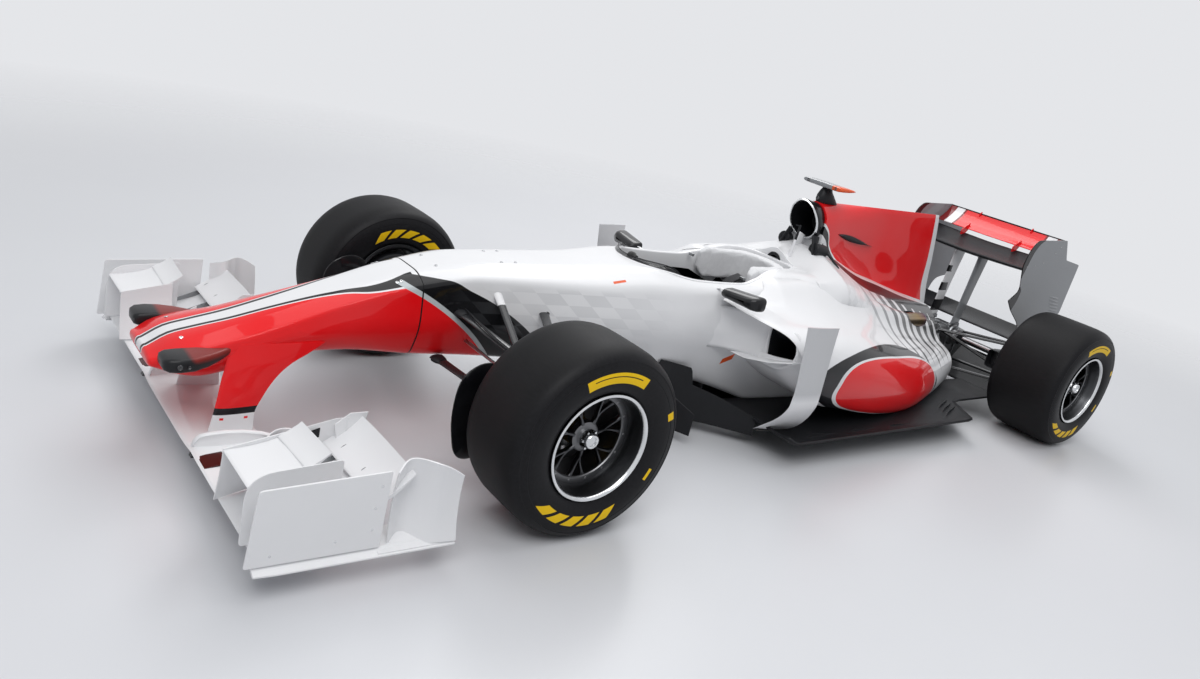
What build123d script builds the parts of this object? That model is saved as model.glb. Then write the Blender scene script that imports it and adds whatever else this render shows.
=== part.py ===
"""Open wheel racing car, single seat, in millimetres.

+Z is up and the nose points along -Y. The origin is on the ground, midway along the car's
length on its centre line. Every station along the car is measured from one of the two axles.
"""
import os
from collections import namedtuple
from math import cos, radians, sin

from build123d import *

os.makedirs("parts", exist_ok=True)

# ---------------------------------------------------------------- driving dimensions
front_overhang = 1115  # nose tip to front axle
wheelbase = 3270
rear_overhang = 575  # rear axle to the tips of the rear wing's end plates
overall_width = 1800

tyre_diameter = 660
front_tyre_width = 315
rear_tyre_width = 375
rim_diameter = 368  # over the flanges
bead_diameter = 356  # the hole in the tyre
barrel_diameter = 340  # the rim between its flanges
rim_wall = 8
hub_bore = 50  # the bearing in each upright

kingpin_inset = 205  # from the tyre's outer face in to the front ball joints
kingpin_lean = 5  # degrees, the top leans in
kingpin_half = 75  # from the axle's height to either end of the front upright
kingpin_pin = 16  # diameter
steering_arm = 85  # from the kingpin forward to the tie rod's eye
steering_arm_height = 55  # above the axle
tie_rod_diameter = 16

skin = 8  # body panels
tub_wall = 22
plate = 6  # end plates and vanes
fit = 0.5  # between panels
pin_fit = 0.1  # round each pin and shaft
seat_gap = 0.3
running_gap = 8  # between a moving piece and its surroundings

reference_plane = 40  # underside of the floor's middle
plank_thickness = 10
step_plane = 90  # underside of the floor's sides
floor_thickness = 14
middle_half = 250  # half the width of the floor's middle
floor_half = 700
diffuser_half = 490

nose_joint = -280  # from the front axle
tub_rear = 1800  # rear bulkhead, from the front axle
engine_length = 600
rear_plate_x = 375  # the rear wing's end plates
front_board_inset = 40  # front wing's outer boards, in from the car's full width

# ---------------------------------------------------------------- stations worked out
overall_length = front_overhang + wheelbase + rear_overhang
front_axle = front_overhang - overall_length / 2
rear_axle = front_axle + wheelbase
half_width = overall_width / 2
axle_height = tyre_diameter / 2
middle_top = reference_plane + floor_thickness
floor_top = step_plane + floor_thickness
kingpin_x = half_width - kingpin_inset
board_x = half_width - front_board_inset
LEFT, RIGHT = 1, -1
SIDES = {"left": LEFT, "right": RIGHT}


def front(station):
    """World Y of a station measured rearwards from the front axle."""
    return front_axle + station


def rear(station):
    """World Y of a station measured rearwards from the rear axle."""
    return rear_axle + station


def cross_plane(y):
    """A plane across the car at world Y, its local x along +X and its local y up."""
    return Plane(origin=(0, y, 0), x_dir=(1, 0, 0), z_dir=(0, -1, 0))


def side_plane(x):
    """A plane along the car at world X, its local x along +Y and its local y up."""
    return Plane(origin=(x, 0, 0), x_dir=(0, 1, 0), z_dir=(1, 0, 0))


def save(shape, name):
    shape.label = name
    export_step(shape, f"parts/{name}.step")


def both_sides(shape):
    """A left-hand shape together with its mirror image on the right."""
    with BuildPart() as pair:
        add(shape)
        mirror(about=Plane.YZ)
    return pair.part


# ---------------------------------------------------------------- body sections
# Half outlines of the body, from the middle of the deck down to the keel.
Section = namedtuple(
    "Section", "y crown_half crown_z crease_half crease_z waist_half waist_z keel_half keel_z"
)
corner_radius = 16
body_opening = 150  # how far below the cover's edge its hollow is cut

NOSE_SECTIONS = [
    Section(front(-front_overhang), 70, 372, 146, 360, 154, 326, 118, 288),
    Section(front(-1000), 80, 400, 164, 378, 174, 335, 128, 270),
    Section(front(-760), 70, 470, 142, 442, 158, 388, 116, 316),
    Section(front(nose_joint), 78, 618, 141, 590, 162, 440, 116, 322),
]
TUB_SECTIONS = [
    NOSE_SECTIONS[-1],
    Section(front(-60), 90, 656, 164, 630, 182, 450, 118, 310),
    Section(front(420), 110, 670, 205, 626, 240, 455, 140, 272),
    Section(front(900), 190, 700, 266, 655, 300, 470, 190, 226),
    Section(front(1400), 215, 712, 284, 690, 345, 480, 262, floor_top),
    Section(front(tub_rear), 200, 712, 300, 690, 352, 480, 290, floor_top),
]
body_rear = -260  # the tail of the cover and the sidepods, from the rear axle
COVER_SECTIONS = [
    Section(front(tub_rear), 88, 792, 290, 706, 350, 640, 352, 520),
    Section(front(2200), 78, 684, 236, 600, 318, 520, 320, 430),
    Section(rear(-630), 62, 590, 160, 520, 222, 440, 224, 340),
    Section(rear(body_rear), 40, 500, 100, 440, 124, 380, 126, 300),
]
# The sidepod's outlines use the same columns, across its own width.
Pod = namedtuple("Pod", "y inner_x inner_z shoulder_x shoulder_z waist_x waist_z base_x base_z")
POD_SECTIONS = [
    Pod(front(1190), 300, 566, 596, 545, 628, 470, 560, 330),
    Pod(front(1330), 300, 580, 618, 546, 672, 440, 610, 262),
    Pod(front(1650), 290, 590, 610, 498, 668, 380, 600, 184),
    Pod(front(2230), 250, 480, 520, 392, 590, 250, 548, floor_top),
    Pod(rear(body_rear), 150, 330, 250, 300, 300, 230, 280, floor_top),
]


def mirrored_outline(section, grow):
    s = section
    half = [
        (s.crown_half + grow, s.crown_z + grow),
        (s.crease_half + grow, s.crease_z + grow),
        (s.waist_half + grow, s.waist_z),
        (s.keel_half + grow, s.keel_z - grow),
    ]
    return half + [(-x, z) for x, z in reversed(half)]


def open_outline(section, grow):
    """The same outline with its keel dropped well below the body."""
    low = section._replace(keel_z=section.keel_z - body_opening)
    return mirrored_outline(low, grow)


def pod_outline(section, grow):
    s = section
    return [
        (s.inner_x - grow, s.inner_z + grow),
        (s.shoulder_x + grow, s.shoulder_z + grow),
        (s.waist_x + grow, s.waist_z),
        (s.base_x + grow, s.base_z - grow),
        (s.inner_x - grow, s.base_z - grow),
    ]


def body_loft(sections, outline, grow=0, radius=corner_radius):
    """Straight panels between the sections, each moved outwards by grow."""
    faces = []
    for section in sections:
        with BuildSketch(cross_plane(section.y)) as face:
            with BuildLine():
                FilletPolyline(*outline(section, grow), radius=radius, close=True)
            make_face()
        faces.append(face.sketch)
    with BuildPart() as body:
        loft(faces, ruled=True)
    return body.part


def slab(y_front, y_rear, z_low=-overall_length, z_high=overall_length):
    """Everything between two stations, to cut or keep."""
    with BuildPart() as block:
        with BuildSketch(cross_plane(y_rear)):
            with Locations((0, (z_low + z_high) / 2)):
                Rectangle(2 * overall_width, z_high - z_low)
        extrude(amount=y_rear - y_front)
    return block.part


nose_solid = body_loft(NOSE_SECTIONS, mirrored_outline)
nose_clearance = body_loft(NOSE_SECTIONS, mirrored_outline, fit)
tub_solid = body_loft(TUB_SECTIONS, mirrored_outline)
tub_clearance = body_loft(TUB_SECTIONS, mirrored_outline, fit)
cover_solid = body_loft(COVER_SECTIONS, mirrored_outline)
cover_clearance = body_loft(COVER_SECTIONS, mirrored_outline, fit)

# ---------------------------------------------------------------- nose and tub
save(nose_solid, "nose_cone")

footwell_front = -220  # this and the next four are measured from the front axle
seat_back = 1500
cockpit_front = 660
cockpit_rear = 1640
dash_station = 640
dash_thickness = 24
cockpit_half = 236
cockpit_front_half = 150
cockpit_depth = 560  # height of the opening's lowest cut, inside the hollow
head_box_depth = 600  # the step behind the driver that the headrest lies on
column_diameter = 24
column_height = 575  # where the column passes the dash
column_slope = 8  # degrees
rod_hole = tie_rod_diameter + 2 * 14
rod_height = axle_height + steering_arm_height + 14

cavity = body_loft(TUB_SECTIONS, mirrored_outline, -tub_wall, radius=corner_radius / 2)
dash_plane = Plane(
    origin=(0, front(dash_station), column_height),
    x_dir=(1, 0, 0),
    z_dir=(0, cos(radians(column_slope)), sin(radians(column_slope))),
)
with BuildPart() as hollow:
    add(cavity)
    add(slab(front(footwell_front), front(seat_back)), mode=Mode.INTERSECT)
    add(
        slab(front(dash_station), front(dash_station + dash_thickness), column_height - 60),
        mode=Mode.SUBTRACT,
    )
with BuildPart() as monocoque:
    add(tub_solid)
    add(hollow.part, mode=Mode.SUBTRACT)
    with BuildSketch(Plane.XY.offset(cockpit_depth)):  # the cockpit's opening, in plan
        with BuildLine():
            FilletPolyline(
                (-cockpit_front_half, front(cockpit_front)),
                (cockpit_front_half, front(cockpit_front)),
                (cockpit_half, front(900)),
                (cockpit_half, front(seat_back)),
                (-cockpit_half, front(seat_back)),
                (-cockpit_half, front(900)),
                radius=60,
                close=True,
            )
        make_face()
    extrude(amount=overall_width, mode=Mode.SUBTRACT)
    with BuildSketch(Plane.XY.offset(head_box_depth)):
        with Locations((0, (front(seat_back - 60) + front(cockpit_rear)) / 2)):
            Rectangle(2 * cockpit_half - 60, cockpit_rear - seat_back + 60)
    extrude(amount=overall_width, mode=Mode.SUBTRACT)
    with BuildSketch(Plane.YZ):
        with Locations((front(-steering_arm), rod_height)):
            Circle(rod_hole / 2)
    extrude(amount=overall_width, both=True, mode=Mode.SUBTRACT)
    with BuildSketch(dash_plane):
        Circle(column_diameter / 2 + pin_fit)
    extrude(amount=3 * dash_thickness, both=True, mode=Mode.SUBTRACT)
save(monocoque.part, "monocoque")

# ---------------------------------------------------------------- front wing
wing_front = -1030  # leading edge, from the front axle
wing_low = 92  # underside of the front wing
wing_middle_half = 250  # the flat middle stretch
edge_radius = 4  # half the thickness of a wing's blunt edges
Foil = namedtuple("Foil", "x front_y front_z rear_y rear_z sag thickness")


def foil_face(foil):
    """A wing section on a plane along the car: two arcs that hang below its chord."""
    f = foil
    middle_y, middle_z = (f.front_y + f.rear_y) / 2, (f.front_z + f.rear_z) / 2
    top = (middle_y, middle_z - f.sag + f.thickness / 2)
    bottom = (middle_y, middle_z - f.sag - f.thickness / 2)
    with BuildSketch(side_plane(f.x)) as face:
        with BuildLine():
            ThreePointArc(
                (f.front_y, f.front_z + edge_radius), top, (f.rear_y, f.rear_z + edge_radius)
            )
            Line((f.rear_y, f.rear_z + edge_radius), (f.rear_y, f.rear_z - edge_radius))
            ThreePointArc(
                (f.rear_y, f.rear_z - edge_radius), bottom, (f.front_y, f.front_z - edge_radius)
            )
            Line((f.front_y, f.front_z - edge_radius), (f.front_y, f.front_z + edge_radius))
        make_face()
    return face.sketch


def foil_loft(*foils):
    with BuildPart() as wing:
        loft([foil_face(foil) for foil in foils], ruled=True)
    return wing.part


main_rear = -800
plane_z = wing_low + 14
outer_rear_z = 140
with BuildPart() as front_wing_main_plane:
    add(foil_loft(
        Foil(-wing_middle_half, front(wing_front), plane_z, front(main_rear), plane_z, 0, 24),
        Foil(wing_middle_half, front(wing_front), plane_z, front(main_rear), plane_z, 0, 24),
    ))
    for side in SIDES.values():
        add(foil_loft(
            Foil(side * wing_middle_half, front(wing_front), plane_z,
                 front(main_rear), plane_z, 0, 24),
            Foil(side * 400, front(wing_front), plane_z + 8, front(main_rear), outer_rear_z, 12, 22),
            Foil(side * board_x, front(wing_front), plane_z + 8,
                 front(main_rear), outer_rear_z, 12, 22),
        ))
save(front_wing_main_plane.part, "front_wing_main_plane")


def pod_shape(plane, length, width):
    """A slim outline, round in front and pointed behind, centred on a plane."""
    with BuildSketch(plane) as outline:
        with BuildLine():
            ThreePointArc((width / 2, -length / 4), (0, -length / 2), (-width / 2, -length / 4))
            Line((-width / 2, -length / 4), (0, length / 2))
            Line((0, length / 2), (width / 2, -length / 4))
        make_face()
    return outline.sketch


with BuildPart() as front_wing_pylons:
    for side in SIDES.values():
        loft([
            pod_shape(Plane.XY.offset(plane_z).move(Location((side * 178, front(-885), 0))), 130, 18),
            pod_shape(Plane.XY.offset(230).move(Location((side * 160, front(-860), 0))), 170, 16),
            pod_shape(Plane.XY.offset(380).move(Location((side * 132, front(-810), 0))), 220, 16),
        ], ruled=True)
    add(nose_clearance, mode=Mode.SUBTRACT)
    add(front_wing_main_plane.part, mode=Mode.SUBTRACT)
save(front_wing_pylons.part, "front_wing_pylons")

flap_inner_x = 380
top_flap_inner_x = 500
slot = 14  # between one wing element and the next
FLAPS = [  # inner x, front station, front z, rear station, rear z
    (flap_inner_x, main_rear - 12, outer_rear_z + slot, -705, 208),
    (top_flap_inner_x, -718, 208 + slot, -612, 304),
]
with BuildPart() as front_wing_flaps:
    for side in SIDES.values():
        for inner_x, front_s, front_z, rear_s, rear_z in FLAPS:
            add(foil_loft(*[
                Foil(side * x, front(front_s), front_z, front(rear_s), rear_z, 8, 14)
                for x in (inner_x, board_x)
            ]))
        with BuildSketch(side_plane(side * (flap_inner_x - plate))):  # inner fence
            with BuildLine():
                Polyline(
                    (front(-870), 128), (front(-820), 150), (front(-700), 214),
                    (front(-602), 310), (front(-700), 300), (front(-870), 190), close=True,
                )
            make_face()
        extrude(amount=side * plate)
    add(front_wing_main_plane.part, mode=Mode.SUBTRACT)
save(front_wing_flaps.part, "front_wing_flaps")

foot_low = 76
foot_thickness = 8
board_front = -1065
foot_rear = -470
with BuildPart() as left_front_board:
    with BuildSketch(side_plane(board_x)):
        with BuildLine():
            Polyline(
                (front(-1030), foot_low), (front(foot_rear), foot_low),
                (front(foot_rear), foot_low + foot_thickness), (front(-560), 200),
                (front(-600), 330), (front(-700), 338), (front(-1040), 330),
                (front(board_front), 290), close=True,
            )
        make_face()
    extrude(amount=plate)
    with BuildSketch(Plane.XY.offset(foot_low)):
        with BuildLine():
            Polyline(
                (board_x - 36, front(-1040)), (half_width, front(-1000)),
                (half_width, front(foot_rear)), (board_x - 30, front(foot_rear)), close=True,
            )
        make_face()
    extrude(amount=foot_thickness)
with BuildPart() as front_wing_endplates:
    add(both_sides(left_front_board.part))
save(front_wing_endplates.part, "front_wing_endplates")

cascade_inner_x = 600
cascade_outer_x = 800
with BuildPart() as front_wing_cascades:
    for side in SIDES.values():
        add(foil_loft(*[
            Foil(side * x, front(-1046), 282, front(-870), 330, 10, 12)
            for x in (cascade_inner_x, cascade_outer_x)
        ]))
        for x, top in ((cascade_inner_x, 296), (cascade_outer_x, 330)):
            with BuildSketch(side_plane(side * x)):
                with BuildLine():
                    Polyline(
                        (front(-1000), plane_z), (front(-860), plane_z + 10), (front(-848), 340),
                        (front(-880), 342), (front(-1050), top), (front(-1054), 262), close=True,
                    )
                make_face()
            extrude(amount=side * plate)
    add(front_wing_main_plane.part, mode=Mode.SUBTRACT)
save(front_wing_cascades.part, "front_wing_cascades")

with BuildPart() as nose_cameras:
    for side in SIDES.values():
        with BuildSketch(Plane.YZ.offset(side * 150)):
            with Locations((front(-1020), 366)):
                SlotOverall(176, 30)
        extrude(amount=side * 84)
    add(nose_clearance, mode=Mode.SUBTRACT)
save(nose_cameras.part, "nose_cameras")

# ---------------------------------------------------------------- cockpit
with BuildPart() as headrest:
    with BuildSketch(Plane.XY.offset(head_box_depth)):
        with Locations((0, (front(1240) + front(cockpit_rear)) / 2)):
            Rectangle(2 * (cockpit_half - 30 - seat_gap), cockpit_rear - 1240 - 2 * seat_gap)
    extrude(amount=112 - skin)
    with BuildSketch(Plane.XY.offset(head_box_depth)):
        with BuildLine():
            FilletPolyline(
                (-130, front(1100)), (130, front(1100)), (130, front(1560)), (-130, front(1560)),
                radius=70, close=True,
            )
        make_face()
    extrude(amount=overall_width, mode=Mode.SUBTRACT)
    add(slab(front(seat_back), front(cockpit_rear), -overall_length, head_box_depth + seat_gap),
        mode=Mode.SUBTRACT)
save(headrest.part, "headrest")

screen_height = 40
with BuildPart() as windscreen:
    with BuildSketch(Plane.XY.offset(cockpit_depth)):
        with BuildLine():
            for half, lead in ((cockpit_half, 0), (cockpit_half - 6, 6)):
                ThreePointArc(
                    (-half, front(880)), (0, front(cockpit_front - 30 + lead)), (half, front(880))
                )
            for side in SIDES.values():
                Line((side * cockpit_half, front(880)), (side * (cockpit_half - 6), front(880)))
        make_face()
    extrude(amount=690 + screen_height - cockpit_depth)
    add(tub_clearance, mode=Mode.SUBTRACT)
save(windscreen.part, "windscreen")

wheel_station = 830
wheel_half_width, wheel_half_height = 135, 86
wheel_plane = dash_plane.offset(wheel_station - dash_station)
with BuildPart() as steering_wheel:
    with BuildSketch(wheel_plane):
        RectangleRounded(2 * wheel_half_width, 2 * wheel_half_height, 40)
        for x in (-wheel_half_width + 34, wheel_half_width - 34):
            with Locations((x, 0)):
                SlotOverall(90, 26, rotation=90, mode=Mode.SUBTRACT)
    extrude(amount=28)
    with BuildSketch(wheel_plane):
        Circle(column_diameter / 2)
    extrude(amount=-(wheel_station - dash_station + 40))
save(steering_wheel.part, "steering_wheel")

seat_space = body_loft(
    TUB_SECTIONS, mirrored_outline, -tub_wall - seat_gap, radius=corner_radius / 2
)
with BuildPart() as seat:
    with BuildSketch(Plane.YZ):
        with BuildLine():
            FilletPolyline(
                (front(900), 200), (front(900), 270), (front(1180), 240), (front(1480), 560),
                (front(seat_back) - seat_gap, 560), (front(seat_back) - seat_gap, 80),
                (front(1000), 80),
                radius=12, close=True,
            )
        make_face()
    extrude(amount=200, both=True)
    add(seat_space, mode=Mode.INTERSECT)
save(seat.part, "seat")

with BuildPart() as left_mirror:
    with BuildSketch(cross_plane(front(1000))):
        with Locations((385, 645)):
            RectangleRounded(180, 62, 14)
    extrude(amount=-66)
    with BuildSketch(Plane.YZ.offset(240)):
        with Locations((front(1056), 636)):
            SlotOverall(34, 12)
    extrude(amount=80)
    add(tub_clearance, mode=Mode.SUBTRACT)
with BuildPart() as mirrors:
    add(both_sides(left_mirror.part))
save(mirrors.part, "mirrors")

# ---------------------------------------------------------------- engine cover and roll hoop
hoop_front = 1640  # from the front axle
inlet_height = 918
inlet_half_width, inlet_half_height = 62, 72
duct_depth = 140  # of the blind duct in the cover
fin_top = 1006
fin_rear = -410  # from the rear axle
with BuildPart() as upper_profile:  # the hoop and the fin behind it, seen from the side
    with BuildSketch(Plane.YZ):
        with BuildLine():
            Polyline(
                (front(hoop_front), 600), (front(hoop_front), 716), (front(1700), 760),
                (front(1778), 812), (front(1784), 832), (front(1722), 1000),
                (front(1760), fin_top), (rear(fin_rear), fin_top), (rear(-335), 758),
                (rear(-266), 470), (rear(-266), 300), (front(tub_rear), 300),
                (front(tub_rear), 600), close=True,
            )
        make_face()
    extrude(amount=half_width, both=True)

Upper = namedtuple(
    "Upper", "y foot_half foot_z base_half base_z low_half low_z mid_half high_half top_half"
)
UPPER_SECTIONS = [
    Upper(front(hoop_front), 200, 640, 88, 714, 84, 872, 88, 74, 30),
    Upper(front(tub_rear), 290, 706, 88, 792, 84, 872, 88, 74, 30),
    Upper(front(tub_rear), 80, 762, 84, 800, 84, 872, 88, 74, 30),
    Upper(front(1980), 78, 712, 84, 748, 62, 840, 58, 44, 12),
    Upper(front(2200), 62, 654, 66, 692, 40, 780, 26, 18, 8),
    Upper(rear(-630), 42, 560, 44, 600, 20, 700, 12, 9, 8),
    Upper(rear(body_rear), 28, 470, 30, 512, 12, 600, 9, 8, 8),
]
mid_height, high_height = 918, 972


def upper_loft(rows):
    faces = []
    for row in rows:
        half = [
            (row.foot_half, row.foot_z), (row.base_half, row.base_z), (row.low_half, row.low_z),
            (row.mid_half, mid_height), (row.high_half, high_height), (row.top_half, fin_top),
        ]
        with BuildSketch(cross_plane(row.y)) as face:
            with BuildLine():
                Polyline(*half, *[(-x, z) for x, z in reversed(half)], close=True)
            make_face()
        faces.append(face.sketch)
    with BuildPart() as body:
        loft(faces, ruled=True)
        add(upper_profile.part, mode=Mode.INTERSECT)
    return body.part


with BuildPart() as inlet_duct:
    with BuildSketch(cross_plane(front(hoop_front))):
        with Locations((0, inlet_height)):
            Ellipse(inlet_half_width, inlet_half_height)
    extrude(amount=-(tub_rear - hoop_front + duct_depth))

with BuildPart() as roll_hoop:
    add(upper_loft(UPPER_SECTIONS[:2]))
    add(tub_clearance, mode=Mode.SUBTRACT)
    add(inlet_duct.part, mode=Mode.SUBTRACT)
save(roll_hoop.part, "roll_hoop")

exhaust_x, exhaust_z = 196, 470
exhaust_front, exhaust_rear = -830, -570  # from the rear axle
exhaust_diameter = 76
with BuildPart() as exhaust_space:
    for side in SIDES.values():
        with BuildSketch(cross_plane(rear(exhaust_front))):
            with Locations((side * exhaust_x, exhaust_z)):
                Circle(exhaust_diameter / 2 + fit)
        extrude(amount=-(exhaust_rear - exhaust_front + 400))
cover_hollow = body_loft(COVER_SECTIONS, open_outline, -skin, radius=skin)
with BuildPart() as engine_cover:
    add(cover_solid)
    add(cover_hollow, mode=Mode.SUBTRACT)
    add(upper_loft(UPPER_SECTIONS[2:]))
    add(inlet_duct.part, mode=Mode.SUBTRACT)
    add(exhaust_space.part, mode=Mode.SUBTRACT)
save(engine_cover.part, "engine_cover")

camera_front = 1785  # from the front axle
camera_chord = 170
camera_height = 1088
with BuildPart() as onboard_camera:
    with BuildSketch(Plane.YZ):
        with BuildLine():
            Polyline(
                (front(camera_front + 20), fin_top), (front(camera_front + 110), fin_top),
                (front(camera_front + 120), camera_height), (front(camera_front + 30), camera_height),
                close=True,
            )
        make_face()
    extrude(amount=9, both=True)
    add(foil_loft(*[
        Foil(x, front(camera_front), camera_height, front(camera_front + camera_chord),
             camera_height - 4, 0, 26)
        for x in (-115, 115)
    ]))
save(onboard_camera.part, "onboard_camera")

# ---------------------------------------------------------------- sidepods
pod_solid = body_loft(POD_SECTIONS, pod_outline)
with BuildPart() as pod_hollow:  # open at both ends
    add(body_loft(POD_SECTIONS, pod_outline, -skin, radius=skin))
    for y, section, reach in (
        (POD_SECTIONS[0].y, POD_SECTIONS[0], -20), (POD_SECTIONS[-1].y, POD_SECTIONS[-1], 20),
    ):
        with BuildSketch(cross_plane(y)):
            with BuildLine():
                FilletPolyline(*pod_outline(section, -skin), radius=skin, close=True)
            make_face()
        extrude(amount=reach)
with BuildPart() as left_sidepod:
    add(pod_solid)
    add(pod_hollow.part, mode=Mode.SUBTRACT)
    add(tub_clearance, mode=Mode.SUBTRACT)
    add(cover_clearance, mode=Mode.SUBTRACT)
with BuildPart() as right_sidepod:
    add(mirror(left_sidepod.part, about=Plane.YZ, mode=Mode.PRIVATE))
save(left_sidepod.part.solids().sort_by(SortBy.VOLUME)[-1], "sidepod_left")
save(right_sidepod.part.solids().sort_by(SortBy.VOLUME)[-1], "sidepod_right")

vane_x = 696
VANE = [  # x, z, front station, rear station
    (530, floor_top, 1200, 1355),
    (620, 200, 1150, 1310),
    (vane_x, 300, 1100, 1285),
    (vane_x + 6, 640, 1095, 1277),
]
with BuildPart() as left_vane:
    for x, z, front_s, rear_s in VANE:
        with BuildSketch(Plane.XY.offset(z)):
            with Locations((x, front((front_s + rear_s) / 2))):
                Rectangle(plate, rear_s - front_s)
    loft(ruled=True)
with BuildPart() as sidepod_vanes:
    add(both_sides(left_vane.part))
save(sidepod_vanes.part, "sidepod_vanes")

# ---------------------------------------------------------------- floor
splitter_front = 350  # from the front axle
floor_corner = 1235
floor_rear = 2790
diffuser_length = 340  # behind the rear axle
with BuildPart() as floor:
    with BuildSketch(Plane.XY.offset(reference_plane)):
        with BuildLine():
            FilletPolyline(
                (-middle_half, front(1240)), (-150, front(splitter_front)),
                (150, front(splitter_front)), (middle_half, front(1240)),
                (middle_half, rear(0)), (-middle_half, rear(0)), radius=40, close=True,
            )
        make_face()
    extrude(amount=floor_thickness)
    for side in SIDES.values():
        with BuildSketch(Plane.XY.offset(step_plane)):
            with BuildLine():
                FilletPolyline(
                    (side * (middle_half - floor_thickness), front(1240)),
                    (side * 500, front(floor_corner)), (side * floor_half, front(floor_corner)),
                    (side * floor_half, front(2640)), (side * diffuser_half, front(floor_rear)),
                    (side * diffuser_half, rear(0)),
                    (side * (middle_half - floor_thickness), rear(0)), radius=24, close=True,
                )
            make_face()
        extrude(amount=floor_thickness)
        with BuildSketch(Plane.XY.offset(reference_plane)):
            with Locations((side * (middle_half - floor_thickness / 2), (front(1280) + rear(0)) / 2)):
                Rectangle(floor_thickness, rear(0) - front(1280))
        extrude(amount=floor_top - reference_plane)
    with BuildSketch(Plane.YZ):  # the keel between the tub and the splitter
        with BuildLine():
            Polyline(
                (front(440), middle_top), (front(1240), middle_top), (front(1240), 240),
                (front(440), 330), close=True,
            )
        make_face()
    extrude(amount=30, both=True)
    add(tub_clearance, mode=Mode.SUBTRACT)
save(floor.part, "floor")

with BuildPart() as plank:
    with BuildSketch(Plane.XY.offset(reference_plane)):
        with Locations((0, (front(splitter_front + 40) + rear(0)) / 2)):
            Rectangle(300, rear(0) - front(splitter_front + 40))
    extrude(amount=-plank_thickness)
save(plank.part, "plank")

roof_rear_z = 206
with BuildPart() as diffuser:
    with BuildSketch(Plane.YZ):
        with BuildLine():
            Polyline(
                (rear(0), step_plane), (rear(diffuser_length), roof_rear_z),
                (rear(diffuser_length), roof_rear_z + skin),
                (rear(0), step_plane + floor_thickness), close=True,
            )
        make_face()
    extrude(amount=diffuser_half, both=True)
    for x in (diffuser_half - plate / 2, 330, middle_half - floor_thickness / 2, 90):
        for side in SIDES.values():
            with BuildSketch(side_plane(side * x - plate / 2)):
                with BuildLine():
                    Polyline(
                        (rear(0), 62), (rear(diffuser_length), 96),
                        (rear(diffuser_length), roof_rear_z + 4),
                        (rear(0), step_plane + 4), close=True,
                    )
                make_face()
            extrude(amount=plate)
save(diffuser.part, "diffuser")

BOARDS = [  # front x, front station, rear station, top
    (206, 700, 900, 250),
    (262, 800, floor_corner - seat_gap, 300),
]
with BuildPart() as left_bargeboard:
    for front_x, front_s, rear_s, top in BOARDS:
        with BuildSketch(Plane.XY.offset(middle_top)):
            with BuildLine():
                ThreePointArc(
                    (front_x - 40, front(front_s)), (front_x + 30, front((front_s + rear_s) / 2)),
                    (front_x + 220, front(rear_s)),
                )
                Line((front_x + 220, front(rear_s)), (front_x + 214, front(rear_s)))
                ThreePointArc(
                    (front_x + 214, front(rear_s)), (front_x + 24, front((front_s + rear_s) / 2)),
                    (front_x - 46, front(front_s)),
                )
                Line((front_x - 46, front(front_s)), (front_x - 40, front(front_s)))
            make_face()
        extrude(amount=top - middle_top)
    add(tub_clearance, mode=Mode.SUBTRACT)
with BuildPart() as bargeboards:
    add(both_sides(left_bargeboard.part))
save(bargeboards.part, "bargeboards")

# ---------------------------------------------------------------- engine, gearbox, exhausts
with BuildPart() as engine:
    with BuildSketch(cross_plane(front(tub_rear))):
        with Locations((0, 290)):
            RectangleRounded(440, 360, 40)
    extrude(amount=-engine_length)
save(engine.part, "engine")

starter_diameter, starter_depth = 28, 60
starter_height = 262
gearbox_rear = 240  # from the rear axle, the crash structure's end
GEARBOX = [  # y, half width, bottom, top
    (front(tub_rear + engine_length), 150, 110, 440),
    (rear(-300), 100, 120, 400),
    (rear(60), 84, 140, 370),
    (rear(gearbox_rear), 46, 220, 330),
]
shaft_diameter = 40
shaft_seat = 20
with BuildPart() as gearbox:
    for y, half, low, high in GEARBOX:
        with BuildSketch(cross_plane(y)):
            with Locations((0, (low + high) / 2)):
                RectangleRounded(2 * half, high - low, 24)
    loft(ruled=True)
    with BuildSketch(Plane.YZ):
        with Locations((rear(0), axle_height)):
            Circle(50)
    extrude(amount=104, both=True)
    for direction in SIDES.values():
        with BuildSketch(side_plane(direction * (104 - shaft_seat))):
            with Locations((rear(0), axle_height)):
                Circle(shaft_diameter / 2 + pin_fit)
        extrude(amount=direction * 2 * shaft_seat, mode=Mode.SUBTRACT)
    with BuildSketch(cross_plane(rear(gearbox_rear))):
        with Locations((0, starter_height)):
            Circle(starter_diameter / 2)
    extrude(amount=starter_depth, mode=Mode.SUBTRACT)
save(gearbox.part, "gearbox")

with BuildPart() as exhausts:
    for side in SIDES.values():
        with BuildSketch(cross_plane(rear(exhaust_front))):
            with Locations((side * exhaust_x, exhaust_z)):
                Circle(exhaust_diameter / 2)
                Circle(exhaust_diameter / 2 - 3, mode=Mode.SUBTRACT)
        extrude(amount=-(exhaust_rear - exhaust_front))
save(exhausts.part, "exhausts")

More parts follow.
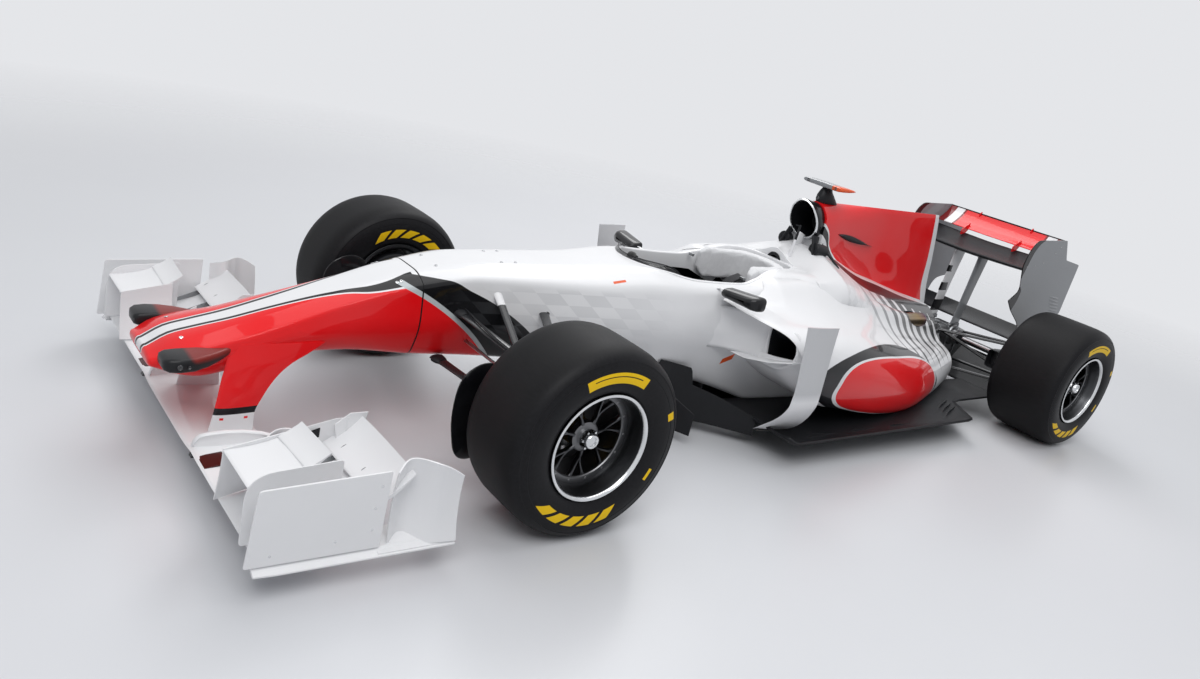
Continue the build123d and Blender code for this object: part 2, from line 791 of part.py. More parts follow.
# ---------------------------------------------------------------- rear wing
with BuildPart() as rear_wing_main_plane:
    add(foil_loft(*[
        Foil(x, rear(-52), 832, rear(206), 892, 26, 30) for x in (-rear_plate_x, rear_plate_x)
    ]))
save(rear_wing_main_plane.part, "rear_wing_main_plane")
with BuildPart() as rear_wing_flap:
    add(foil_loft(*[
        Foil(x, rear(204), 912, rear(312), 1008, 12, 16) for x in (-rear_plate_x, rear_plate_x)
    ]))
save(rear_wing_flap.part, "rear_wing_flap")
with BuildPart() as beam_wing:
    add(foil_loft(*[
        Foil(x, rear(70), 420, rear(270), 470, 16, 20) for x in (-rear_plate_x, rear_plate_x)
    ]))
save(beam_wing.part, "beam_wing")
with BuildPart() as left_plate:
    with BuildSketch(side_plane(rear_plate_x)):
        with BuildLine():
            Polyline(
                (rear(-67), 844), (rear(-40), 950), (rear(20), 1006), (rear(322), 1016),
                (rear(398), 901), (rear(rear_overhang), 877), (rear(562), 563),
                (rear(400), 520), (rear(344), 150), (rear(150), 150), (rear(130), 500),
                (rear(-20), 590), (rear(-88), 648), (rear(-6), 707), close=True,
            )
        make_face()
    extrude(amount=plate)
    add(diffuser.part, mode=Mode.SUBTRACT)
with BuildPart() as rear_wing_endplates:
    add(both_sides(left_plate.part.solids().sort_by(SortBy.VOLUME)[-1]))
save(rear_wing_endplates.part, "rear_wing_endplates")

with BuildPart() as rear_wing_pylons:
    for side in SIDES.values():
        with BuildSketch(side_plane(side * 72)):
            with BuildLine():
                Polyline(
                    (rear(-40), 340), (rear(20), 340), (rear(110), 836), (rear(20), 836),
                    close=True,
                )
            make_face()
        extrude(amount=side * 8)
    add(gearbox.part, mode=Mode.SUBTRACT)
    add(rear_wing_main_plane.part, mode=Mode.SUBTRACT)
save(rear_wing_pylons.part, "rear_wing_pylons")

# ---------------------------------------------------------------- wheels
bead_inset = 14  # the rim's flanges, in from the tyre's widest
shoulder_radius = 45
dish_depth = {"front": 88, "rear": 70}  # from the tyre's outer face in to the spokes
spoke_count = 7
spoke_width = 30
spoke_thickness = 22
nut_diameter = 64
hub_diameter = 110
Wheel = namedtuple("Wheel", "width y hub_x")  # hub_x: the rim's hub face beside the upright
WHEELS = {
    "front": Wheel(front_tyre_width, front(0), kingpin_x + 45 + running_gap),
    "rear": Wheel(rear_tyre_width, rear(0), 660 + running_gap),
}
axle_stub_length = 66


def axle_frame(wheel, side):
    """Local x along the axle, outwards from the tyre's outer face; local y is up."""
    return Plane(origin=(side * half_width, wheel.y, axle_height), x_dir=(side, 0, 0),
                 z_dir=(0, -side, 0))


for end, wheel in WHEELS.items():
    for side_name, side in SIDES.items():
        frame = axle_frame(wheel, side)
        with BuildPart() as tyre:
            with BuildSketch(frame):
                with BuildLine():
                    Polyline(
                        (-bead_inset, bead_diameter / 2), (-bead_inset, rim_diameter / 2 + 2),
                        (0, bead_diameter / 2 + 40),
                        (0, tyre_diameter / 2 - shoulder_radius),
                    )
                    ThreePointArc(
                        (0, tyre_diameter / 2 - shoulder_radius),
                        (-shoulder_radius * (1 - cos(radians(45))),
                         tyre_diameter / 2 - shoulder_radius * (1 - sin(radians(45)))),
                        (-shoulder_radius, tyre_diameter / 2),
                    )
                    Line((-shoulder_radius, tyre_diameter / 2),
                         (shoulder_radius - wheel.width, tyre_diameter / 2))
                    ThreePointArc(
                        (shoulder_radius - wheel.width, tyre_diameter / 2),
                        (shoulder_radius * (1 - cos(radians(45))) - wheel.width,
                         tyre_diameter / 2 - shoulder_radius * (1 - sin(radians(45)))),
                        (-wheel.width, tyre_diameter / 2 - shoulder_radius),
                    )
                    Polyline(
                        (-wheel.width, tyre_diameter / 2 - shoulder_radius),
                        (-wheel.width, bead_diameter / 2 + 40),
                        (bead_inset - wheel.width, rim_diameter / 2 + 2),
                        (bead_inset - wheel.width, bead_diameter / 2),
                        (-bead_inset, bead_diameter / 2),
                    )
                make_face()
            revolve(axis=Axis(frame.origin, frame.x_dir))
        save(tyre.part, f"tyre_{end}_{side_name}")

        flange_out = -bead_inset + 6 + seat_gap
        flange_in = -wheel.width + bead_inset - 6 - seat_gap
        face_x = -dish_depth[end]
        hub_face = wheel.hub_x - half_width
        with BuildPart() as rim:
            with BuildSketch(frame):
                with BuildLine():
                    Polyline(
                        (flange_out, rim_diameter / 2), (flange_out, barrel_diameter / 2 - rim_wall),
                        (flange_in, barrel_diameter / 2 - rim_wall), (flange_in, rim_diameter / 2),
                        (flange_in + 6, rim_diameter / 2),
                        (flange_in + 6, bead_diameter / 2 - seat_gap),
                        (flange_in + 30, bead_diameter / 2 - seat_gap),
                        (flange_in + 40, barrel_diameter / 2),
                        (flange_out - 40, barrel_diameter / 2),
                        (flange_out - 30, bead_diameter / 2 - seat_gap),
                        (flange_out - 6, bead_diameter / 2 - seat_gap),
                        (flange_out - 6, rim_diameter / 2), close=True,
                    )
                make_face()
                with Locations(((face_x + hub_face) / 2, hub_diameter / 4)):
                    Rectangle(face_x - hub_face, hub_diameter / 2)
                with Locations((hub_face - axle_stub_length / 2 + 1, (hub_bore / 2 - pin_fit) / 2)):
                    Rectangle(axle_stub_length + 2, hub_bore / 2 - pin_fit)
                with Locations((face_x + 12, nut_diameter / 4)):
                    Rectangle(26, nut_diameter / 2)
            revolve(axis=Axis(frame.origin, frame.x_dir))
            with BuildSketch(Plane(
                origin=(side * (half_width + face_x), wheel.y, axle_height),
                x_dir=(0, side, 0), z_dir=(side, 0, 0),
            )):
                with PolarLocations(0, spoke_count):
                    with Locations(((barrel_diameter / 2 + hub_diameter / 4 - rim_wall) / 2, 0)):
                        Rectangle(barrel_diameter / 2 - hub_diameter / 4, spoke_width)
            extrude(amount=-spoke_thickness)
        save(rim.part, f"rim_{end}_{side_name}")

# ---------------------------------------------------------------- front uprights and steering
upright_post = 44  # diameter
bearing_housing = 90  # diameter
housing_inner, housing_outer = 22, 45  # from the kingpin inwards and outwards
pin_engagement = 20
eye_diameter = 28
eye_pin = 10
eye_thickness = 14
arm_thickness = 12
fence_x = 545
duct_low, duct_high = 284, 352


def kingpin_frame(side):
    """Local z up the kingpin, local x outwards, local y rearwards or forwards by side."""
    lean = radians(kingpin_lean)
    return Plane(
        origin=(side * kingpin_x, front(0), axle_height),
        x_dir=(side * cos(lean), 0, sin(lean)),
        z_dir=(-side * sin(lean), 0, cos(lean)),
    )


for side_name, side in SIDES.items():
    frame = kingpin_frame(side)
    ahead = -side  # local y that points to the nose
    with BuildPart() as upright:
        with BuildSketch(frame.offset(-kingpin_half)):
            Circle(upright_post / 2)
        extrude(amount=2 * kingpin_half)
        with BuildSketch(side_plane(side * (kingpin_x - housing_inner))):
            with Locations((front(0), axle_height)):
                Circle(bearing_housing / 2)
        extrude(amount=side * (housing_inner + housing_outer))
        with BuildSketch(frame.offset(steering_arm_height - arm_thickness)):
            with BuildLine():
                Polyline(
                    (-16, 0), (-16, ahead * steering_arm), (0, ahead * (steering_arm + 14)),
                    (16, ahead * steering_arm), (16, 0), close=True,
                )
            make_face()
        extrude(amount=arm_thickness)
        with BuildSketch(frame.offset(steering_arm_height)):
            with Locations((0, ahead * steering_arm)):
                Circle(eye_pin / 2)
        extrude(amount=eye_thickness + 3)
        with BuildSketch(Plane.XY.offset(duct_low)):
            with BuildLine():
                FilletPolyline(
                    (side * (kingpin_x - 10), front(-40)), (side * (kingpin_x - 10), front(-72)),
                    (side * 590, front(-136)), (side * 572, front(-172)),
                    (side * 572, front(-240)),
                    (side * (fence_x + plate - 2), front(-240)),
                    (side * (fence_x + plate - 2), front(-150)),
                    (side * 572, front(-72)), (side * (kingpin_x - 60), front(-40)),
                    radius=8, close=True,
                )
            make_face()
        extrude(amount=duct_high - duct_low)
        with BuildSketch(side_plane(side * fence_x)):
            with BuildLine():
                Polyline(
                    (front(-150), 210), (front(-150), 440), (front(-230), 490),
                    (front(-330), 440), (front(-345), 300), (front(-300), 150),
                    (front(-230), 130), close=True,
                )
            make_face()
        extrude(amount=side * plate)
        for direction in (1, -1):
            with BuildSketch(frame.offset(direction * (kingpin_half - pin_engagement - 2))):
                Circle(kingpin_pin / 2 + pin_fit)
            extrude(amount=direction * 2 * pin_engagement, mode=Mode.SUBTRACT)
        with BuildSketch(side_plane(side * (kingpin_x - housing_inner - 1))):
            with Locations((front(0), axle_height)):
                Circle(hub_bore / 2)
        extrude(amount=side * (housing_inner + housing_outer + 2), mode=Mode.SUBTRACT)
    save(upright.part, f"front_upright_{side_name}")

    eye_plane = frame.offset(steering_arm_height + fit)
    eye_centre = eye_plane.from_local_coords((0, ahead * steering_arm, eye_thickness / 2))
    with BuildPart() as tie_rod:
        with BuildSketch(eye_plane):
            with Locations((0, ahead * steering_arm)):
                Circle(eye_diameter / 2)
        extrude(amount=eye_thickness)
        with BuildSketch(Plane(origin=eye_centre, x_dir=(0, 1, 0), z_dir=(-side, 0, 0))):
            Circle(tie_rod_diameter / 2 - 2)
        extrude(amount=kingpin_x - 126)
        with BuildSketch(eye_plane.offset(-1)):
            with Locations((0, ahead * steering_arm)):
                Circle(eye_pin / 2 + pin_fit)
        extrude(amount=eye_thickness + 2, mode=Mode.SUBTRACT)
    save(tie_rod.part, f"tie_rod_{side_name}")

# ---------------------------------------------------------------- suspension
Leg = namedtuple("Leg", "start end chord thickness")
joint_block = 16  # radius round each kingpin pin
joint_height = 18
joint_gap = 2
lower_joint = kingpin_frame(LEFT).from_local_coords((0, 0, -kingpin_half - joint_gap - joint_height / 2))
upper_joint = kingpin_frame(LEFT).from_local_coords((0, 0, kingpin_half + joint_gap + joint_height / 2))
FRONT_LEGS = [
    Leg((150, front(-135), 506), upper_joint, 40, 12),
    Leg((160, front(215), 520), upper_joint, 36, 12),
    Leg((100, front(-175), 318), lower_joint, 40, 12),
    Leg((100, front(215), 310), lower_joint, 36, 12),
    Leg((150, front(0), 590), lower_joint + Vector(-85, 0, 8), 30, 16),  # the pushrod
]
upright_x = 600
REAR_LEGS = [
    Leg((70, rear(-225), 372), (upright_x + 10, rear(-30), 440), 44, 14),
    Leg((60, rear(50), 352), (upright_x + 10, rear(30), 440), 36, 14),
    Leg((80, rear(-225), 180), (upright_x + 10, rear(-30), 222), 44, 14),
    Leg((60, rear(60), 180), (upright_x + 10, rear(30), 222), 36, 14),
    Leg((60, rear(-150), 372), (upright_x + 10, rear(-36), 240), 26, 16),  # the pullrod
]


def leg_solid(leg):
    start, end = Vector(*leg.start), Vector(*leg.end)
    along = end - start
    with BuildPart() as rod:
        across = Vector(0, 1, 0) - along * (along.Y / along.dot(along))
        with BuildSketch(Plane(origin=start, x_dir=across, z_dir=along)):
            Ellipse(leg.chord / 2, leg.thickness / 2)
        extrude(amount=along.length)
    return rod.part


frame = kingpin_frame(LEFT)
with BuildPart() as left_front_suspension:
    for leg in FRONT_LEGS:
        add(leg_solid(leg))
    for direction in (1, -1):
        with BuildSketch(frame.offset(direction * (kingpin_half + joint_gap))):
            Circle(joint_block)
        extrude(amount=direction * joint_height)
        with BuildSketch(frame.offset(direction * (kingpin_half - pin_engagement))):
            Circle(kingpin_pin / 2)
        extrude(amount=direction * (pin_engagement + joint_gap + 1))
    add(tub_clearance, mode=Mode.SUBTRACT)
    add(nose_clearance, mode=Mode.SUBTRACT)
    add(slab(front(-400), front(400)), mode=Mode.INTERSECT)
with BuildPart() as front_suspension:
    add(both_sides(left_front_suspension.part))
save(front_suspension.part, "front_suspension")

with BuildPart() as left_rear_upright:
    with BuildSketch(side_plane(upright_x)):
        with Locations((rear(0), axle_height)):
            RectangleRounded(110, 260, 20)
            Circle(hub_bore / 2, mode=Mode.SUBTRACT)
    extrude(amount=60)
with BuildPart() as rear_uprights:
    add(both_sides(left_rear_upright.part))
save(rear_uprights.part, "rear_uprights")

with BuildPart() as left_rear_suspension:
    for leg in REAR_LEGS:
        add(leg_solid(leg))
    add(gearbox.part, mode=Mode.SUBTRACT)
    with BuildSketch(side_plane(upright_x)):
        Rectangle(4 * overall_length, 4 * overall_length)
    extrude(amount=overall_width, mode=Mode.SUBTRACT)
with BuildPart() as rear_suspension:
    add(both_sides(left_rear_suspension.part))
save(rear_suspension.part, "rear_suspension")

for side_name, side in SIDES.items():
    with BuildPart() as driveshaft:
        with BuildSketch(side_plane(side * (104 - shaft_seat + 2))):
            with Locations((rear(0), axle_height)):
                Circle(shaft_diameter / 2)
        extrude(amount=side * (WHEELS["rear"].hub_x - axle_stub_length - 104 + shaft_seat - 2))
    save(driveshaft.part, f"driveshaft_{side_name}")
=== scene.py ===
"""Finishes and detailed meshes of an open wheel racing car, laid out as an add-on.

Metres, +Z up, nose along -Y, the car's left along +X. A station is measured rearwards
from the front axle, and every piece is made in place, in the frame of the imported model.
"""

from functools import partialmethod
from math import cos, exp, hypot, pi, radians, sin, sqrt, tau

import bmesh
import bpy
import numpy as np
from mathutils import Matrix, Vector


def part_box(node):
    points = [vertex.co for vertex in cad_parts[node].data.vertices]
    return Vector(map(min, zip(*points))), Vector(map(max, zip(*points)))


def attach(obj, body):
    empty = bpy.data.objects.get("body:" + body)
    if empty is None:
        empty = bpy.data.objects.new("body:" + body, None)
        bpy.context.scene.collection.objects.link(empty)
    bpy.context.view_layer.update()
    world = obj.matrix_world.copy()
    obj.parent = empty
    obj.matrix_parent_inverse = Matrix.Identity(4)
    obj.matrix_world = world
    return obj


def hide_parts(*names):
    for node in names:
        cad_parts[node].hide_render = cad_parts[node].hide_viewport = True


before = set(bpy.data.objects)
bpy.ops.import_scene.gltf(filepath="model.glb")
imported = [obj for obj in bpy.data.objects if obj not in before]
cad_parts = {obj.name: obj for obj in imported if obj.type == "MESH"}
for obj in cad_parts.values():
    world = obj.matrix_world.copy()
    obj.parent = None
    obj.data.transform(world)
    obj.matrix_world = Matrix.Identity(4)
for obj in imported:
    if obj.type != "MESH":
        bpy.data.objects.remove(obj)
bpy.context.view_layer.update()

bl_info = {"name": "Open wheel racing car", "version": (1, 0, 0), "blender": (4, 5, 0),
    "location": "View3D > Sidebar > Racing car",
    "description": "Detailed bodywork, wheels and finishes of a single-seat racing car",
    "category": "Add Mesh"}

tyre_low, tyre_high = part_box("tyre_front_left")
FRONT_AXLE = (tyre_low.y + tyre_high.y) / 2
AXLE_Z = (tyre_low.z + tyre_high.z) / 2
HALF_WIDTH = tyre_high.x
TYRE_RADIUS = (tyre_high.z - tyre_low.z) / 2
rear_low, rear_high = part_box("tyre_rear_left")
REAR_AXLE = (rear_low.y + rear_high.y) / 2
WHEELBASE = REAR_AXLE - FRONT_AXLE
SIDES = {"left": 1, "right": -1}


def at(x, s, z):
    """A point by its offset to the left, its station behind the front axle and its height."""
    return (x, s + FRONT_AXLE, z)


def behind(x, s, z):
    """The same, with the station measured from the rear axle."""
    return (x, s + REAR_AXLE, z)


def ahead(u, v, s):
    """Places a cross-section, an outline of offsets and heights, at a station."""
    return at(u, s, v)


def even(start, length, count):
    """Values at even steps over a length, both ends included."""
    return [start + length * k / count for k in range(count + 1)]


# ---------------- settings
def colour_setting(name, description, default):
    return bpy.props.FloatVectorProperty(name=name, description=description, default=default,
        subtype="COLOR", size=3, min=0, max=1)


def length_setting(name, description, default):
    return bpy.props.FloatProperty(name=name, description=description, default=default, unit="LENGTH",
        min=0)


class CarColours(bpy.types.PropertyGroup):
    white: colour_setting("White", "Ground colour of the bodywork", (0.8, 0.803, 0.815))
    red: colour_setting("Red", "Nose, fin and side panels", (0.8, 0.006, 0.009))
    black: colour_setting("Black", "Printed lines and fields", (0.004, 0.004, 0.005))
    grey: colour_setting("Grey", "Rear wing end plates and struts", (0.27, 0.28, 0.295))
    orange: colour_setting("Orange", "Cap of the overhead camera bar", (0.75, 0.1, 0.02))
    yellow: colour_setting("Yellow", "Bands on the tyre walls", (0.86, 0.55, 0.01))
    carbon: colour_setting("Carbon", "Bare woven panels", (0.009, 0.0095, 0.011))
    rubber: colour_setting("Rubber", "Tyres", (0.007, 0.007, 0.008))


class CarSizes(bpy.types.PropertyGroup):
    stripe: length_setting("Stripe", "Half width of the white stripe on the nose", 0.042)
    weave: length_setting("Weave", "Width of one tow of the woven carbon", 0.0032)
    panel_gap: length_setting("Panel gap", "Width of the joints between panels", 0.0025)
    spokes: bpy.props.IntProperty(name="Spokes", description="Forked spokes in each wheel", default=7,
        min=3)


def colours():
    return bpy.context.scene.car_colours


def sizes():
    return bpy.context.scene.car_sizes


# ---------------- shader maths
class Field:
    """A shader socket in Python arithmetic: each operator adds one Math node."""

    def __init__(self, shader, socket):
        self.shader, self.socket = shader, socket

    def math(self, operation, *values, clamp=False):
        inputs = dict(enumerate((self, *values)))
        return self.shader.node("ShaderNodeMath", inputs, operation=operation, use_clamp=clamp)

    __add__ = __radd__ = partialmethod(math, "ADD")
    __sub__ = partialmethod(math, "SUBTRACT")
    __mul__ = __rmul__ = partialmethod(math, "MULTIPLY")
    __truediv__ = partialmethod(math, "DIVIDE")
    __pow__ = partialmethod(math, "POWER")
    __abs__ = partialmethod(math, "ABSOLUTE")
    at_most = partialmethod(math, "MINIMUM")
    at_least = partialmethod(math, "MAXIMUM")

    def __rsub__(self, other):
        return (self * -1) + other

    def step(self, edge, soft=0.0006):
        """0 below the edge and 1 above it, over a narrow soft band."""
        return self.math("MULTIPLY_ADD", 0.5 / soft, 0.5 - edge * 0.5 / soft, clamp=True)

    def between(self, low, high, soft=0.0006):
        middle, half = (low + high) / 2, (high - low) / 2
        return 1 - abs(self - middle).step(half, soft)


class Shader:
    """A material's node tree, and the patterns that the finishes share."""

    def __init__(self, name):
        self.material = bpy.data.materials.new(name)
        self.material.use_nodes = True
        self.tree = self.material.node_tree
        self.tree.nodes.clear()
        place = self.node("ShaderNodeTexCoord", output="Object")
        split = self.node("ShaderNodeSeparateXYZ", {0: place}).socket.node
        self.place = place
        self.x, self.y, self.z = (Field(self, socket) for socket in split.outputs)
        self.s = self.y - FRONT_AXLE
        self.side = abs(self.x)

    def node(self, kind, inputs=(), output=0, stops=(), points=(), **settings):
        """Adds a node: its settings first, then the values or links of its sockets."""
        made = self.tree.nodes.new(kind)
        for key, value in settings.items():
            setattr(made, key, value)
        for index, (position, colour) in enumerate(stops):
            ramp = made.color_ramp.elements
            stop = ramp[index] if index < 2 else ramp.new(position)
            stop.position, stop.color = position, (*colour, 1)
        for index, (position, value) in enumerate(points):
            curve = made.mapping.curves[0].points
            point = curve[index] if index < 2 else curve.new(position, value)
            point.location, point.handle_type = (position, value), "AUTO_CLAMPED"
        if points:
            made.mapping.update()
        for key, value in dict(inputs).items():
            if isinstance(value, Field):
                self.tree.links.new(value.socket, made.inputs[key])
            elif made.inputs[key].type == "RGBA" and len(value) == 3:
                made.inputs[key].default_value = (*value, 1)
            else:
                made.inputs[key].default_value = value
        return Field(self, made.outputs[output]) if len(made.outputs) else None

    def mix(self, mask, first, second):
        """The first colour where the mask is 0, the second where it is 1."""
        return self.node("ShaderNodeMix", {0: mask, 6: first, 7: second}, output=2, data_type="RGBA")

    def layers(self, colour, *coats):
        """Colours laid over each other, each where its mask is 1."""
        for mask, paint in coats:
            colour = self.mix(mask, colour, paint)
        return colour

    def noise(self, scale, detail=3, rough=0.5, stretch=(1, 1, 1)):
        vector = self.place
        if stretch != (1, 1, 1):
            vector = self.node("ShaderNodeVectorMath", {0: self.place, 1: stretch},
                operation="MULTIPLY")
        inputs = {"Vector": vector, "Scale": scale, "Detail": detail, "Roughness": rough}
        return self.node("ShaderNodeTexNoise", inputs)

    def along(self, field, points):
        """A value read off a curve through the points, by the field."""
        (low, _), (high, _) = points[0], points[-1]
        values = [value for _, value in points]
        least, span = min(values), (max(values) - min(values)) or 1
        unit = [((p - low) / (high - low), (v - least) / span) for p, v in points]
        order = [unit[0], unit[-1]] + unit[1:-1]
        factor = (field - low) * (1 / (high - low))
        read = self.node("ShaderNodeFloatCurve", {"Value": factor}, points=order)
        return read * span + least

    def line(self, u, v, start, end):
        """Signed distance from a straight line, above 0 on its left."""
        du, dv = end[0] - start[0], end[1] - start[1]
        length = hypot(du, dv)
        return (v - start[1]) * (du / length) - (u - start[0]) * (dv / length)

    def inside(self, u, v, corners):
        """How far inside a convex outline, whose corners run anticlockwise."""
        depth = None
        for start, end in zip(corners, corners[1:] + corners[:1]):
            edge = self.line(u, v, start, end)
            depth = edge if depth is None else depth.at_most(edge)
        return depth

    def diamonds(self, width):
        """1 on every other cell of a slanting chequer."""
        u, v = (self.s + self.z) * (1 / width), (self.s - self.z * 1.6) * (1 / width)
        return ((u.math("FLOOR") + v.math("FLOOR")) * 0.5).math("FRACT").step(0.25, 0.05)

    def bump(self, height, distance=0.001, strength=1.0, normal=None):
        inputs = {"Height": height, "Distance": distance, "Strength": strength}
        if normal:
            inputs["Normal"] = normal
        return self.node("ShaderNodeBump", inputs, output="Normal")

    def weave(self, tow):
        """Twill: height of the tows, and which of the two directions lies on top."""
        across = self.side + self.z
        lengthwise = self.y + self.z * 0.35
        u, v = across * (1 / tow), lengthwise * (1 / tow)
        turn = ((u.math("FLOOR") + v.math("FLOOR")) * 0.25).math("FRACT")
        top = turn.step(0.4, 0.05)
        ridge_u = (u.math("FRACT") - 0.5).math("ABSOLUTE") * -2 + 1
        ridge_v = (v.math("FRACT") - 0.5).math("ABSOLUTE") * -2 + 1
        height = ridge_u * top + ridge_v * (1 - top)
        return height, top

    def surface(self, colour, roughness=0.5, metallic=0.0, normal=None, coat=0.0, **fixed):
        inputs = {"Base Color": colour, "Roughness": roughness, "Metallic": metallic,
            "Coat Weight": coat}
        inputs.update({key.replace("_", " "): value for key, value in fixed.items()})
        if normal:
            inputs["Normal"] = normal
        made = self.node("ShaderNodeBsdfPrincipled", inputs, output="BSDF")
        self.node("ShaderNodeOutputMaterial", {"Surface": made})
        return self.material

    def lacquer(self, colour, seams=None):
        """Clear-coated paint: a fine ripple, faint hazing and, where given, open seams."""
        ripple = self.noise(420, detail=2)
        haze = self.noise(5, detail=4, rough=0.55)
        normal = self.bump(ripple, distance=0.0002, strength=0.16)
        colour = self.mix(haze.step(0.62, 0.3) * 0.05, colour, (0.3, 0.31, 0.33))
        if seams is not None:
            colour = self.mix(seams, colour, (0.02, 0.02, 0.022))
            normal = self.bump(1 - seams, distance=0.002, strength=0.9, normal=normal)
        return self.surface(colour, haze * 0.1 + 0.26, normal=normal, coat=0.6, Coat_Roughness=0.035,
            Coat_IOR=1.42, Specular_IOR_Level=0.08)


finishes = {}


def finish(maker):
    """Keeps one material for each maker, under its name."""
    def once(*choices):
        key = "_".join([maker.__name__, *map(str, choices)])
        if key not in finishes:
            finishes[key] = maker(Shader(key), *choices)
        return finishes[key]
    return once


# ---------------- finishes
def plain(name):
    """A lacquer in one of the chosen colours, under that colour's name."""
    def maker(shader):
        return shader.lacquer(getattr(colours(), name))
    maker.__name__ = name
    return finish(maker)


white, red, orange, grey, black = map(plain, ("white", "red", "orange", "grey", "black"))


@finish
def body_paint(shader):
    """Nose and tub: red nose with a white stripe, a slanting black field, then white."""
    c, size = colours(), sizes()
    s, z, side = shader.s, shader.z, shader.side
    stripe = shader.along(s, [(-1.12, size.stripe), (-0.9, size.stripe + 0.003),
        (-0.7, size.stripe + 0.014), (-0.55, size.stripe + 0.036), (-0.42, size.stripe + 0.076),
        (-0.3, size.stripe + 0.095)])
    crease = shader.along(s, [(-1.11, 0.342), (-0.98, 0.386), (-0.76, 0.444), (-0.52, 0.52),
        (-0.28, 0.592), (-0.06, 0.63), (0.42, 0.626)])
    edge = side - stripe
    outer = edge.at_least((crease - 0.01) - z)
    inner = edge + shader.along(s, [(-1.2, 0.0), (-0.62, 0.0), (-0.45, 0.012), (-0.3, 0.05)])
    paint = shader.layers(c.white, (outer.step(0), c.red),
        (inner.step(-0.0195) * (1 - edge.step(-0.006)), c.black), (outer.step(0), c.red))
    flank = shader.line(s, z, (-0.345, 0.585), (0.03, 0.315))
    flank = flank + (s + 0.155) * (s + 0.155) * 0.7 - 0.02
    deck = shader.along(s, [(-0.42, 0.59), (-0.32, 0.612), (-0.2, 0.614), (-0.1, 0.58), (0.02, 0.525),
        (0.2, 0.4), (0.3, 0.3)])
    silver = 0.016
    field = shader.layers((0.5, 0.54, 0.55), (flank.step(silver), c.black),
        ((z - deck).step(0), c.white))
    paint = shader.mix(flank.step(0) * side.step(0.1), paint, field)
    chassis = s.step(0.33).at_least((z - deck).step(0) * (s + 0.3).step(0))
    paint = shader.mix(chassis, paint, c.white)
    cell_u = (s + z * 1.1) * (1 / 0.1)
    cell_v = z * (1 / 0.042)
    check = ((cell_u.math("FLOOR") + cell_v.math("FLOOR")) * 0.5).math("FRACT").step(0.25, 0.05)
    fade = s.between(0.02, 0.62, 0.2) * z.between(0.43, 0.6, 0.01) * check * side.step(0.12)
    paint = shader.mix(fade * 0.2, paint, (0.3, 0.31, 0.33))
    dashes = s.between(0.5, 0.56) * side.between(0.19, 0.2)
    low_dash = (z - s * 0.6).between(-0.392, -0.362) * s.between(1.148, 1.198) * (1 - z.step(0.4))
    paint = shader.mix(dashes.at_least(low_dash), paint, c.orange)
    seam = abs(s + 0.28).step(size.panel_gap)
    return shader.lacquer(paint, seams=1 - seam)


def flames(shader):
    """Leaning tongues that close up and darken towards the rear: where they lie, and their colour."""
    s, z, side = shader.s, shader.z, shader.side
    sway = (z * 21 + s * 3).math("SINE") * 0.012
    tongue = (s + z * 0.3 - side * 0.16 + sway) * (1 / 0.112)
    whole = tongue.math("FLOOR")
    tongue = abs(tongue - whole - 0.5) * 2
    uneven = (whole * 2.4).math("SINE") * 0.08
    share = shader.along(s, [(1.9, -0.12), (2.15, 0.2), (2.4, 0.42), (2.65, 0.58), (2.85, 0.8),
        (3.0, 1.1)])
    share = share + uneven + (z - 0.46) * shader.along(s, [(1.8, 0.6), (2.2, 1.2), (2.6, 3.0)])
    dark = shader.along(s, [(1.95, 0.12), (2.15, 0.42), (2.35, 0.85), (2.5, 1.0)])
    return 1 - (tongue - share).step(0, 0.05), shader.mix(dark, (0.66, 0.67, 0.69), colours().black)


@finish
def cover_paint(shader):
    """Red fin edged in white over a black band, on a white cover with black tongues."""
    c = colours()
    s, z = shader.s, shader.z
    edge = shader.along(s, [(1.79, 0.91), (1.85, 0.87), (1.895, 0.79), (1.97, 0.73), (2.07, 0.69),
        (2.36, 0.623), (2.67, 0.552), (3.0, 0.49)])
    over = z - edge
    rear = shader.along(z, [(0.49, 2.965), (0.62, 2.918), (0.755, 2.9), (1.0, 2.842)])
    tongues, ink = flames(shader)
    ghost = s.between(1.7, 2.3, 0.1) * shader.diamonds(0.07)
    low = shader.layers(c.white, (ghost * 0.16, (0.4, 0.41, 0.43)), (tongues, ink))
    paint = shader.layers(low, (over.step(-0.04), c.black), (over.step(0), c.white),
        (over.step(0.014), c.red))
    tail = (s - rear).step(-0.016)
    paint = shader.mix(tail * over.step(0), paint, c.white)
    return shader.lacquer(paint)


@finish
def pod_paint(shader):
    """White with a black field and a red oval edged in white on the flank."""
    c = colours()
    s, z, side = shader.s, shader.z, shader.side
    low = shader.along(s, [(1.33, 0.3), (1.4, 0.245), (1.63, 0.187), (1.95, 0.125), (2.19, 0.088),
        (2.6, 0.05)])
    field = (((s - 1.975) * (1 / 0.65)) ** 2) + (((z - (s - 1.5) * -0.14 - 0.355) * (1 / 0.182)) ** 2)
    field = (1 - field.step(1, 0.005)) * side.step(0.3)
    middle = (s - 1.5) * -0.13 + 0.35
    u, v = abs((s - 2.03) * (1 / 0.56)), abs((z - middle) * (1 / 0.145))
    oval = (u ** 3 + v ** 3) ** (1 / 3)
    tongues, ink = flames(shader)
    paint = shader.mix(tongues, c.white, ink)
    under = (low - z).step(0.045) * s.step(1.6)
    paint = shader.layers(paint, (under, c.carbon), (field, c.black), (field * (1 - oval.step(1)),
        c.white), (1 - oval.step(0.955), c.red))
    return shader.lacquer(paint)


@finish
def vane_paint(shader):
    """White, with painted shade: the upper part is mixed towards grey."""
    # painted shade: above 0.33 m the white is mixed part of the way to grey
    lift = shader.z.step(0.33, 0.02)
    return shader.lacquer(shader.mix(lift * 0.55, colours().white, (0.36, 0.37, 0.385)))


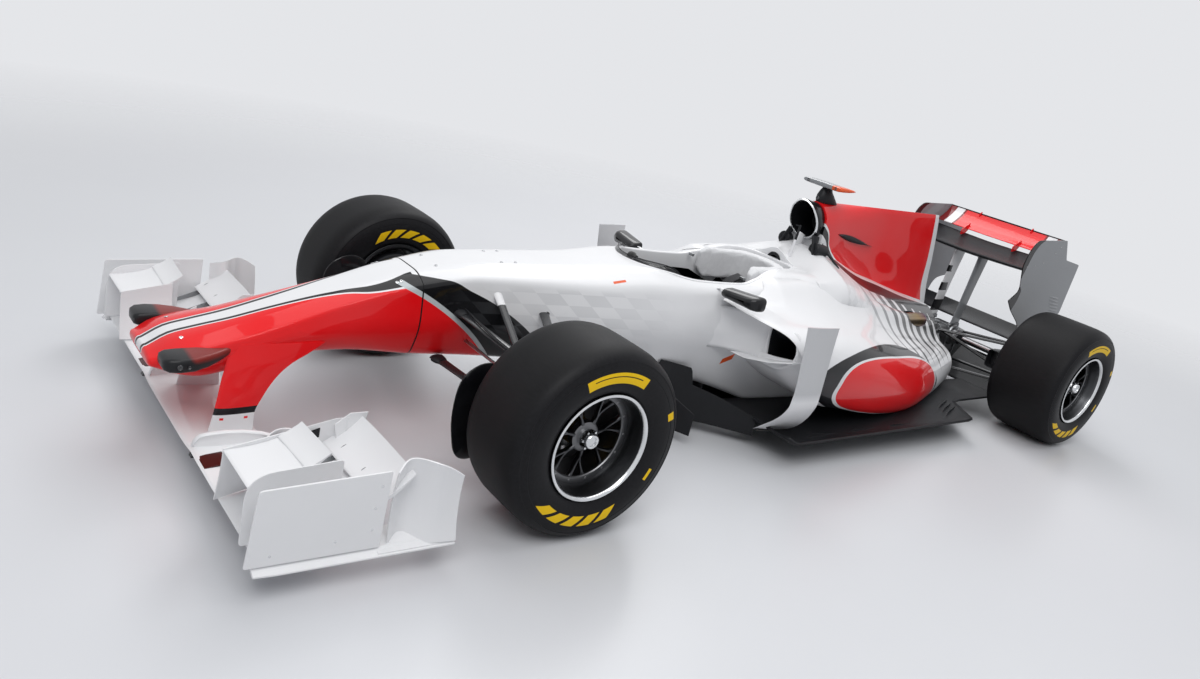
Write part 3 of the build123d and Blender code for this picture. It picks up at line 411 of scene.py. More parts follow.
@finish
def pylon_paint(shader):
    """Red above a black band and a white foot with small red marks."""
    c = colours()
    z, s = shader.z, shader.s
    paint = shader.layers(c.white, (z.step(0.178), c.black), (z.step(0.2), c.red))
    mark = s.between(-0.925, -0.913).at_least(s.between(-0.85, -0.838)) * z.between(0.16, 0.168)
    return shader.lacquer(shader.mix(mark, paint, c.red))


@finish
def flap_paint(shader):
    """Red rear flap with bands of white and dark red towards each end."""
    c, side = colours(), shader.side
    paint = shader.layers(c.red, (side.step(0.262), (0.2, 0.004, 0.006)), (side.between(0.275, 0.33),
        c.white))
    return shader.lacquer(paint)


@finish
def plate_paint(shader):
    """Grey end plate with a black leading edge."""
    c = colours()
    s, z = shader.s - WHEELBASE, shader.z
    lead = shader.along(z, [(0.5, -0.09), (0.7, 0.0), (0.76, -0.05), (0.84, -0.035), (0.95, 0.0),
        (1.0, 0.06), (1.02, 0.34)])
    return shader.lacquer(shader.mix((s - lead).step(0.01), c.black, c.grey))


@finish
def carbon(shader, gloss="satin"):
    """Woven carbon: the tows catch the light in turn, under a thin or a thick lacquer."""
    height, top = shader.weave(sizes().weave)
    tint = shader.mix(top, colours().carbon, tuple(2.1 * part for part in colours().carbon))
    stain = shader.noise(14, detail=5)
    tint = shader.mix(stain.step(0.62, 0.2) * 0.2, tint, (0.03, 0.029, 0.028))
    rough = top * 0.12 + stain * 0.15 + 0.28
    return shader.surface(tint, rough, normal=shader.bump(height, distance=0.0003, strength=0.35),
        coat=0.8 if gloss == "gloss" else 0.25, Coat_Roughness=0.06, Specular_IOR_Level=0.25)


@finish
def rubber(shader, axle):
    """Slick tyre: a worn tread, ribbed walls and plain yellow bands round both walls."""
    c = colours()
    y, z = shader.s - axle, shader.z - AXLE_Z
    radius = (y * y + z * z).math("SQRT")
    angle = z.math("ARCTAN2", y) * (180 / pi)
    outer, inner = shader.side.step(HALF_WIDTH - 0.03), 1 - shader.side.step(0.6)
    slant = angle + (radius - 0.255) * 260
    block = angle.between(62, 118, 0.15) * radius.between(0.226, 0.262)
    cut = angle.between(68, 112, 0.15) * radius.between(0.247, 0.2505)
    dash = ((slant + 140) * (1 / 15)).math("FRACT").between(0.1, 0.82, 0.01)
    dashes = slant.between(-140, -65, 0.2) * radius.between(0.233, 0.268) * dash
    inside = slant.between(40, 115, 0.2) * radius.between(0.214, 0.25) * dash * inner
    tick = angle.between(-32, -22, 0.15) * radius.between(0.24, 0.252)
    small = angle.between(17, 23, 0.15) * radius.between(0.262, 0.287)
    band = (block * (1 - cut)).at_least(dashes).at_least(tick).at_least(small) * outer
    band = band.at_least(inside)
    tread = radius.step(TYRE_RADIUS - 0.012, 0.004)
    grain = shader.noise(900, detail=2)
    scuff = shader.noise(26, detail=6, rough=0.65, stretch=(1, 4, 4))
    rubber_tone = shader.layers(c.rubber, (scuff.step(0.55, 0.25), tuple(1.9 * v for v in c.rubber)),
        (tread * 0.3, (0.012, 0.0118, 0.0116)))
    ribs = (radius * 900).math("SINE").step(0.6, 0.4) * radius.between(0.272, 0.3, 0.002)
    height = grain * 0.3 + ribs * 0.5 + band * 0.4
    rough = 0.36 + scuff * 0.16 + tread * 0.12 - band * 0.06
    return shader.surface(shader.mix(band, rubber_tone, c.yellow), rough, normal=shader.bump(height,
        distance=0.0006, strength=0.5), Specular_IOR_Level=0.13)


@finish
def metal(shader, kind="steel"):
    """Bare metals: turned or brushed steel, bright and dark alloys, titanium, blued pipe."""
    tones = {"steel": ((0.42, 0.42, 0.43), 0.3), "bright": ((0.72, 0.73, 0.74), 0.18),
        "alloy": ((0.3, 0.31, 0.32), 0.42), "dark": ((0.085, 0.087, 0.092), 0.32),
        "alloy_dark": ((0.17, 0.172, 0.178), 0.34), "cast": ((0.16, 0.16, 0.165), 0.55),
        "gold": ((0.62, 0.42, 0.14), 0.3), "titanium": ((0.36, 0.31, 0.27), 0.3),
        "disc": ((0.06, 0.06, 0.062), 0.5)}
    tone, rough = tones[kind]
    brush = shader.noise(60, detail=3, stretch=(1, 22, 1))
    cloud = shader.noise(11, detail=4)
    paint = shader.mix(cloud, tuple(0.8 * v for v in tone), tuple(min(1, 1.15 * v) for v in tone))
    if kind == "titanium":
        heat = (shader.s * 3.1 + cloud * 0.5).math("FRACT")
        paint = shader.node("ShaderNodeValToRGB", {"Fac": heat},
            stops=[(0, tone), (0.4, (0.42, 0.3, 0.16)), (0.62, (0.25, 0.14, 0.2)),
            (0.8, (0.1, 0.14, 0.27)), (1, tone)])
    return shader.surface(paint, brush * 0.14 + rough - 0.07, metallic=1.0, normal=shader.bump(brush,
        distance=0.0002, strength=0.25))


@finish
def cloth(shader, tone="pad"):
    """Woven covers and belts: crossed threads, slightly uneven in colour."""
    tones = {"pad": (0.76, 0.765, 0.78), "belt": (0.03, 0.03, 0.034), "suede": (0.018,) * 3}
    wave_u = ((shader.side + shader.z) * 2600).math("SINE")
    wave_v = ((shader.y + shader.z * 0.4) * 2600).math("SINE")
    nap = shader.noise(60, detail=5)
    base = tones[tone]
    return shader.surface(shader.mix(nap, tuple(0.9 * v for v in base), tuple(1.1 * v for v in base)),
        nap * 0.2 + 0.7, normal=shader.bump(wave_u * wave_v + nap, distance=0.0004, strength=0.5),
        Sheen_Weight=0.3)


@finish
def smoked(shader):
    """Dark see-through plastic of the screen."""
    haze = shader.noise(30, detail=4)
    return shader.surface((0.012, 0.0125, 0.015), haze * 0.06 + 0.06, coat=0.4, Alpha=0.42,
        Coat_Roughness=0.02)


@finish
def mirror_glass(shader):
    haze = shader.noise(20, detail=3)
    return shader.surface((0.62, 0.68, 0.74), haze * 0.04 + 0.02, metallic=1.0)


@finish
def lens(shader, tone="dark"):
    """Small glossy windows: camera lenses, the rain light and the wheel's display."""
    tones = {"dark": (0.005, 0.005, 0.008), "red": (0.35, 0.004, 0.006), "screen": (0.02, 0.05, 0.06)}
    grid = (shader.x * 380).math("SINE") * (shader.z * 380).math("SINE")
    return shader.surface(shader.mix(grid.step(0.2, 0.3) * 0.4, tones[tone],
        tuple(2.4 * v for v in tones[tone])), 0.12, normal=shader.bump(grid, distance=0.0006,
        strength=0.3), coat=1.0)


@finish
def core(shader):
    """Radiator: fine dark fins between bright tubes."""
    fins = (shader.z * 1400).math("SINE")
    tubes = (shader.x * 420).math("SINE").step(0.6, 0.3)
    return shader.surface(shader.mix(tubes, (0.02, 0.02, 0.022), (0.16, 0.16, 0.17)), 0.5, metallic=0.7,
        normal=shader.bump(fins + tubes, distance=0.002, strength=0.8))


@finish
def wood(shader):
    """Skid plank: laminated board with fine scored lines along the car."""
    grain = shader.noise(18, detail=6, stretch=(9, 0.6, 9))
    scores = shader.noise(160, detail=2, stretch=(4, 0.05, 1))
    return shader.surface(shader.mix(grain, (0.1, 0.055, 0.028), (0.19, 0.115, 0.06)), grain * 0.2
        + 0.55, normal=shader.bump(scores + grain, distance=0.0008, strength=0.5))


@finish
def red_brown(shader):
    return shader.lacquer((0.05, 0.008, 0.006))


@finish
def camera_shell(shader):
    """Dark satin in front; behind, dark red above as a painted reflection of the red nose, and grey
    below.
    """
    # painted reflection: above this height the rear of the pod is tinted dark red, where the nose's red
    # side would show in it
    red = shader.z.step(0.371, 0.006)
    tail = shader.mix(red, (0.022, 0.021, 0.022), (0.2, 0.022, 0.018))
    grain = shader.noise(500, detail=3)
    return shader.surface(shader.mix((shader.s + shader.z * 0.8).step(-0.725, 0.008),
        (0.012, 0.0125, 0.014), tail), 0.34, normal=shader.bump(grain, distance=0.0003, strength=0.3),
        Specular_IOR_Level=0.25)


@finish
def black_satin(shader):
    """Moulded covers: dark grey with a fine leather-like grain."""
    grain = shader.noise(500, detail=3)
    cloud = shader.noise(12, detail=4)
    return shader.surface(shader.mix(cloud, (0.009, 0.0095, 0.011), (0.016, 0.0165, 0.019)),
        cloud * 0.12 + 0.36, normal=shader.bump(grain, distance=0.0004, strength=0.3),
        Specular_IOR_Level=0.2)


# ---------------- mesh making
def smooth_rows(rows, stations):
    """Rows of numbers read between the given ones along their first column, without overshoot."""
    rows = np.array(rows, float)
    along, values = rows[:, 0], rows[:, 1:]
    step = np.diff(along)[:, None]
    slope = np.diff(values, axis=0) / step
    lean = np.zeros_like(values)
    lean[0], lean[-1] = slope[0], slope[-1]
    same = slope[1:] * slope[:-1] > 0
    safe = np.where(same, slope[1:], 1), np.where(same, slope[:-1], 1)
    weight = 2 * step[1:] + step[:-1], step[1:] + 2 * step[:-1]
    mean = (weight[0] + weight[1]) / (weight[0] / safe[1] + weight[1] / safe[0])
    lean[1:-1] = np.where(same, mean, 0)
    read = []
    for station in stations:
        i = int(np.clip(np.searchsorted(along, station) - 1, 0, len(along) - 2))
        span = along[i + 1] - along[i]
        t = (station - along[i]) / span
        read.append(values[i] * (1 + 2 * t) * (1 - t) ** 2 + values[i + 1] * t * t * (3 - 2 * t)
            + span * (lean[i] * t * (1 - t) ** 2 - lean[i + 1] * t * t * (1 - t)))
    return read


def read(rows, stations):
    """Each station with its row."""
    return zip(stations, smooth_rows(rows, stations))


def rounded(corners, reaches, steps=5, straight=3, bulge=0.0):
    """An outline through corners, each rounded over its reach, with slightly bowed sides."""
    corners = [np.array(corner, float) for corner in corners]
    count = len(corners)
    points = []
    for i, corner in enumerate(corners):
        before, after = corners[i - 1], corners[(i + 1) % count]
        back, ahead = before - corner, after - corner
        lengths = np.linalg.norm(back) or 1, np.linalg.norm(ahead) or 1
        reach = [min(reaches[i], 0.48 * length) for length in lengths]
        start, end = corner + back / lengths[0] * reach[0], corner + ahead / lengths[1] * reach[1]
        turn = []
        for k in range(steps + 1):
            t = k / steps
            turn.append(start * (1 - t) ** 2 + corner * 2 * t * (1 - t) + end * t * t)
        points.append(turn)
    outline = []
    for i, turn in enumerate(points):
        outline += turn
        start, end = turn[-1], points[(i + 1) % count][0]
        side = end - start
        normal = np.array([side[1], -side[0]])
        for k in range(1, straight + 1):
            t = k / (straight + 1)
            outline.append(start + side * t + normal * bulge * 4 * t * (1 - t))
    return [tuple(point) for point in outline]


def rings_along(ring, rows, start, end, step):
    """A ring at each even step between two stations, from the rows of a table."""
    count = max(2, round((end - start) / step))
    stations = even(start, end - start, count)
    return [ring(station, row) for station, row in read(rows, stations)]


def oblong(left, right, low, high, reach, steps=5, straight=3):
    """A rounded rectangle."""
    corners = [(left, low), (right, low), (right, high), (left, high)]
    return rounded(corners, [reach] * 4, steps=steps, straight=straight)


def bend(points, count):
    """A smooth curve through the points, evenly spaced along it."""
    points = [Vector(point) for point in points]
    if len(points) == 2:
        return [points[0].lerp(points[1], k / (count - 1)) for k in range(count)]
    padded = [2 * points[0] - points[1], *points, 2 * points[-1] - points[-2]]
    fine = []
    for i in range(1, len(padded) - 2):
        a, b, c, d = padded[i - 1:i + 3]
        for k in range(16):
            t = k / 16
            fine.append(0.5 * (2 * b + (c - a) * t + (2 * a - 5 * b + 4 * c - d) * t * t
                + (3 * b - a - 3 * c + d) * t ** 3))
    fine.append(points[-1])
    reach = [0]
    for a, b in zip(fine, fine[1:]):
        reach.append(reach[-1] + (b - a).length)
    spaced = []
    for k in range(count):
        goal = reach[-1] * k / (count - 1)
        i = min(int(np.searchsorted(reach, goal)), len(fine) - 1)
        i = max(i, 1)
        share = (goal - reach[i - 1]) / ((reach[i] - reach[i - 1]) or 1)
        spaced.append(fine[i - 1].lerp(fine[i], min(max(share, 0), 1)))
    return spaced


def aerofoil(chord, thick, camber=0.0, points=14):
    """Wing section from the leading edge round by its upper side: (along the chord, up)."""
    upper, lower = [], []
    for k in range(points + 1):
        t = (1 - cos(pi * k / points)) / 2
        half = 5 * thick * (0.2969 * sqrt(t) - 0.126 * t - 0.3516 * t ** 2 + 0.2843 * t ** 3
            - 0.1015 * t ** 4)
        arch = camber * 4 * t * (1 - t)
        upper.append((t * chord, (arch + half) * chord + 0.0006))
        lower.append((t * chord, (arch - half) * chord - 0.0006))
    return upper + lower[:0:-1]


def heading(path, k):
    """Which way a path runs at one of its points."""
    return (path[min(k + 1, len(path) - 1)] - path[max(k - 1, 0)]).normalized()


class Shape:
    """Gathers the vertices and faces of one piece; each face keeps its material's number."""

    def __init__(self):
        self.verts, self.faces, self.slots = [], [], []

    def add(self, points, faces, slot=0):
        base = len(self.verts)
        self.verts += [tuple(point) for point in points]
        self.faces += [[base + i for i in face] for face in faces]
        self.slots += list(slot) if isinstance(slot, list) else [slot] * len(faces)
        return self

    def loft(self, rings, slot=0, closed=True, ends=(True, True), loop=False):
        """Skin through rings of equally many points; slot may be a function of its place."""
        count, faces, slots = len(rings[0]), [], []
        reach = len(rings) if loop else len(rings) - 1
        for r in range(reach):
            after = (r + 1) % len(rings)
            for i in range(count if closed else count - 1):
                j = (i + 1) % count
                faces.append((r * count + i, r * count + j, after * count + j, after * count + i))
                slots.append(slot(r, i) if callable(slot) else slot)
        last = (len(rings) - 1) * count
        for wanted, face in zip(ends, (range(count - 1, -1, -1), range(last, last + count))):
            if wanted and closed and not loop:
                faces.append(tuple(face))
                slots.append(slot(0, 0) if callable(slot) else slot)
        return self.add([point for ring in rings for point in ring], faces, slots)

    def skin(self, rings):
        """An open sheet over open rows of points."""
        return self.loft(rings, closed=False, ends=(False, False))

    def box(self, low, high):
        corners = [(x, y, z) for x in (low[0], high[0]) for y in (low[1], high[1])
            for z in (low[2], high[2])]
        faces = [(0, 1, 3, 2), (4, 6, 7, 5), (0, 4, 5, 1), (2, 3, 7, 6), (0, 2, 6, 4), (1, 5, 7, 3)]
        return self.add(corners, faces)

    def prism(self, outline, place, low, high):
        """An outline pushed through: place turns (u, v, depth) into a point."""
        rings = [[place(u, v, depth) for u, v in outline] for depth in (low, high)]
        return self.loft(rings)

    def slab(self, outline, low, high, place=at):
        """An outline of stations and heights, pushed across the car."""
        return self.loft([[place(x, s, z) for s, z in outline] for x in (low, high)])

    def turn(self, profile, centre, axis=(1, 0, 0), around=48, slot=0):
        """Spins a closed profile of (along the axis, radius) points about the axis."""
        axis = Vector(axis).normalized()
        out = axis.orthogonal().normalized()
        if abs(axis.x) > 0.9:
            out = Vector((0, 0, 1))
        cross = axis.cross(out)
        rings = []
        for angle in even(0, tau, around)[:-1]:
            way = out * cos(angle) + cross * sin(angle)
            rings.append([Vector(centre) + axis * a + way * r for a, r in profile])
        return self.loft(rings, (lambda r, i: slot(i)) if callable(slot) else slot, loop=True)

    def rod(self, low, high, radius, centre, axis, around):
        """A cylinder from low to high along the axis."""
        return self.turn([(low, 0.0), (low, radius), (high, radius), (high, 0.0)], centre, axis, around)

    def disc(self, centre, axis, radius, depth, around=24, dish=0.0):
        """A round boss whose face stands depth proud of the centre, slightly dished."""
        profile = [(0, 0.0), (0, radius), (depth * 0.8, radius), (depth, radius * 0.93),
            (depth - dish, radius * 0.6), (depth - dish, 0.0)]
        return self.turn(profile, centre, axis, around)

    def tube(self, path, radius, around=12, slot=0, wide=(0, 1, 0), flat=1.0):
        """Sweeps an ellipse along a path; its long side lies as near to wide as it can."""
        path = [Vector(point) for point in path]
        radii = list(radius) if hasattr(radius, "__len__") else [radius] * len(path)
        rings = []
        for k, point in enumerate(path):
            along = heading(path, k)
            major = Vector(wide) - along * along.dot(Vector(wide))
            if major.length < 0.15:
                major = along.orthogonal()
            major.normalize()
            minor = along.cross(major)
            rings.append([point + major * radii[k] * cos(a) + minor * radii[k] * flat * sin(a)
                for a in (2 * pi * i / around for i in range(around))])
        return self.loft(rings, slot)

    def bolt(self, centre, axis, size=0.006, slot=0, proud=0.002):
        """A countersunk socket screw: a low dome with a six-sided hole."""
        axis = Vector(axis).normalized()
        out = axis.orthogonal().normalized()
        cross = axis.cross(out)
        rings = []
        levels = ((0, 1), (0.6, 0.96), (1, 0.8), (1, 0.52), (0.2, 0.5), (0.2, 0.01))
        for lift, share in levels:
            rings.append([Vector(centre) + axis * proud * lift
                + (out * cos(a) + cross * sin(a)) * size * share for a in (tau * i / 12
                for i in range(12))])
        return self.loft(rings, slot, ends=(False, True))

    def mirrored(self):
        """Adds the same again on the car's right."""
        count = len(self.verts)
        self.verts += [(-x, y, z) for x, y, z in self.verts]
        self.faces += [[count + i for i in reversed(face)] for face in self.faces[:]]
        self.slots += self.slots[:]
        return self

    def mesh(self, name, angle=38):
        mesh = bpy.data.meshes.new(name)
        mesh.from_pydata(self.verts, [], self.faces)
        mesh.polygons.foreach_set("material_index", self.slots)
        work = bmesh.new()
        work.from_mesh(mesh)
        bmesh.ops.remove_doubles(work, verts=work.verts, dist=2e-5)
        bmesh.ops.dissolve_degenerate(work, edges=work.edges, dist=1e-6)
        bmesh.ops.recalc_face_normals(work, faces=work.faces)
        work.to_mesh(mesh)
        work.free()
        mesh.shade_smooth()
        mesh.set_sharp_from_angle(angle=radians(angle))
        return mesh

    def done(self, name, materials, body="chassis", replaces=(), slot=None, bevel=0.0, segments=2,
            thick=0.0, cutters=(), angle=38, ride=True):
        """Makes the piece, with its rounded edges, wall and openings, and lets it ride."""
        piece = bpy.data.objects.new(name, self.mesh(name, angle))
        bpy.context.scene.collection.objects.link(piece)
        for material in materials:
            piece.data.materials.append(material)
        if thick:
            wall = piece.modifiers.new("wall", "SOLIDIFY")
            wall.thickness, wall.offset, wall.use_even_offset = thick, -1, True
            wall.material_offset = 1 if len(materials) > 1 else 0
        tools = [cutter(shape) for shape in cutters]
        for tool in tools:
            cut = piece.modifiers.new("opening", "BOOLEAN")
            cut.object, cut.operation, cut.solver = tool, "DIFFERENCE", "EXACT"
        if bevel:
            edge = piece.modifiers.new("edges", "BEVEL")
            edge.width, edge.segments, edge.limit_method = bevel, segments, "ANGLE"
            edge.angle_limit, edge.harden_normals = radians(32), True
            edge.use_clamp_overlap = True
        apply_modifiers(piece, angle)
        for tool in tools:
            bpy.data.objects.remove(tool)
        if ride:
            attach(piece, body)
        if replaces:
            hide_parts(*replaces)
        return piece


def apply_modifiers(piece, angle=38):
    """Replaces the piece's mesh by what its modifiers make of it."""
    if not piece.modifiers:
        return
    bpy.context.view_layer.update()
    made = piece.evaluated_get(bpy.context.evaluated_depsgraph_get())
    mesh = bpy.data.meshes.new_from_object(made)
    cut = any(modifier.type == "BOOLEAN" for modifier in piece.modifiers)
    piece.modifiers.clear()
    piece.data = mesh
    if cut:
        mesh.shade_smooth()
        mesh.set_sharp_from_angle(angle=radians(angle))


def drawn_in(ring, steps):
    """Rings round the same middle as one, each smaller by a share and moved rearwards."""
    middle = sum((Vector(point) for point in ring), Vector()) / len(ring)
    return [[Vector(point).lerp(middle, share) + Vector((0, back, 0)) for point in ring]
        for share, back in steps]


def cutter(shape):
    """A shape that only cuts, as an object."""
    tool = bpy.data.objects.new("cutter", shape.mesh("cutter"))
    bpy.context.scene.collection.objects.link(tool)
    return tool


# ---------------- nose and tub
# station, crown half, crown z, crease half, crease z, waist half, waist z, keel half, keel z,
# then how softly the crease and the waist turn
BODY_ROWS = [(-1.112, 0.07, 0.352, 0.14, 0.342, 0.146, 0.322, 0.12, 0.312, 0.012, 0.02),
    (-1.05, 0.078, 0.39, 0.152, 0.37, 0.16, 0.334, 0.126, 0.288, 0.012, 0.03),
    (-0.98, 0.08, 0.41, 0.156, 0.386, 0.166, 0.342, 0.128, 0.275, 0.012, 0.034),
    (-0.88, 0.074, 0.436, 0.146, 0.408, 0.16, 0.355, 0.122, 0.29, 0.012, 0.04),
    (-0.76, 0.07, 0.474, 0.14, 0.444, 0.156, 0.386, 0.116, 0.335, 0.012, 0.045),
    (-0.52, 0.066, 0.55, 0.124, 0.52, 0.15, 0.42, 0.112, 0.342, 0.012, 0.05),
    (-0.28, 0.078, 0.622, 0.141, 0.592, 0.162, 0.44, 0.116, 0.322, 0.014, 0.05),
    (-0.06, 0.09, 0.656, 0.164, 0.63, 0.182, 0.45, 0.118, 0.31, 0.018, 0.055),
    (0.42, 0.11, 0.67, 0.205, 0.626, 0.24, 0.455, 0.14, 0.272, 0.03, 0.07),
    (0.72, 0.16, 0.685, 0.242, 0.64, 0.275, 0.463, 0.168, 0.246, 0.034, 0.08),
    (0.92, 0.2, 0.668, 0.264, 0.638, 0.302, 0.47, 0.192, 0.222, 0.028, 0.09),
    (1.08, 0.208, 0.657, 0.27, 0.636, 0.315, 0.473, 0.208, 0.19, 0.026, 0.09),
    (1.2, 0.208, 0.655, 0.276, 0.638, 0.326, 0.476, 0.225, 0.16, 0.026, 0.09),
    (1.3, 0.206, 0.674, 0.28, 0.654, 0.336, 0.478, 0.244, 0.13, 0.03, 0.085),
    (1.39, 0.206, 0.703, 0.284, 0.676, 0.343, 0.48, 0.26, 0.106, 0.04, 0.08),
    (1.47, 0.212, 0.714, 0.29, 0.688, 0.348, 0.48, 0.268, 0.104, 0.045, 0.08),
    (1.8, 0.2, 0.712, 0.3, 0.69, 0.352, 0.48, 0.29, 0.104, 0.045, 0.08)]
NOSE_JOINT = -0.28
TUB_REAR = 1.8


def body_ring(s, row, inward=0.0):
    crown, crown_z, crease, crease_z, waist, waist_z, keel, keel_z, soft, belly = row
    crown_z, crease_z, keel_z = crown_z - inward, crease_z - inward, keel_z + inward
    half = [(crown - inward, crown_z), (crease - inward, crease_z), (waist - inward, waist_z),
        (keel - inward, keel_z)]
    corners = [(-x, z) for x, z in half[::-1]] + half
    reaches = [0.04, belly, soft, 0.03, 0.03, soft, belly, 0.04]
    outline = rounded(corners, reaches, steps=5, straight=4, bulge=-0.0035)
    dish = 0.011 * exp(-((s - 1.47) / 0.075) ** 2)
    return [at(x, s, z - dish * exp(-((abs(x) - 0.262) / 0.026) ** 2) * (z > 0.6)) for x, z in outline]


def body_rings(start, end, step=0.02, inward=0.0):
    return rings_along(lambda s, row: body_ring(s, row, inward), BODY_ROWS, start, end, step)


class CAR_OT_nose(bpy.types.Operator):
    """Makes the nose cone with its rounded tip and fasteners"""
    bl_idname = "car.nose"
    bl_label = "Nose cone"

    def execute(self, context):
        shape = Shape()
        rings = body_rings(-1.112, NOSE_JOINT - 0.0012)
        tip = [Vector(point) for point in rings[0]]
        middle = sum(tip, Vector()) / len(tip)
        caps = []
        for k in range(6, 0, -1):
            angle = radians(15 * k)
            shrink, lead = 1 - 0.2 * (1 - cos(angle)), 0.012 * sin(angle)
            caps.append([(middle.x + (p.x - middle.x) * shrink, p.y - lead,
                middle.z + (p.z - middle.z) * (1 - 0.75 * (1 - cos(angle)))) for p in tip])
        plan = [1 - 0.1 * max(0, 1 - k / 4) ** 2 for k in range(len(rings))]
        for k in range(5):
            rings[k] = [(x * plan[k], y, z) for x, y, z in rings[k]]
        caps = [[(x * plan[0], y, z) for x, y, z in ring] for ring in caps]
        shape.loft(caps + rings)
        shape.done("nose_shell", [body_paint()], replaces=["nose_cone"], slot="red_paint")
        dots = Shape()
        for side in SIDES.values():
            for x, s in ((0.086, -1.028), (0.1, -0.36), (0.1, -0.345)):
                dots.bolt(at(side * x, s, deck_height(x, s) - 0.0008), (side * 0.3, -0.2, 1), 0.0065,
                    proud=0.002)
        dots.done("nose_fasteners", [metal("bright")], slot="steel")
        return {"FINISHED"}


def cockpit_outline():
    """The cockpit opening from above, as (x, station) points."""
    corners = [(-0.1, 0.705), (0.1, 0.705), (0.206, 0.86), (0.21, 1.24), (0.172, 1.4), (0.166, 1.612),
        (-0.166, 1.612), (-0.172, 1.4), (-0.21, 1.24), (-0.206, 0.86)]
    reaches = [0.08, 0.08, 0.1, 0.08, 0.07, 0.11, 0.11, 0.07, 0.08, 0.1]
    return rounded(corners, reaches, steps=8, straight=6)


def deck_height(x, s):
    """Height of the tub's upper surface."""
    crown, crown_z, crease, crease_z = smooth_rows(BODY_ROWS, [s])[0][:4]
    share = (abs(x) - crown) / (crease - crown)
    return crown_z + (crease_z - crown_z) * min(max(share, 0), 1)


class CAR_OT_tub(bpy.types.Operator):
    """Makes the hollow tub with its cockpit opening, rim, dash bulkhead and floor"""
    bl_idname = "car.tub"
    bl_label = "Tub"

    def execute(self, context):
        shape = Shape().loft(body_rings(NOSE_JOINT + 0.0012, TUB_REAR - 0.001))
        hole = Shape().loft([[at(x, s, z) for x, s in cockpit_outline()] for z in (0.575, 0.9)])
        shape.done("tub_shell", [body_paint(), carbon()], replaces=["monocoque"], slot="white_paint",
            thick=0.014, cutters=[hole], angle=34)
        self.inside()
        self.details()
        return {"FINISHED"}

    @staticmethod
    def inside():
        dash, rings = Shape(), []
        for s in (0.64, 0.655):
            row = smooth_rows(BODY_ROWS, [s])[0]
            rings.append(body_ring(s, row, 0.0145))
        dash.loft(rings)
        hole = Shape()
        legs = oblong(-0.11, 0.11, 0.34, 0.53, 0.05)
        hole.prism(legs, ahead, 0.6, 0.7)
        dash.done("dash_bulkhead", [carbon()], cutters=[hole], bevel=0.002)
        tray = Shape().loft([[at(-half, s, z), at(half, s, z), at(half, s, z + 0.006),
            at(-half, s, z + 0.006)] for s, half, z in ((-0.2, 0.07, 0.355), (0.3, 0.1, 0.33),
            (0.7, 0.12, 0.3), (0.9, 0.15, 0.262))])
        for x in (-0.06, 0.06):
            tray.box(at(x - 0.035, -0.13, 0.365), at(x + 0.035, -0.115, 0.47))
            tray.tube([at(x, -0.11, 0.36), at(x, -0.122, 0.42)], 0.008)
        tray.done("foot_tray_and_pedals", [carbon()], bevel=0.0015)

    @staticmethod
    def details():
        """Fasteners along the top of the tub."""
        bolts = Shape()
        for side in (1, -1):
            for s in (-0.2, 0.06, 0.12):
                crown = smooth_rows(BODY_ROWS, [s])[0]
                bolts.bolt(at(side * crown[0] * 0.7, s, crown[1] + 0.001), (0, 0, 1), 0.006)
        bolts.done("tub_fasteners", [metal("bright")])


# ---------------- cockpit
WHEEL_AT = Vector(at(0, 0.83, 0.6018))
WHEEL_LEAN = radians(8)
WHEEL_BACK = Vector((0, cos(WHEEL_LEAN), sin(WHEEL_LEAN)))
WHEEL_UP = Vector((0, -sin(WHEEL_LEAN), cos(WHEEL_LEAN)))


def on_wheel(u, v, depth):
    """A point on the steering wheel: to the left, up its face, and towards the driver."""
    return WHEEL_AT + Vector((u, 0, 0)) + WHEEL_UP * v + WHEEL_BACK * depth


def tub_crown(x):
    """Height of the tub's top behind the cockpit."""
    return float(np.interp(abs(x), (0, 0.205, 0.295, 0.352), (0.713, 0.712, 0.688, 0.6)))


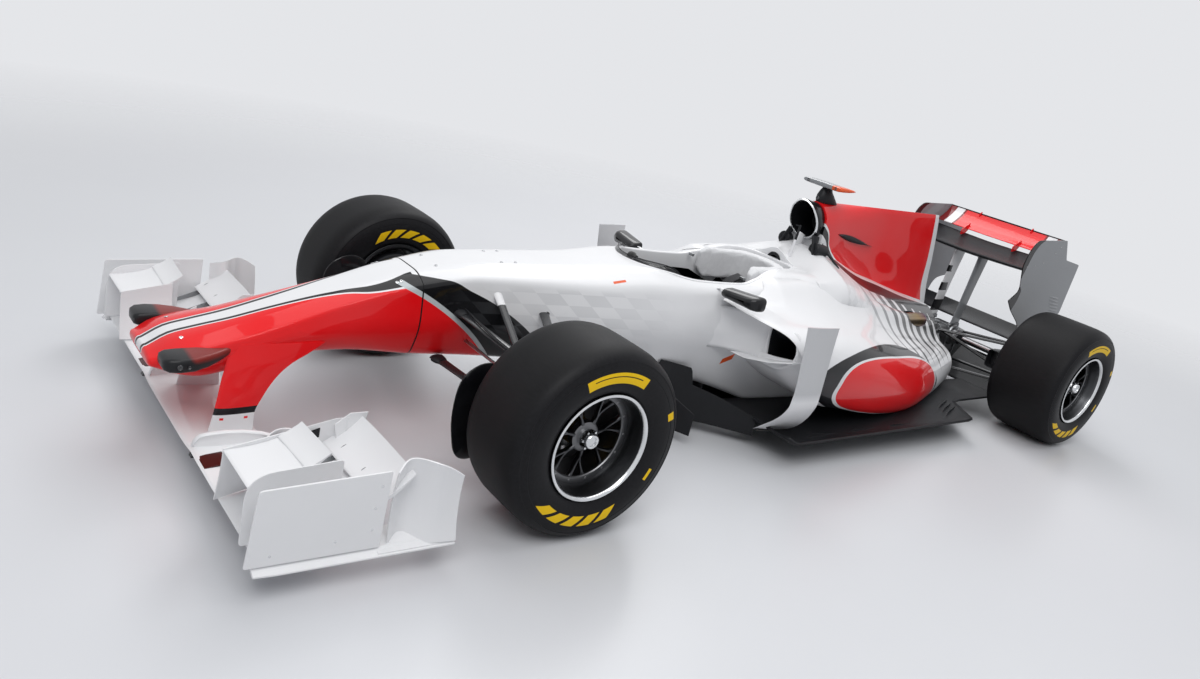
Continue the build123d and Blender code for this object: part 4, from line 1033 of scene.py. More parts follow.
class CAR_OT_neck(bpy.types.Operator):
    """Makes the white fairings round and behind the driver's head, with their round opening"""
    bl_idname = "car.neck"
    bl_label = "Fairings round the head"

    def execute(self, context):
        count = 60
        rings = []
        for t in even(0, 1, 18):
            s = 1.614 + 0.1855 * t
            ease = t * t * (3 - 2 * t)
            top = []
            for i in range(count + 1):
                x = -0.3505 + 0.701 * i / count
                cover = np.interp(abs(x), (0, 0.07, 0.11, 0.27, 0.305, 0.332, 0.3505),
                    (0.792, 0.79, 0.779, 0.714, 0.695, 0.668, 0.62))
                arch = 0.052 * exp(-(x / 0.082) ** 2) * (1 - t) ** 1.3
                top.append(at(x, s, tub_crown(x) * (1 - ease) + cover * ease + arch))
            rings.append(top + [at(0.345, s, 0.58), at(-0.345, s, 0.58)])
        shape = Shape().loft(rings)
        hole = Shape().turn([(-0.05, 0.0), (-0.05, 0.042), (0.05, 0.04), (0.05, 0.0)],
            at(0, 1.622, 0.697), (0, 1, 0.1), 40)
        shape.done("neck_fairing", [white()], cutters=[hole], bevel=0.004, segments=3, angle=50)
        Shape().turn([(-0.003, 0.031), (-0.004, 0.037), (-0.006, 0.042), (-0.004, 0.0455),
            (0.03, 0.0435), (0.03, 0.0), (0.022, 0.0), (0.02, 0.03)], at(0, 1.619, 0.697), (0, 1, 0.1),
            44).done("head_port", [black_satin()], angle=40)
        self.rim()
        probe = Shape().tube([at(0.056, 1.65, 0.742), at(0.054, 1.657, 0.78), at(0.052, 1.664, 0.822)],
            [0.0085, 0.0075, 0.0065], 14)
        probe.tube([at(0.052, 1.664, 0.82), at(0.05, 1.674, 0.886), at(0.0498, 1.675, 0.893)],
            [0.0062, 0.005, 0.0035], 14, slot=1)
        probe.tube([at(0.05, 1.668, 0.888), at(0.05, 1.64, 0.892)], [0.0036, 0.0022], 10, slot=1)
        probe.done("air_speed_probe", [white(), black_satin()])
        return {"FINISHED"}

    @staticmethod
    def rim():
        """The white lip round the opening, with the smooth inner wall below it."""
        outline = cockpit_outline()
        rings = []
        for k, (x, s) in enumerate(outline):
            (x0, s0), (x1, s1) = outline[k - 1], outline[(k + 1) % len(outline)]
            along = Vector((x1 - x0, s1 - s0)).normalized()
            out = Vector((along.y, -along.x))
            top = deck_height(x + out.x * 0.006, s)
            foot = float(np.interp(s, (0.8, 1.28, 1.42), (0.6, 0.582, 0.52)))
            lip = rounded([(-0.007, foot), (0.004, foot), (0.006, top - 0.006), (0.016, top - 0.005),
                (0.013, top + 0.0015), (-0.006, top + 0.001)], [0.002, 0.002, 0.002, 0.002, 0.004,
                0.007], steps=4, straight=1)
            rings.append([at(x + out.x * u, s + out.y * u, z) for u, z in lip])
        Shape().loft(rings + rings[:1], ends=(False, False)).done("cockpit_rim", [white()], angle=60)


class CAR_OT_headrest(bpy.types.Operator):
    """Makes the padded collar round the driver's head, swollen by a cloth simulation"""
    bl_idname = "car.headrest"
    bl_label = "Headrest"

    def execute(self, context):
        path = [(-0.166, 1.285), (-0.148, 1.38), (-0.137, 1.48), (-0.106, 1.55), (0, 1.58),
            (0.106, 1.55), (0.137, 1.48), (0.148, 1.38), (0.166, 1.285)]
        path = bend([at(x, s, 0.65) for x, s in path], 60)
        rings = []
        for k, point in enumerate(path):
            along = heading(path, k)
            inward = Vector((-along.y, along.x, 0)) * -1
            taper = min(1, (min(k, 59 - k) + 1) / 4) ** 0.5
            rings.append([point + inward * u * taper + Vector((0, 0, v * taper))
                for u, v in rounded([(-0.02, -0.088), (0.026, -0.088), (0.032, 0.058), (-0.016, 0.056)],
                [0.012] * 4, steps=3, straight=2)])
        pad = Shape().loft(rings).done("headrest_pad", [cloth("pad")], replaces=["headrest"],
            slot="padding", angle=60, ride=False)
        inflate(pad, 0.004)
        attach(pad, "chassis")
        seams = Shape()
        for lift, off in ((0.044, 0.019), (-0.08, 0.0245)):
            line = []
            for k, point in enumerate(path[2:-2]):
                along = (path[k + 3] - path[k + 1]).normalized()
                line.append(point + Vector((-along.y, along.x, 0)) * -(off + 0.001)
                    + Vector((0, 0, lift)))
            seams.tube(line, 0.0016, 6)
        seams.done("headrest_piping", [cloth("belt")])
        tabs = Shape()
        for side in (1, -1):
            tabs.box(at(side * 0.168 - 0.014, 1.238, 0.655), at(side * 0.168 + 0.014, 1.25, 0.668))
        tabs.done("headrest_catches", [metal("alloy")], bevel=0.002)
        return {"FINISHED"}


def inflate(piece, most):
    """Fills a sewn cover with air: each point may move by no more than a given distance."""
    remesh = piece.modifiers.new("even", "REMESH")
    remesh.mode, remesh.voxel_size, remesh.use_smooth_shade = "VOXEL", 0.0052, True
    apply_modifiers(piece)
    rest = np.array([vertex.co for vertex in piece.data.vertices])
    cloth_made = piece.modifiers.new("air", "CLOTH")
    cloth_made.settings.use_pressure = True
    cloth_made.settings.uniform_pressure_force = 4
    cloth_made.settings.effector_weights.gravity = 0
    scene = bpy.context.scene
    for moment in range(1, 21):
        scene.frame_set(moment)
    apply_modifiers(piece)
    scene.frame_set(1)
    moved = np.array([vertex.co for vertex in piece.data.vertices]) - rest
    reach = np.linalg.norm(moved, axis=1, keepdims=True)
    limited = rest + moved * np.minimum(1, most / np.maximum(reach, 1e-9))
    piece.data.vertices.foreach_set("co", limited.astype(np.float32).ravel())
    piece.modifiers.new("smooth", "SUBSURF").levels = 1
    apply_modifiers(piece)
    piece.data.shade_smooth()


class CAR_OT_seat(bpy.types.Operator):
    """Makes the moulded seat shell, its padded lining and the six-point belts"""
    bl_idname = "car.seat"
    bl_label = "Seat and belts"

    def execute(self, context):
        rows = [  # station, floor z, half width, wing height
            (0.90, 0.300, 0.150, 0.03), (0.98, 0.262, 0.165, 0.07), (1.08, 0.244, 0.175, 0.10),
            (1.18, 0.256, 0.182, 0.12), (1.28, 0.330, 0.188, 0.13), (1.38, 0.432, 0.192, 0.12),
            (1.46, 0.545, 0.196, 0.05),
        ]
        stations = even(0.9, 0.56, 28)
        shell = []
        for s, (low, half, wing) in read(rows, stations):
            ring = []
            for k in range(21):
                t = -1 + k / 10
                side = abs(t) ** 3.2
                ring.append(at(half * sin(t * pi / 2) * (1 - 0.02 * side), s - 0.02 * side,
                    low + wing * side))
            shell.append(ring)
        Shape().skin(shell).done("seat_shell", [carbon()], replaces=["seat"], slot="carbon",
            thick=0.006, angle=60)
        lining = Shape()
        for start, end in ((2, 9), (11, 18), (19, 26)):
            rings = []
            for k in range(start, end + 1):
                bulge = 0.01 * sin(pi * (k - start) / (end - start)) + 0.004
                row = shell[k][4:17]
                rings.append([Vector(p) + Vector((0, -0.3, 0.95)) * (0.001
                    + bulge * sin(pi * i / 12) ** 0.6) for i, p in enumerate(row)])
            lining.skin(rings)
        pad = lining.done("seat_lining", [cloth("suede")], thick=0.01, angle=70)
        inflate(pad, 0.003)
        self.belts()
        return {"FINISHED"}

    @staticmethod
    def belts():
        straps, metalwork = Shape(), Shape()
        for side in (1, -1):
            shoulder = bend([at(side * 0.07, 1.5, 0.6), at(side * 0.082, 1.44, 0.565),
                at(side * 0.088, 1.36, 0.47), at(side * 0.07, 1.26, 0.385), at(side * 0.03, 1.13,
                0.325)], 26)
            lap = bend([at(side * 0.172, 1.17, 0.335), at(side * 0.13, 1.1, 0.315),
                at(side * 0.075, 1.07, 0.312), at(side * 0.03, 1.08, 0.312)], 20)
            crotch = bend([at(side * 0.035, 0.97, 0.285), at(side * 0.03, 1.0, 0.292),
                at(side * 0.02, 1.06, 0.308)], 12)
            for path, half in ((shoulder, 0.025), (lap, 0.024), (crotch, 0.02)):
                straps.tube(path, half, 16, flat=0.07, wide=(1, 0, 0) if path is not lap
                    else (0, 0.8, 0.6))
            metalwork.box(at(side * 0.087 - 0.03, 1.372, 0.484), at(side * 0.087 + 0.03, 1.392, 0.502))
            metalwork.box(at(side * 0.1 - 0.008, 1.075, 0.303), at(side * 0.1 + 0.008, 1.115, 0.325))
        straps.done("seat_belts", [cloth("belt")], angle=60)
        metalwork.disc(at(0, 1.085, 0.312), (0, -0.25, 1), 0.034, 0.016, 32)
        metalwork.disc(at(0, 1.083, 0.327), (0, -0.25, 1), 0.017, 0.006, 24, dish=0.002)
        metalwork.done("belt_buckles", [metal("steel")], bevel=0.002)


class CAR_OT_steering(bpy.types.Operator):
    """Makes the steering wheel with moulded grips, dials, buttons, paddles and display"""
    bl_idname = "car.steering"
    bl_label = "Steering wheel"

    def execute(self, context):
        body = rounded([(-0.085, -0.06), (0.085, -0.06), (0.1, 0.02), (0.075, 0.062), (-0.075, 0.062),
            (-0.1, 0.02)], [0.02, 0.02, 0.03, 0.02, 0.02, 0.03], steps=4, straight=1)
        Shape().prism(body, on_wheel, -0.008, 0.016).done("steering_wheel_body", [carbon()],
            "steering_wheel", ["steering_wheel"], "carbon", bevel=0.003, segments=3)
        grips = Shape()
        for side in (1, -1):
            path = bend([on_wheel(side * 0.072, 0.058, 0.004), on_wheel(side * 0.108, 0.064, 0.006),
                on_wheel(side * 0.122, 0.035, 0.006), on_wheel(side * 0.117, -0.01, 0.006),
                on_wheel(side * 0.112, -0.055, 0.006), on_wheel(side * 0.085, -0.07, 0.004),
                on_wheel(side * 0.062, -0.058, 0.004)], 34)
            radii = [0.01 + 0.0045 * sin(pi * k / 33) ** 0.5 + 0.0012 * cos(k * 1.9) for k in range(34)]
            grips.tube(path, radii, 16)
        grips.done("steering_wheel_grips", [cloth("suede")], "steering_wheel", angle=60)
        panel = Shape()
        display = oblong(-0.042, 0.042, 0.012, 0.048, 0.004, steps=3, straight=0)
        panel.prism(display, on_wheel, 0.012, 0.0185)
        panel.done("steering_display", [lens("screen")], "steering_wheel", bevel=0.001)
        tones = {"red": red, "grey": grey, "white": white, "black": black_satin}
        places = {"red": ((-0.073, 0.034), (0.073, 0.034)), "white": ((-0.08, 0.004), (0.08, 0.004)),
            "grey": ((-0.06, -0.018), (0.06, -0.018), (-0.058, -0.044), (0.058, -0.044)),
            "black": ((-0.025, -0.018), (0.025, -0.018), (0, -0.02), (-0.024, -0.046), (0.024, -0.046))}
        for tone, spots in places.items():
            knobs = Shape()
            for u, v in spots:
                size = 0.009 if tone == "black" else 0.0065
                knobs.disc(on_wheel(u, v, 0.0155), WHEEL_BACK, size, 0.008, 20, dish=0.001)
            knobs.done(f"wheel_knobs_{tone}", [tones[tone]()], "steering_wheel")
        rear = Shape()
        for side in (1, -1):
            for v0, v1 in ((0.012, 0.046), (-0.05, -0.018)):
                outline = [(side * 0.03, v0 + 0.004), (side * 0.105, v0), (side * 0.112, v1),
                    (side * 0.03, v1 - 0.006)]
                rear.prism(outline, on_wheel, -0.021, -0.018)
        boss = [(-0.034, 0.0), (-0.034, 0.026), (-0.024, 0.03), (-0.006, 0.034), (-0.006, 0.0)]
        rear.turn(boss, on_wheel(0, 0, 0), WHEEL_BACK, 36)
        rear.done("shift_paddles", [carbon()], "steering_wheel", bevel=0.001)
        Shape().rod(-0.226, -0.03, 0.0118, on_wheel(0, 0, 0), WHEEL_BACK, 24).done("steering_column",
            [metal("steel")], "steering_wheel", bevel=0.001)
        return {"FINISHED"}


class CAR_OT_screen(bpy.types.Operator):
    """Makes the small smoked windscreen round the front of the cockpit"""
    bl_idname = "car.screen"
    bl_label = "Windscreen"

    def execute(self, context):
        rings = []
        reach = radians(74)
        for turn in even(-74, 148, 48):
            angle = radians(turn)
            x = 0.196 * sin(angle) / sin(reach)
            s = 0.85 - 0.16 * (cos(angle) - cos(reach)) / (1 - cos(reach))
            deck = deck_height(x, s) - 0.003
            edge = max(0.0, 1 - (abs(angle) / reach) ** 6)
            high = (0.015 + 0.013 * sin(angle) ** 2) * edge + 0.002
            rings.append([at(x, s, deck - 0.004), at(x * 0.99, s + high * 0.35, deck + high * 0.5),
                at(x * 0.975, s + high * 0.8, deck + high)])
        Shape().skin(rings).done("windscreen_strip", [smoked()], replaces=["windscreen"], slot="screen",
            thick=0.003, angle=60)
        Shape().tube([Vector(ring[2]) for ring in rings], 0.0016, 8).done("windscreen_edge",
            [black_satin()])
        return {"FINISHED"}


class CAR_OT_mirrors(bpy.types.Operator):
    """Makes the mirrors: glossy dark pods on slim stalks, with glass set in behind"""
    bl_idname = "car.mirrors"
    bl_label = "Mirrors"

    def execute(self, context):
        pods, stalks, glass = Shape(), Shape(), Shape()
        rings = []
        for s, inner, outer, low, high in ((0.975, 0.335, 0.43, 0.642, 0.652),
                (0.981, 0.31, 0.455, 0.63, 0.664), (0.996, 0.298, 0.47, 0.62, 0.673),
                (1.018, 0.294, 0.475, 0.616, 0.677), (1.043, 0.293, 0.476, 0.615, 0.678),
                (1.049, 0.294, 0.475, 0.616, 0.677)):
            outline = rounded([(inner, low + 0.008), (outer, low), (outer, high),
                (inner, high - 0.014)], [0.016, 0.022, 0.022, 0.016], steps=5, straight=3)
            rings.append([at(x, s + 0.16 * (x - 0.3), z) for x, z in outline])
        well = [[(x + (0.385 - x) * share, y + deep, z + (0.646 - z) * share * 1.4)
            for x, y, z in rings[-1]] for share, deep in ((0.035, 0.0), (0.045, -0.008))]
        pods.loft(rings + well)
        pods.mirrored().done("mirror_pods", [black()], replaces=["mirrors"], slot="carbon", angle=45)
        glass.loft([[(x + (0.385 - x) * 0.06, y - lift, z + (0.646 - z) * 0.09)
            for x, y, z in rings[-1]] for lift in (0.0075, 0.005)])
        glass.mirrored().done("mirror_glass", [mirror_glass()], bevel=0.0008)
        stalks.tube(bend([at(0.244, 1.02, 0.64), at(0.275, 1.022, 0.648), at(0.325, 1.03, 0.645)], 10),
            [0.013, 0.01, 0.0085, 0.008, 0.0075, 0.0075, 0.008, 0.0085, 0.0095, 0.011], 16, flat=0.35)
        stalks.mirrored().done("mirror_stalks", [white()], angle=60)
        return {"FINISHED"}


# ---------------- front wing
BOARD_X = 0.86


def foil(x, s, z, chord, angle, thick, camber, place):
    """A wing section with its leading edge at a station and height, its tail up by an angle."""
    turn = radians(angle)
    return [place(x, s + u * cos(turn) - v * sin(turn), z + u * sin(turn) + v * cos(turn))
        for u, v in aerofoil(chord, thick, camber)]


def span(rows, step=0.02, place=at):
    """Wing sections at even steps between rows of x, s, z, chord, angle, thick, camber."""
    return rings_along(lambda x, row: foil(x, *row, place), rows, rows[0][0], rows[-1][0], step)


class CAR_OT_front_wing(bpy.types.Operator):
    """Makes the front wing's main plane with its raised curls beside the flat middle"""
    bl_idname = "car.front_wing"
    bl_label = "Front wing main plane"

    def execute(self, context):
        Shape().loft(span([(0.0, -1.03, 0.106, 0.23, 0, 0.1, 0.0), (0.17, -1.03, 0.106, 0.23, 0, 0.1,
            0.0), (0.235, -1.03, 0.109, 0.235, 3, 0.09, -0.03), (0.29, -1.03, 0.115, 0.24, 8, 0.08,
            -0.06), (0.36, -1.03, 0.113, 0.235, 9, 0.08, -0.06), (0.6, -1.03, 0.112, 0.232, 8, 0.08,
            -0.05), (BOARD_X, -1.03, 0.112, 0.232, 8, 0.08, -0.05)], 0.015)).mirrored().done(
            "front_wing_plane", [white()], replaces=["front_wing_main_plane"], slot="white_paint")
        Shape().slab(((-1.034, 0.104), (-1.031, 0.112), (-1.018, 0.1165), (-0.992, 0.1185),
            (-0.992, 0.112), (-1.02, 0.104)), 0.282, 0.306).mirrored().done("wing_nose_insert",
            [carbon()], bevel=0.0012)
        rings = []
        for s, low, high, lean in ((-1.02, 0.11, 0.12, -0.003), (-1.015, 0.11, 0.142, -0.002),
                (-1.003, 0.112, 0.157, 0.0), (-0.98, 0.113, 0.164, 0.004), (-0.93, 0.117, 0.17, 0.01),
                (-0.88, 0.122, 0.171, 0.018), (-0.83, 0.128, 0.166, 0.027), (-0.79, 0.134, 0.156,
                0.036), (-0.772, 0.137, 0.143, 0.04)):
            rim = min(0.0085, (high - low) * 0.42)
            rings.append([at(0.262 + lean + u, s, z) for u, z in ((-0.014, low),
                (-0.004, low + (high - low) * 0.35), (-0.007, high - 1.4 * rim),
                (-0.009, high - 0.8 * rim), (-0.006, high - 0.2 * rim), (0.0, high),
                (0.006, high - 0.2 * rim), (0.009, high - 0.8 * rim), (0.007, high - 1.4 * rim),
                (0.004, low + (high - low) * 0.35), (0.012, low))])
        Shape().loft(rings).mirrored().done("front_wing_curls", [white()], angle=50)
        # Dark red-brown patches on the main plane, outboard of the curls.
        Shape().slab(((-1.022, 0.118), (-1.0, 0.1235), (-0.955, 0.129), (-0.952, 0.126), (-1.0, 0.119),
            (-1.02, 0.114)), 0.325, 0.4).mirrored().done("front_wing_ballast_covers", [red_brown()],
            bevel=0.001)
        return {"FINISHED"}


class CAR_OT_front_flaps(bpy.types.Operator):
    """Makes the two flaps of each side, their slots, inner ends and fences"""
    bl_idname = "car.front_flaps"
    bl_label = "Front wing flaps"

    def execute(self, context):
        Shape().loft(span([(0.335, -0.872, 0.136, 0.11, 14, 0.1, -0.05), (0.4, -0.85, 0.144, 0.145, 18,
            0.09, -0.07), (0.5, -0.822, 0.152, 0.135, 24, 0.08, -0.07), (BOARD_X, -0.815, 0.154, 0.13,
            25, 0.08, -0.07)])).mirrored().done("front_flap_lower", [white()],
            replaces=["front_wing_flaps"], slot="white_paint")
        Shape().loft(span([(0.488, -0.722, 0.216, 0.138, 40, 0.07, -0.07), (0.62, -0.722, 0.218, 0.14,
            39, 0.065, -0.06), (BOARD_X, -0.722, 0.218, 0.138, 38, 0.065, -0.06)])).mirrored().done(
            "front_flap_upper", [white()])
        rings = []
        for t in even(0, 1, 12):
            turn = radians(180 * t)
            rings.append([at(0.385 - 0.085 * sin(turn) * (1 - 0.5 * v), -0.86 + 0.055 * (1 - cos(turn))
                + 0.01 * v, 0.134 + 0.05 * v * (0.5 + 0.5 * sin(turn)) + 0.03 * t)
                for v in (0, 0.5, 1)])
        Shape().skin(rings).mirrored().done("front_flap_inner_ends", [white()], thick=0.004, angle=60)
        Shape().loft(self.diagonal()).mirrored().done("front_flap_fences", [white()], bevel=0.0012)
        Shape().loft([[at(0.455 + 0.04 * (s + 0.74) / 0.1 + depth, s, z) for s, z in ((-0.775, 0.196),
            (-0.715, 0.228), (-0.712, 0.262), (-0.772, 0.226))]
            for depth in (0.0, 0.0022)]).mirrored().done("front_fence_patches", [carbon()],
            bevel=0.0006)
        Shape().slab([(-0.69, 0.236), (-0.605, 0.292), (-0.598, 0.318), (-0.655, 0.318), (-0.7, 0.284)],
            0.502, 0.502 + 0.004).mirrored().done("front_flap_end_tabs", [white()], bevel=0.0012)
        hinges = Shape()
        for x in (0.56, 0.7, 0.83):
            ring = [(-0.8, 0.168), (-0.7, 0.2), (-0.66, 0.245), (-0.648, 0.262), (-0.69, 0.243),
                (-0.722, 0.214), (-0.8, 0.182)]
            hinges.slab(ring, x, x + 0.003)
        hinges.mirrored().done("flap_slot_brackets", [metal("alloy")], bevel=0.0006)
        return {"FINISHED"}

    @staticmethod
    def diagonal():
        """A low wall that runs outwards and up along the flaps' inner ends."""
        rings = [[at(x, s, low), at(x + 0.004, s, low), at(x + 0.004, s, high), at(x, s, high)]
            for x, s, low, high in ((0.352, -0.868, 0.138, 0.158), (0.4, -0.8, 0.16, 0.214),
            (0.45, -0.735, 0.176, 0.262), (0.488, -0.69, 0.198, 0.296), (0.505, -0.66, 0.232, 0.306))]
        return rings


class CAR_OT_front_boards(bpy.types.Operator):
    """Makes the end boards, their curled footplates and the arched vanes behind them"""
    bl_idname = "car.front_boards"
    bl_label = "Front wing end boards"

    def execute(self, context):
        outline = rounded([(-1.062, 0.1), (-0.7, 0.1), (-0.695, 0.332), (-1.045, 0.318)],
            [0.006, 0.004, 0.006, 0.012], steps=4, straight=0)
        Shape().slab(outline, 0.874, 0.874 + 0.007).mirrored().done("front_boards", [white()],
            replaces=["front_wing_endplates"], slot="white_paint", bevel=0.0018)
        rings = []
        for s in even(-1.04, 0.57, 20):
            curl = max(0.0, min(1.0, (s + 1.04) / 0.05))
            outer = 0.893 + 0.005 * curl
            section = [(0.826, 0.099), (0.872, 0.098), (0.885, 0.088), (outer, 0.083), (outer, 0.078),
                (0.882, 0.0775), (0.866, 0.088), (0.826, 0.092)]
            rings.append([at(x, s, z) for x, z in section])
        Shape().loft(rings).mirrored().done("front_footplates", [white()], bevel=0.001, angle=50)
        rings = []
        for t in even(0, 1, 18):
            s = -0.672 + 0.202 * t
            x = 0.874 - 0.062 * sin(pi * min(1, t * 1.25 + 0.12)) ** 2 * (1 - t) + 0.02 * t
            crest = 0.298 + 0.056 * sin(pi * min(1.0, 0.12 + 0.74 * t)) - 0.02 * t
            rings.append([at(x - 0.012 * v * (1 - v) * 4, s - 0.012 * v * t, 0.09 + (crest - 0.09) * v)
                for v in (0, 0.12, 0.3, 0.5, 0.7, 0.85, 0.95, 1)])
        Shape().skin(rings).mirrored().done("front_arched_vanes", [white()], thick=0.005, bevel=0.001,
            angle=60)
        rings = []
        for s in even(-0.705, 0.235, 10):
            dip = 0.012 * sin(pi * (s + 0.705) / 0.235)
            rings.append([at(0.8, s, 0.105 + dip), at(0.84, s, 0.103 + dip * 0.6), at(0.893, s, 0.088),
                at(0.893, s, 0.083), at(0.84, s, 0.097 + dip * 0.6), at(0.8, s, 0.1 + dip)])
        Shape().loft(rings).mirrored().done("front_foot_tunnels", [white()], bevel=0.0008, angle=50)
        bolts = Shape()
        for s, z in ((-1.0, 0.128), (-0.83, 0.14), (-0.73, 0.16), (-0.72, 0.29), (-0.73, 0.225)):
            bolts.bolt(at(0.8805, s, z), (1, 0, 0), 0.0042, proud=0.0012)
        bolts.mirrored().done("front_board_fasteners", [metal("bright")])
        return {"FINISHED"}


class CAR_OT_cascades(bpy.types.Operator):
    """Makes the small stacked wings on the main plane and the curved walls that carry them"""
    bl_idname = "car.cascades"
    bl_label = "Front wing cascades"

    def execute(self, context):
        Shape().loft(span([(0.602, -1.046, 0.284, 0.17, 12, 0.07, -0.07), (0.7, -1.046, 0.284, 0.172,
            14, 0.07, -0.08), (0.8, -1.046, 0.284, 0.172, 14, 0.07, -0.08)])).mirrored().done(
            "cascade_planes", [white()], replaces=["front_wing_cascades"], slot="white_paint")
        Shape().loft(span([(0.602, -0.905, 0.312, 0.075, 34, 0.08, -0.06), (0.8, -0.9, 0.318, 0.075, 34,
            0.08, -0.06)])).mirrored().done("cascade_flaps", [white()])
        outer = rounded([(-1.052, 0.118), (-0.8, 0.13), (-0.8, 0.338), (-1.052, 0.318)],
            [0.012, 0.01, 0.012, 0.075], steps=8, straight=0)
        Shape().slab(outer, 0.8, 0.8 + 0.0045).mirrored().done("cascade_outer_walls", [white()],
            bevel=0.0012)
        rings = []
        for t in even(0, 1, 14):
            s = -1.046 + 0.17 * t
            top = 0.29 + 0.035 * t
            rings.append([at(0.602 - 0.075 * (1 - v) ** 2 * (0.4 + 0.6 * t), s, 0.119 + 0.014 * t
                + (top - 0.119 - 0.014 * t) * v) for v in (0, 0.15, 0.3, 0.5, 0.7, 0.85, 1)])
        Shape().skin(rings).mirrored().done("cascade_inner_walls", [white()], thick=0.004, bevel=0.0008,
            angle=60)
        rings = []
        for t in even(0, 1, 10):
            s = -0.96 + 0.15 * t
            height = 0.125 * sin(pi * min(1, 0.15 + 0.85 * t) * 0.62) * (0.25 + 0.75 * t)
            rings.append([at(0.475 + 0.03 * t + 0.012 * v * v, s, 0.122 + 0.03 * t + height * v)
                for v in (0, 0.33, 0.66, 1)])
        Shape().skin(rings).mirrored().done("wing_turning_fins", [white()], thick=0.0045, bevel=0.001,
            angle=60)
        return {"FINISHED"}


class CAR_OT_nose_pylons(bpy.types.Operator):
    """Makes the two struts that hang the wing, swept into the nose like an arch"""
    bl_idname = "car.nose_pylons"
    bl_label = "Front wing struts"

    def execute(self, context):
        rows = [(0.104, -0.955, -0.815, 0.178), (0.17, -0.945, -0.818, 0.182),
            (0.23, -0.935, -0.795, 0.178), (0.29, -0.925, -0.755, 0.168), (0.33, -0.915, -0.71, 0.16),
            (0.36, -0.91, -0.655, 0.152), (0.395, -0.9, -0.6, 0.143)]
        heights = even(0.104, 0.291, 28)
        rings = []
        for z, (front, rear, x) in read(rows, heights):
            chord = rear - front
            rings.append([at(x + v, front + u, z) for u, v in aerofoil(chord, 0.0165 / chord)])
        Shape().loft(rings).mirrored().done("nose_struts", [pylon_paint()],
            replaces=["front_wing_pylons"], slot="white_paint")
        pods = Shape()
        lenses = Shape()
        rings = []
        for s, inner, outer, low, high in ((-1.108, 0.156, 0.204, 0.353, 0.372), (-1.104, 0.145, 0.222,
                0.346, 0.378), (-1.09, 0.139, 0.232, 0.342, 0.383), (-1.06, 0.137, 0.236, 0.341, 0.385),
                (-1.02, 0.136, 0.23, 0.342, 0.386), (-0.98, 0.136, 0.212, 0.346, 0.387),
                (-0.94, 0.134, 0.186, 0.353, 0.387), (-0.905, 0.13, 0.158, 0.362, 0.386),
                (-0.885, 0.126, 0.14, 0.37, 0.384)):
            section = rounded([(inner, low), (outer, low), (outer, high), (inner, high)],
                [0.012, 0.014, 0.014, 0.012], steps=4, straight=1)
            rings.append([at(x, s, z) for x, z in section])
        pods.loft(rings).mirrored()
        pods.done("nose_camera_pods", [camera_shell()], replaces=["nose_cameras"], slot="grey_paint",
            angle=45)
        for s, size in ((-1.066, 0.0085), (-1.04, 0.0055)):
            lenses.disc(at(0.2345, s, 0.363), (1, -0.08, 0), size, 0.004, dish=0.002)
        lenses.mirrored().done("nose_camera_lenses", [lens("dark")])
        return {"FINISHED"}


# ---------------- wheels
WHEELS = {  # end of the car: station, inner face, depth of the dish
    "front": (0.0, 0.585, 0.088), "rear": (WHEELBASE, 0.525, 0.070),
}


class CAR_OT_tyres(bpy.types.Operator):
    """Makes the slick tyres with crowned treads, shoulder ribs, moulded rings and beads"""
    bl_idname = "car.tyres"
    bl_label = "Tyres"

    def execute(self, context):
        for end, (station, inner, _) in WHEELS.items():
            for name, side in SIDES.items():
                Shape().turn(self.section(inner), at(0, station, AXLE_Z), (side, 0, 0), 144).done(
                    f"slick_tyre_{end}_{name}", [rubber(station)], f"wheel_{end}_{name}",
                    [f"tyre_{end}_{name}"], "tyre", angle=30)
        return {"FINISHED"}

    @staticmethod
    def section(inner):
        """Half profile of the tyre from bead to bead, as (offset, radius)."""
        outer = HALF_WIDTH
        wall = [(0.0235, 0.178), (0.0215, 0.184), (0.0165, 0.188), (0.012, 0.194), (0.0055, 0.212),
            (0.0022, 0.23), (0.001, 0.25), (0.0018, 0.268), (0.003, 0.2725), (0.0022, 0.2745),
            (0.0042, 0.284), (0.0085, 0.2955), (0.0078, 0.298), (0.0115, 0.3035), (0.018, 0.3105),
            (0.026, 0.3165), (0.036, 0.3215), (0.05, 0.3255)]
        crown = [(inner + (outer - inner) * t, 0.33 - 0.0045 * abs(2 * t - 1) ** 2.5)
            for t in (0.22, 0.32, 0.42, 0.5, 0.58, 0.68, 0.78)]
        lining = [(outer - 0.05, 0.176), (inner + 0.05, 0.176)]
        return ([(inner + u, r) for u, r in wall] + crown + [(outer - u, r) for u, r in reversed(wall)]
            + lining)


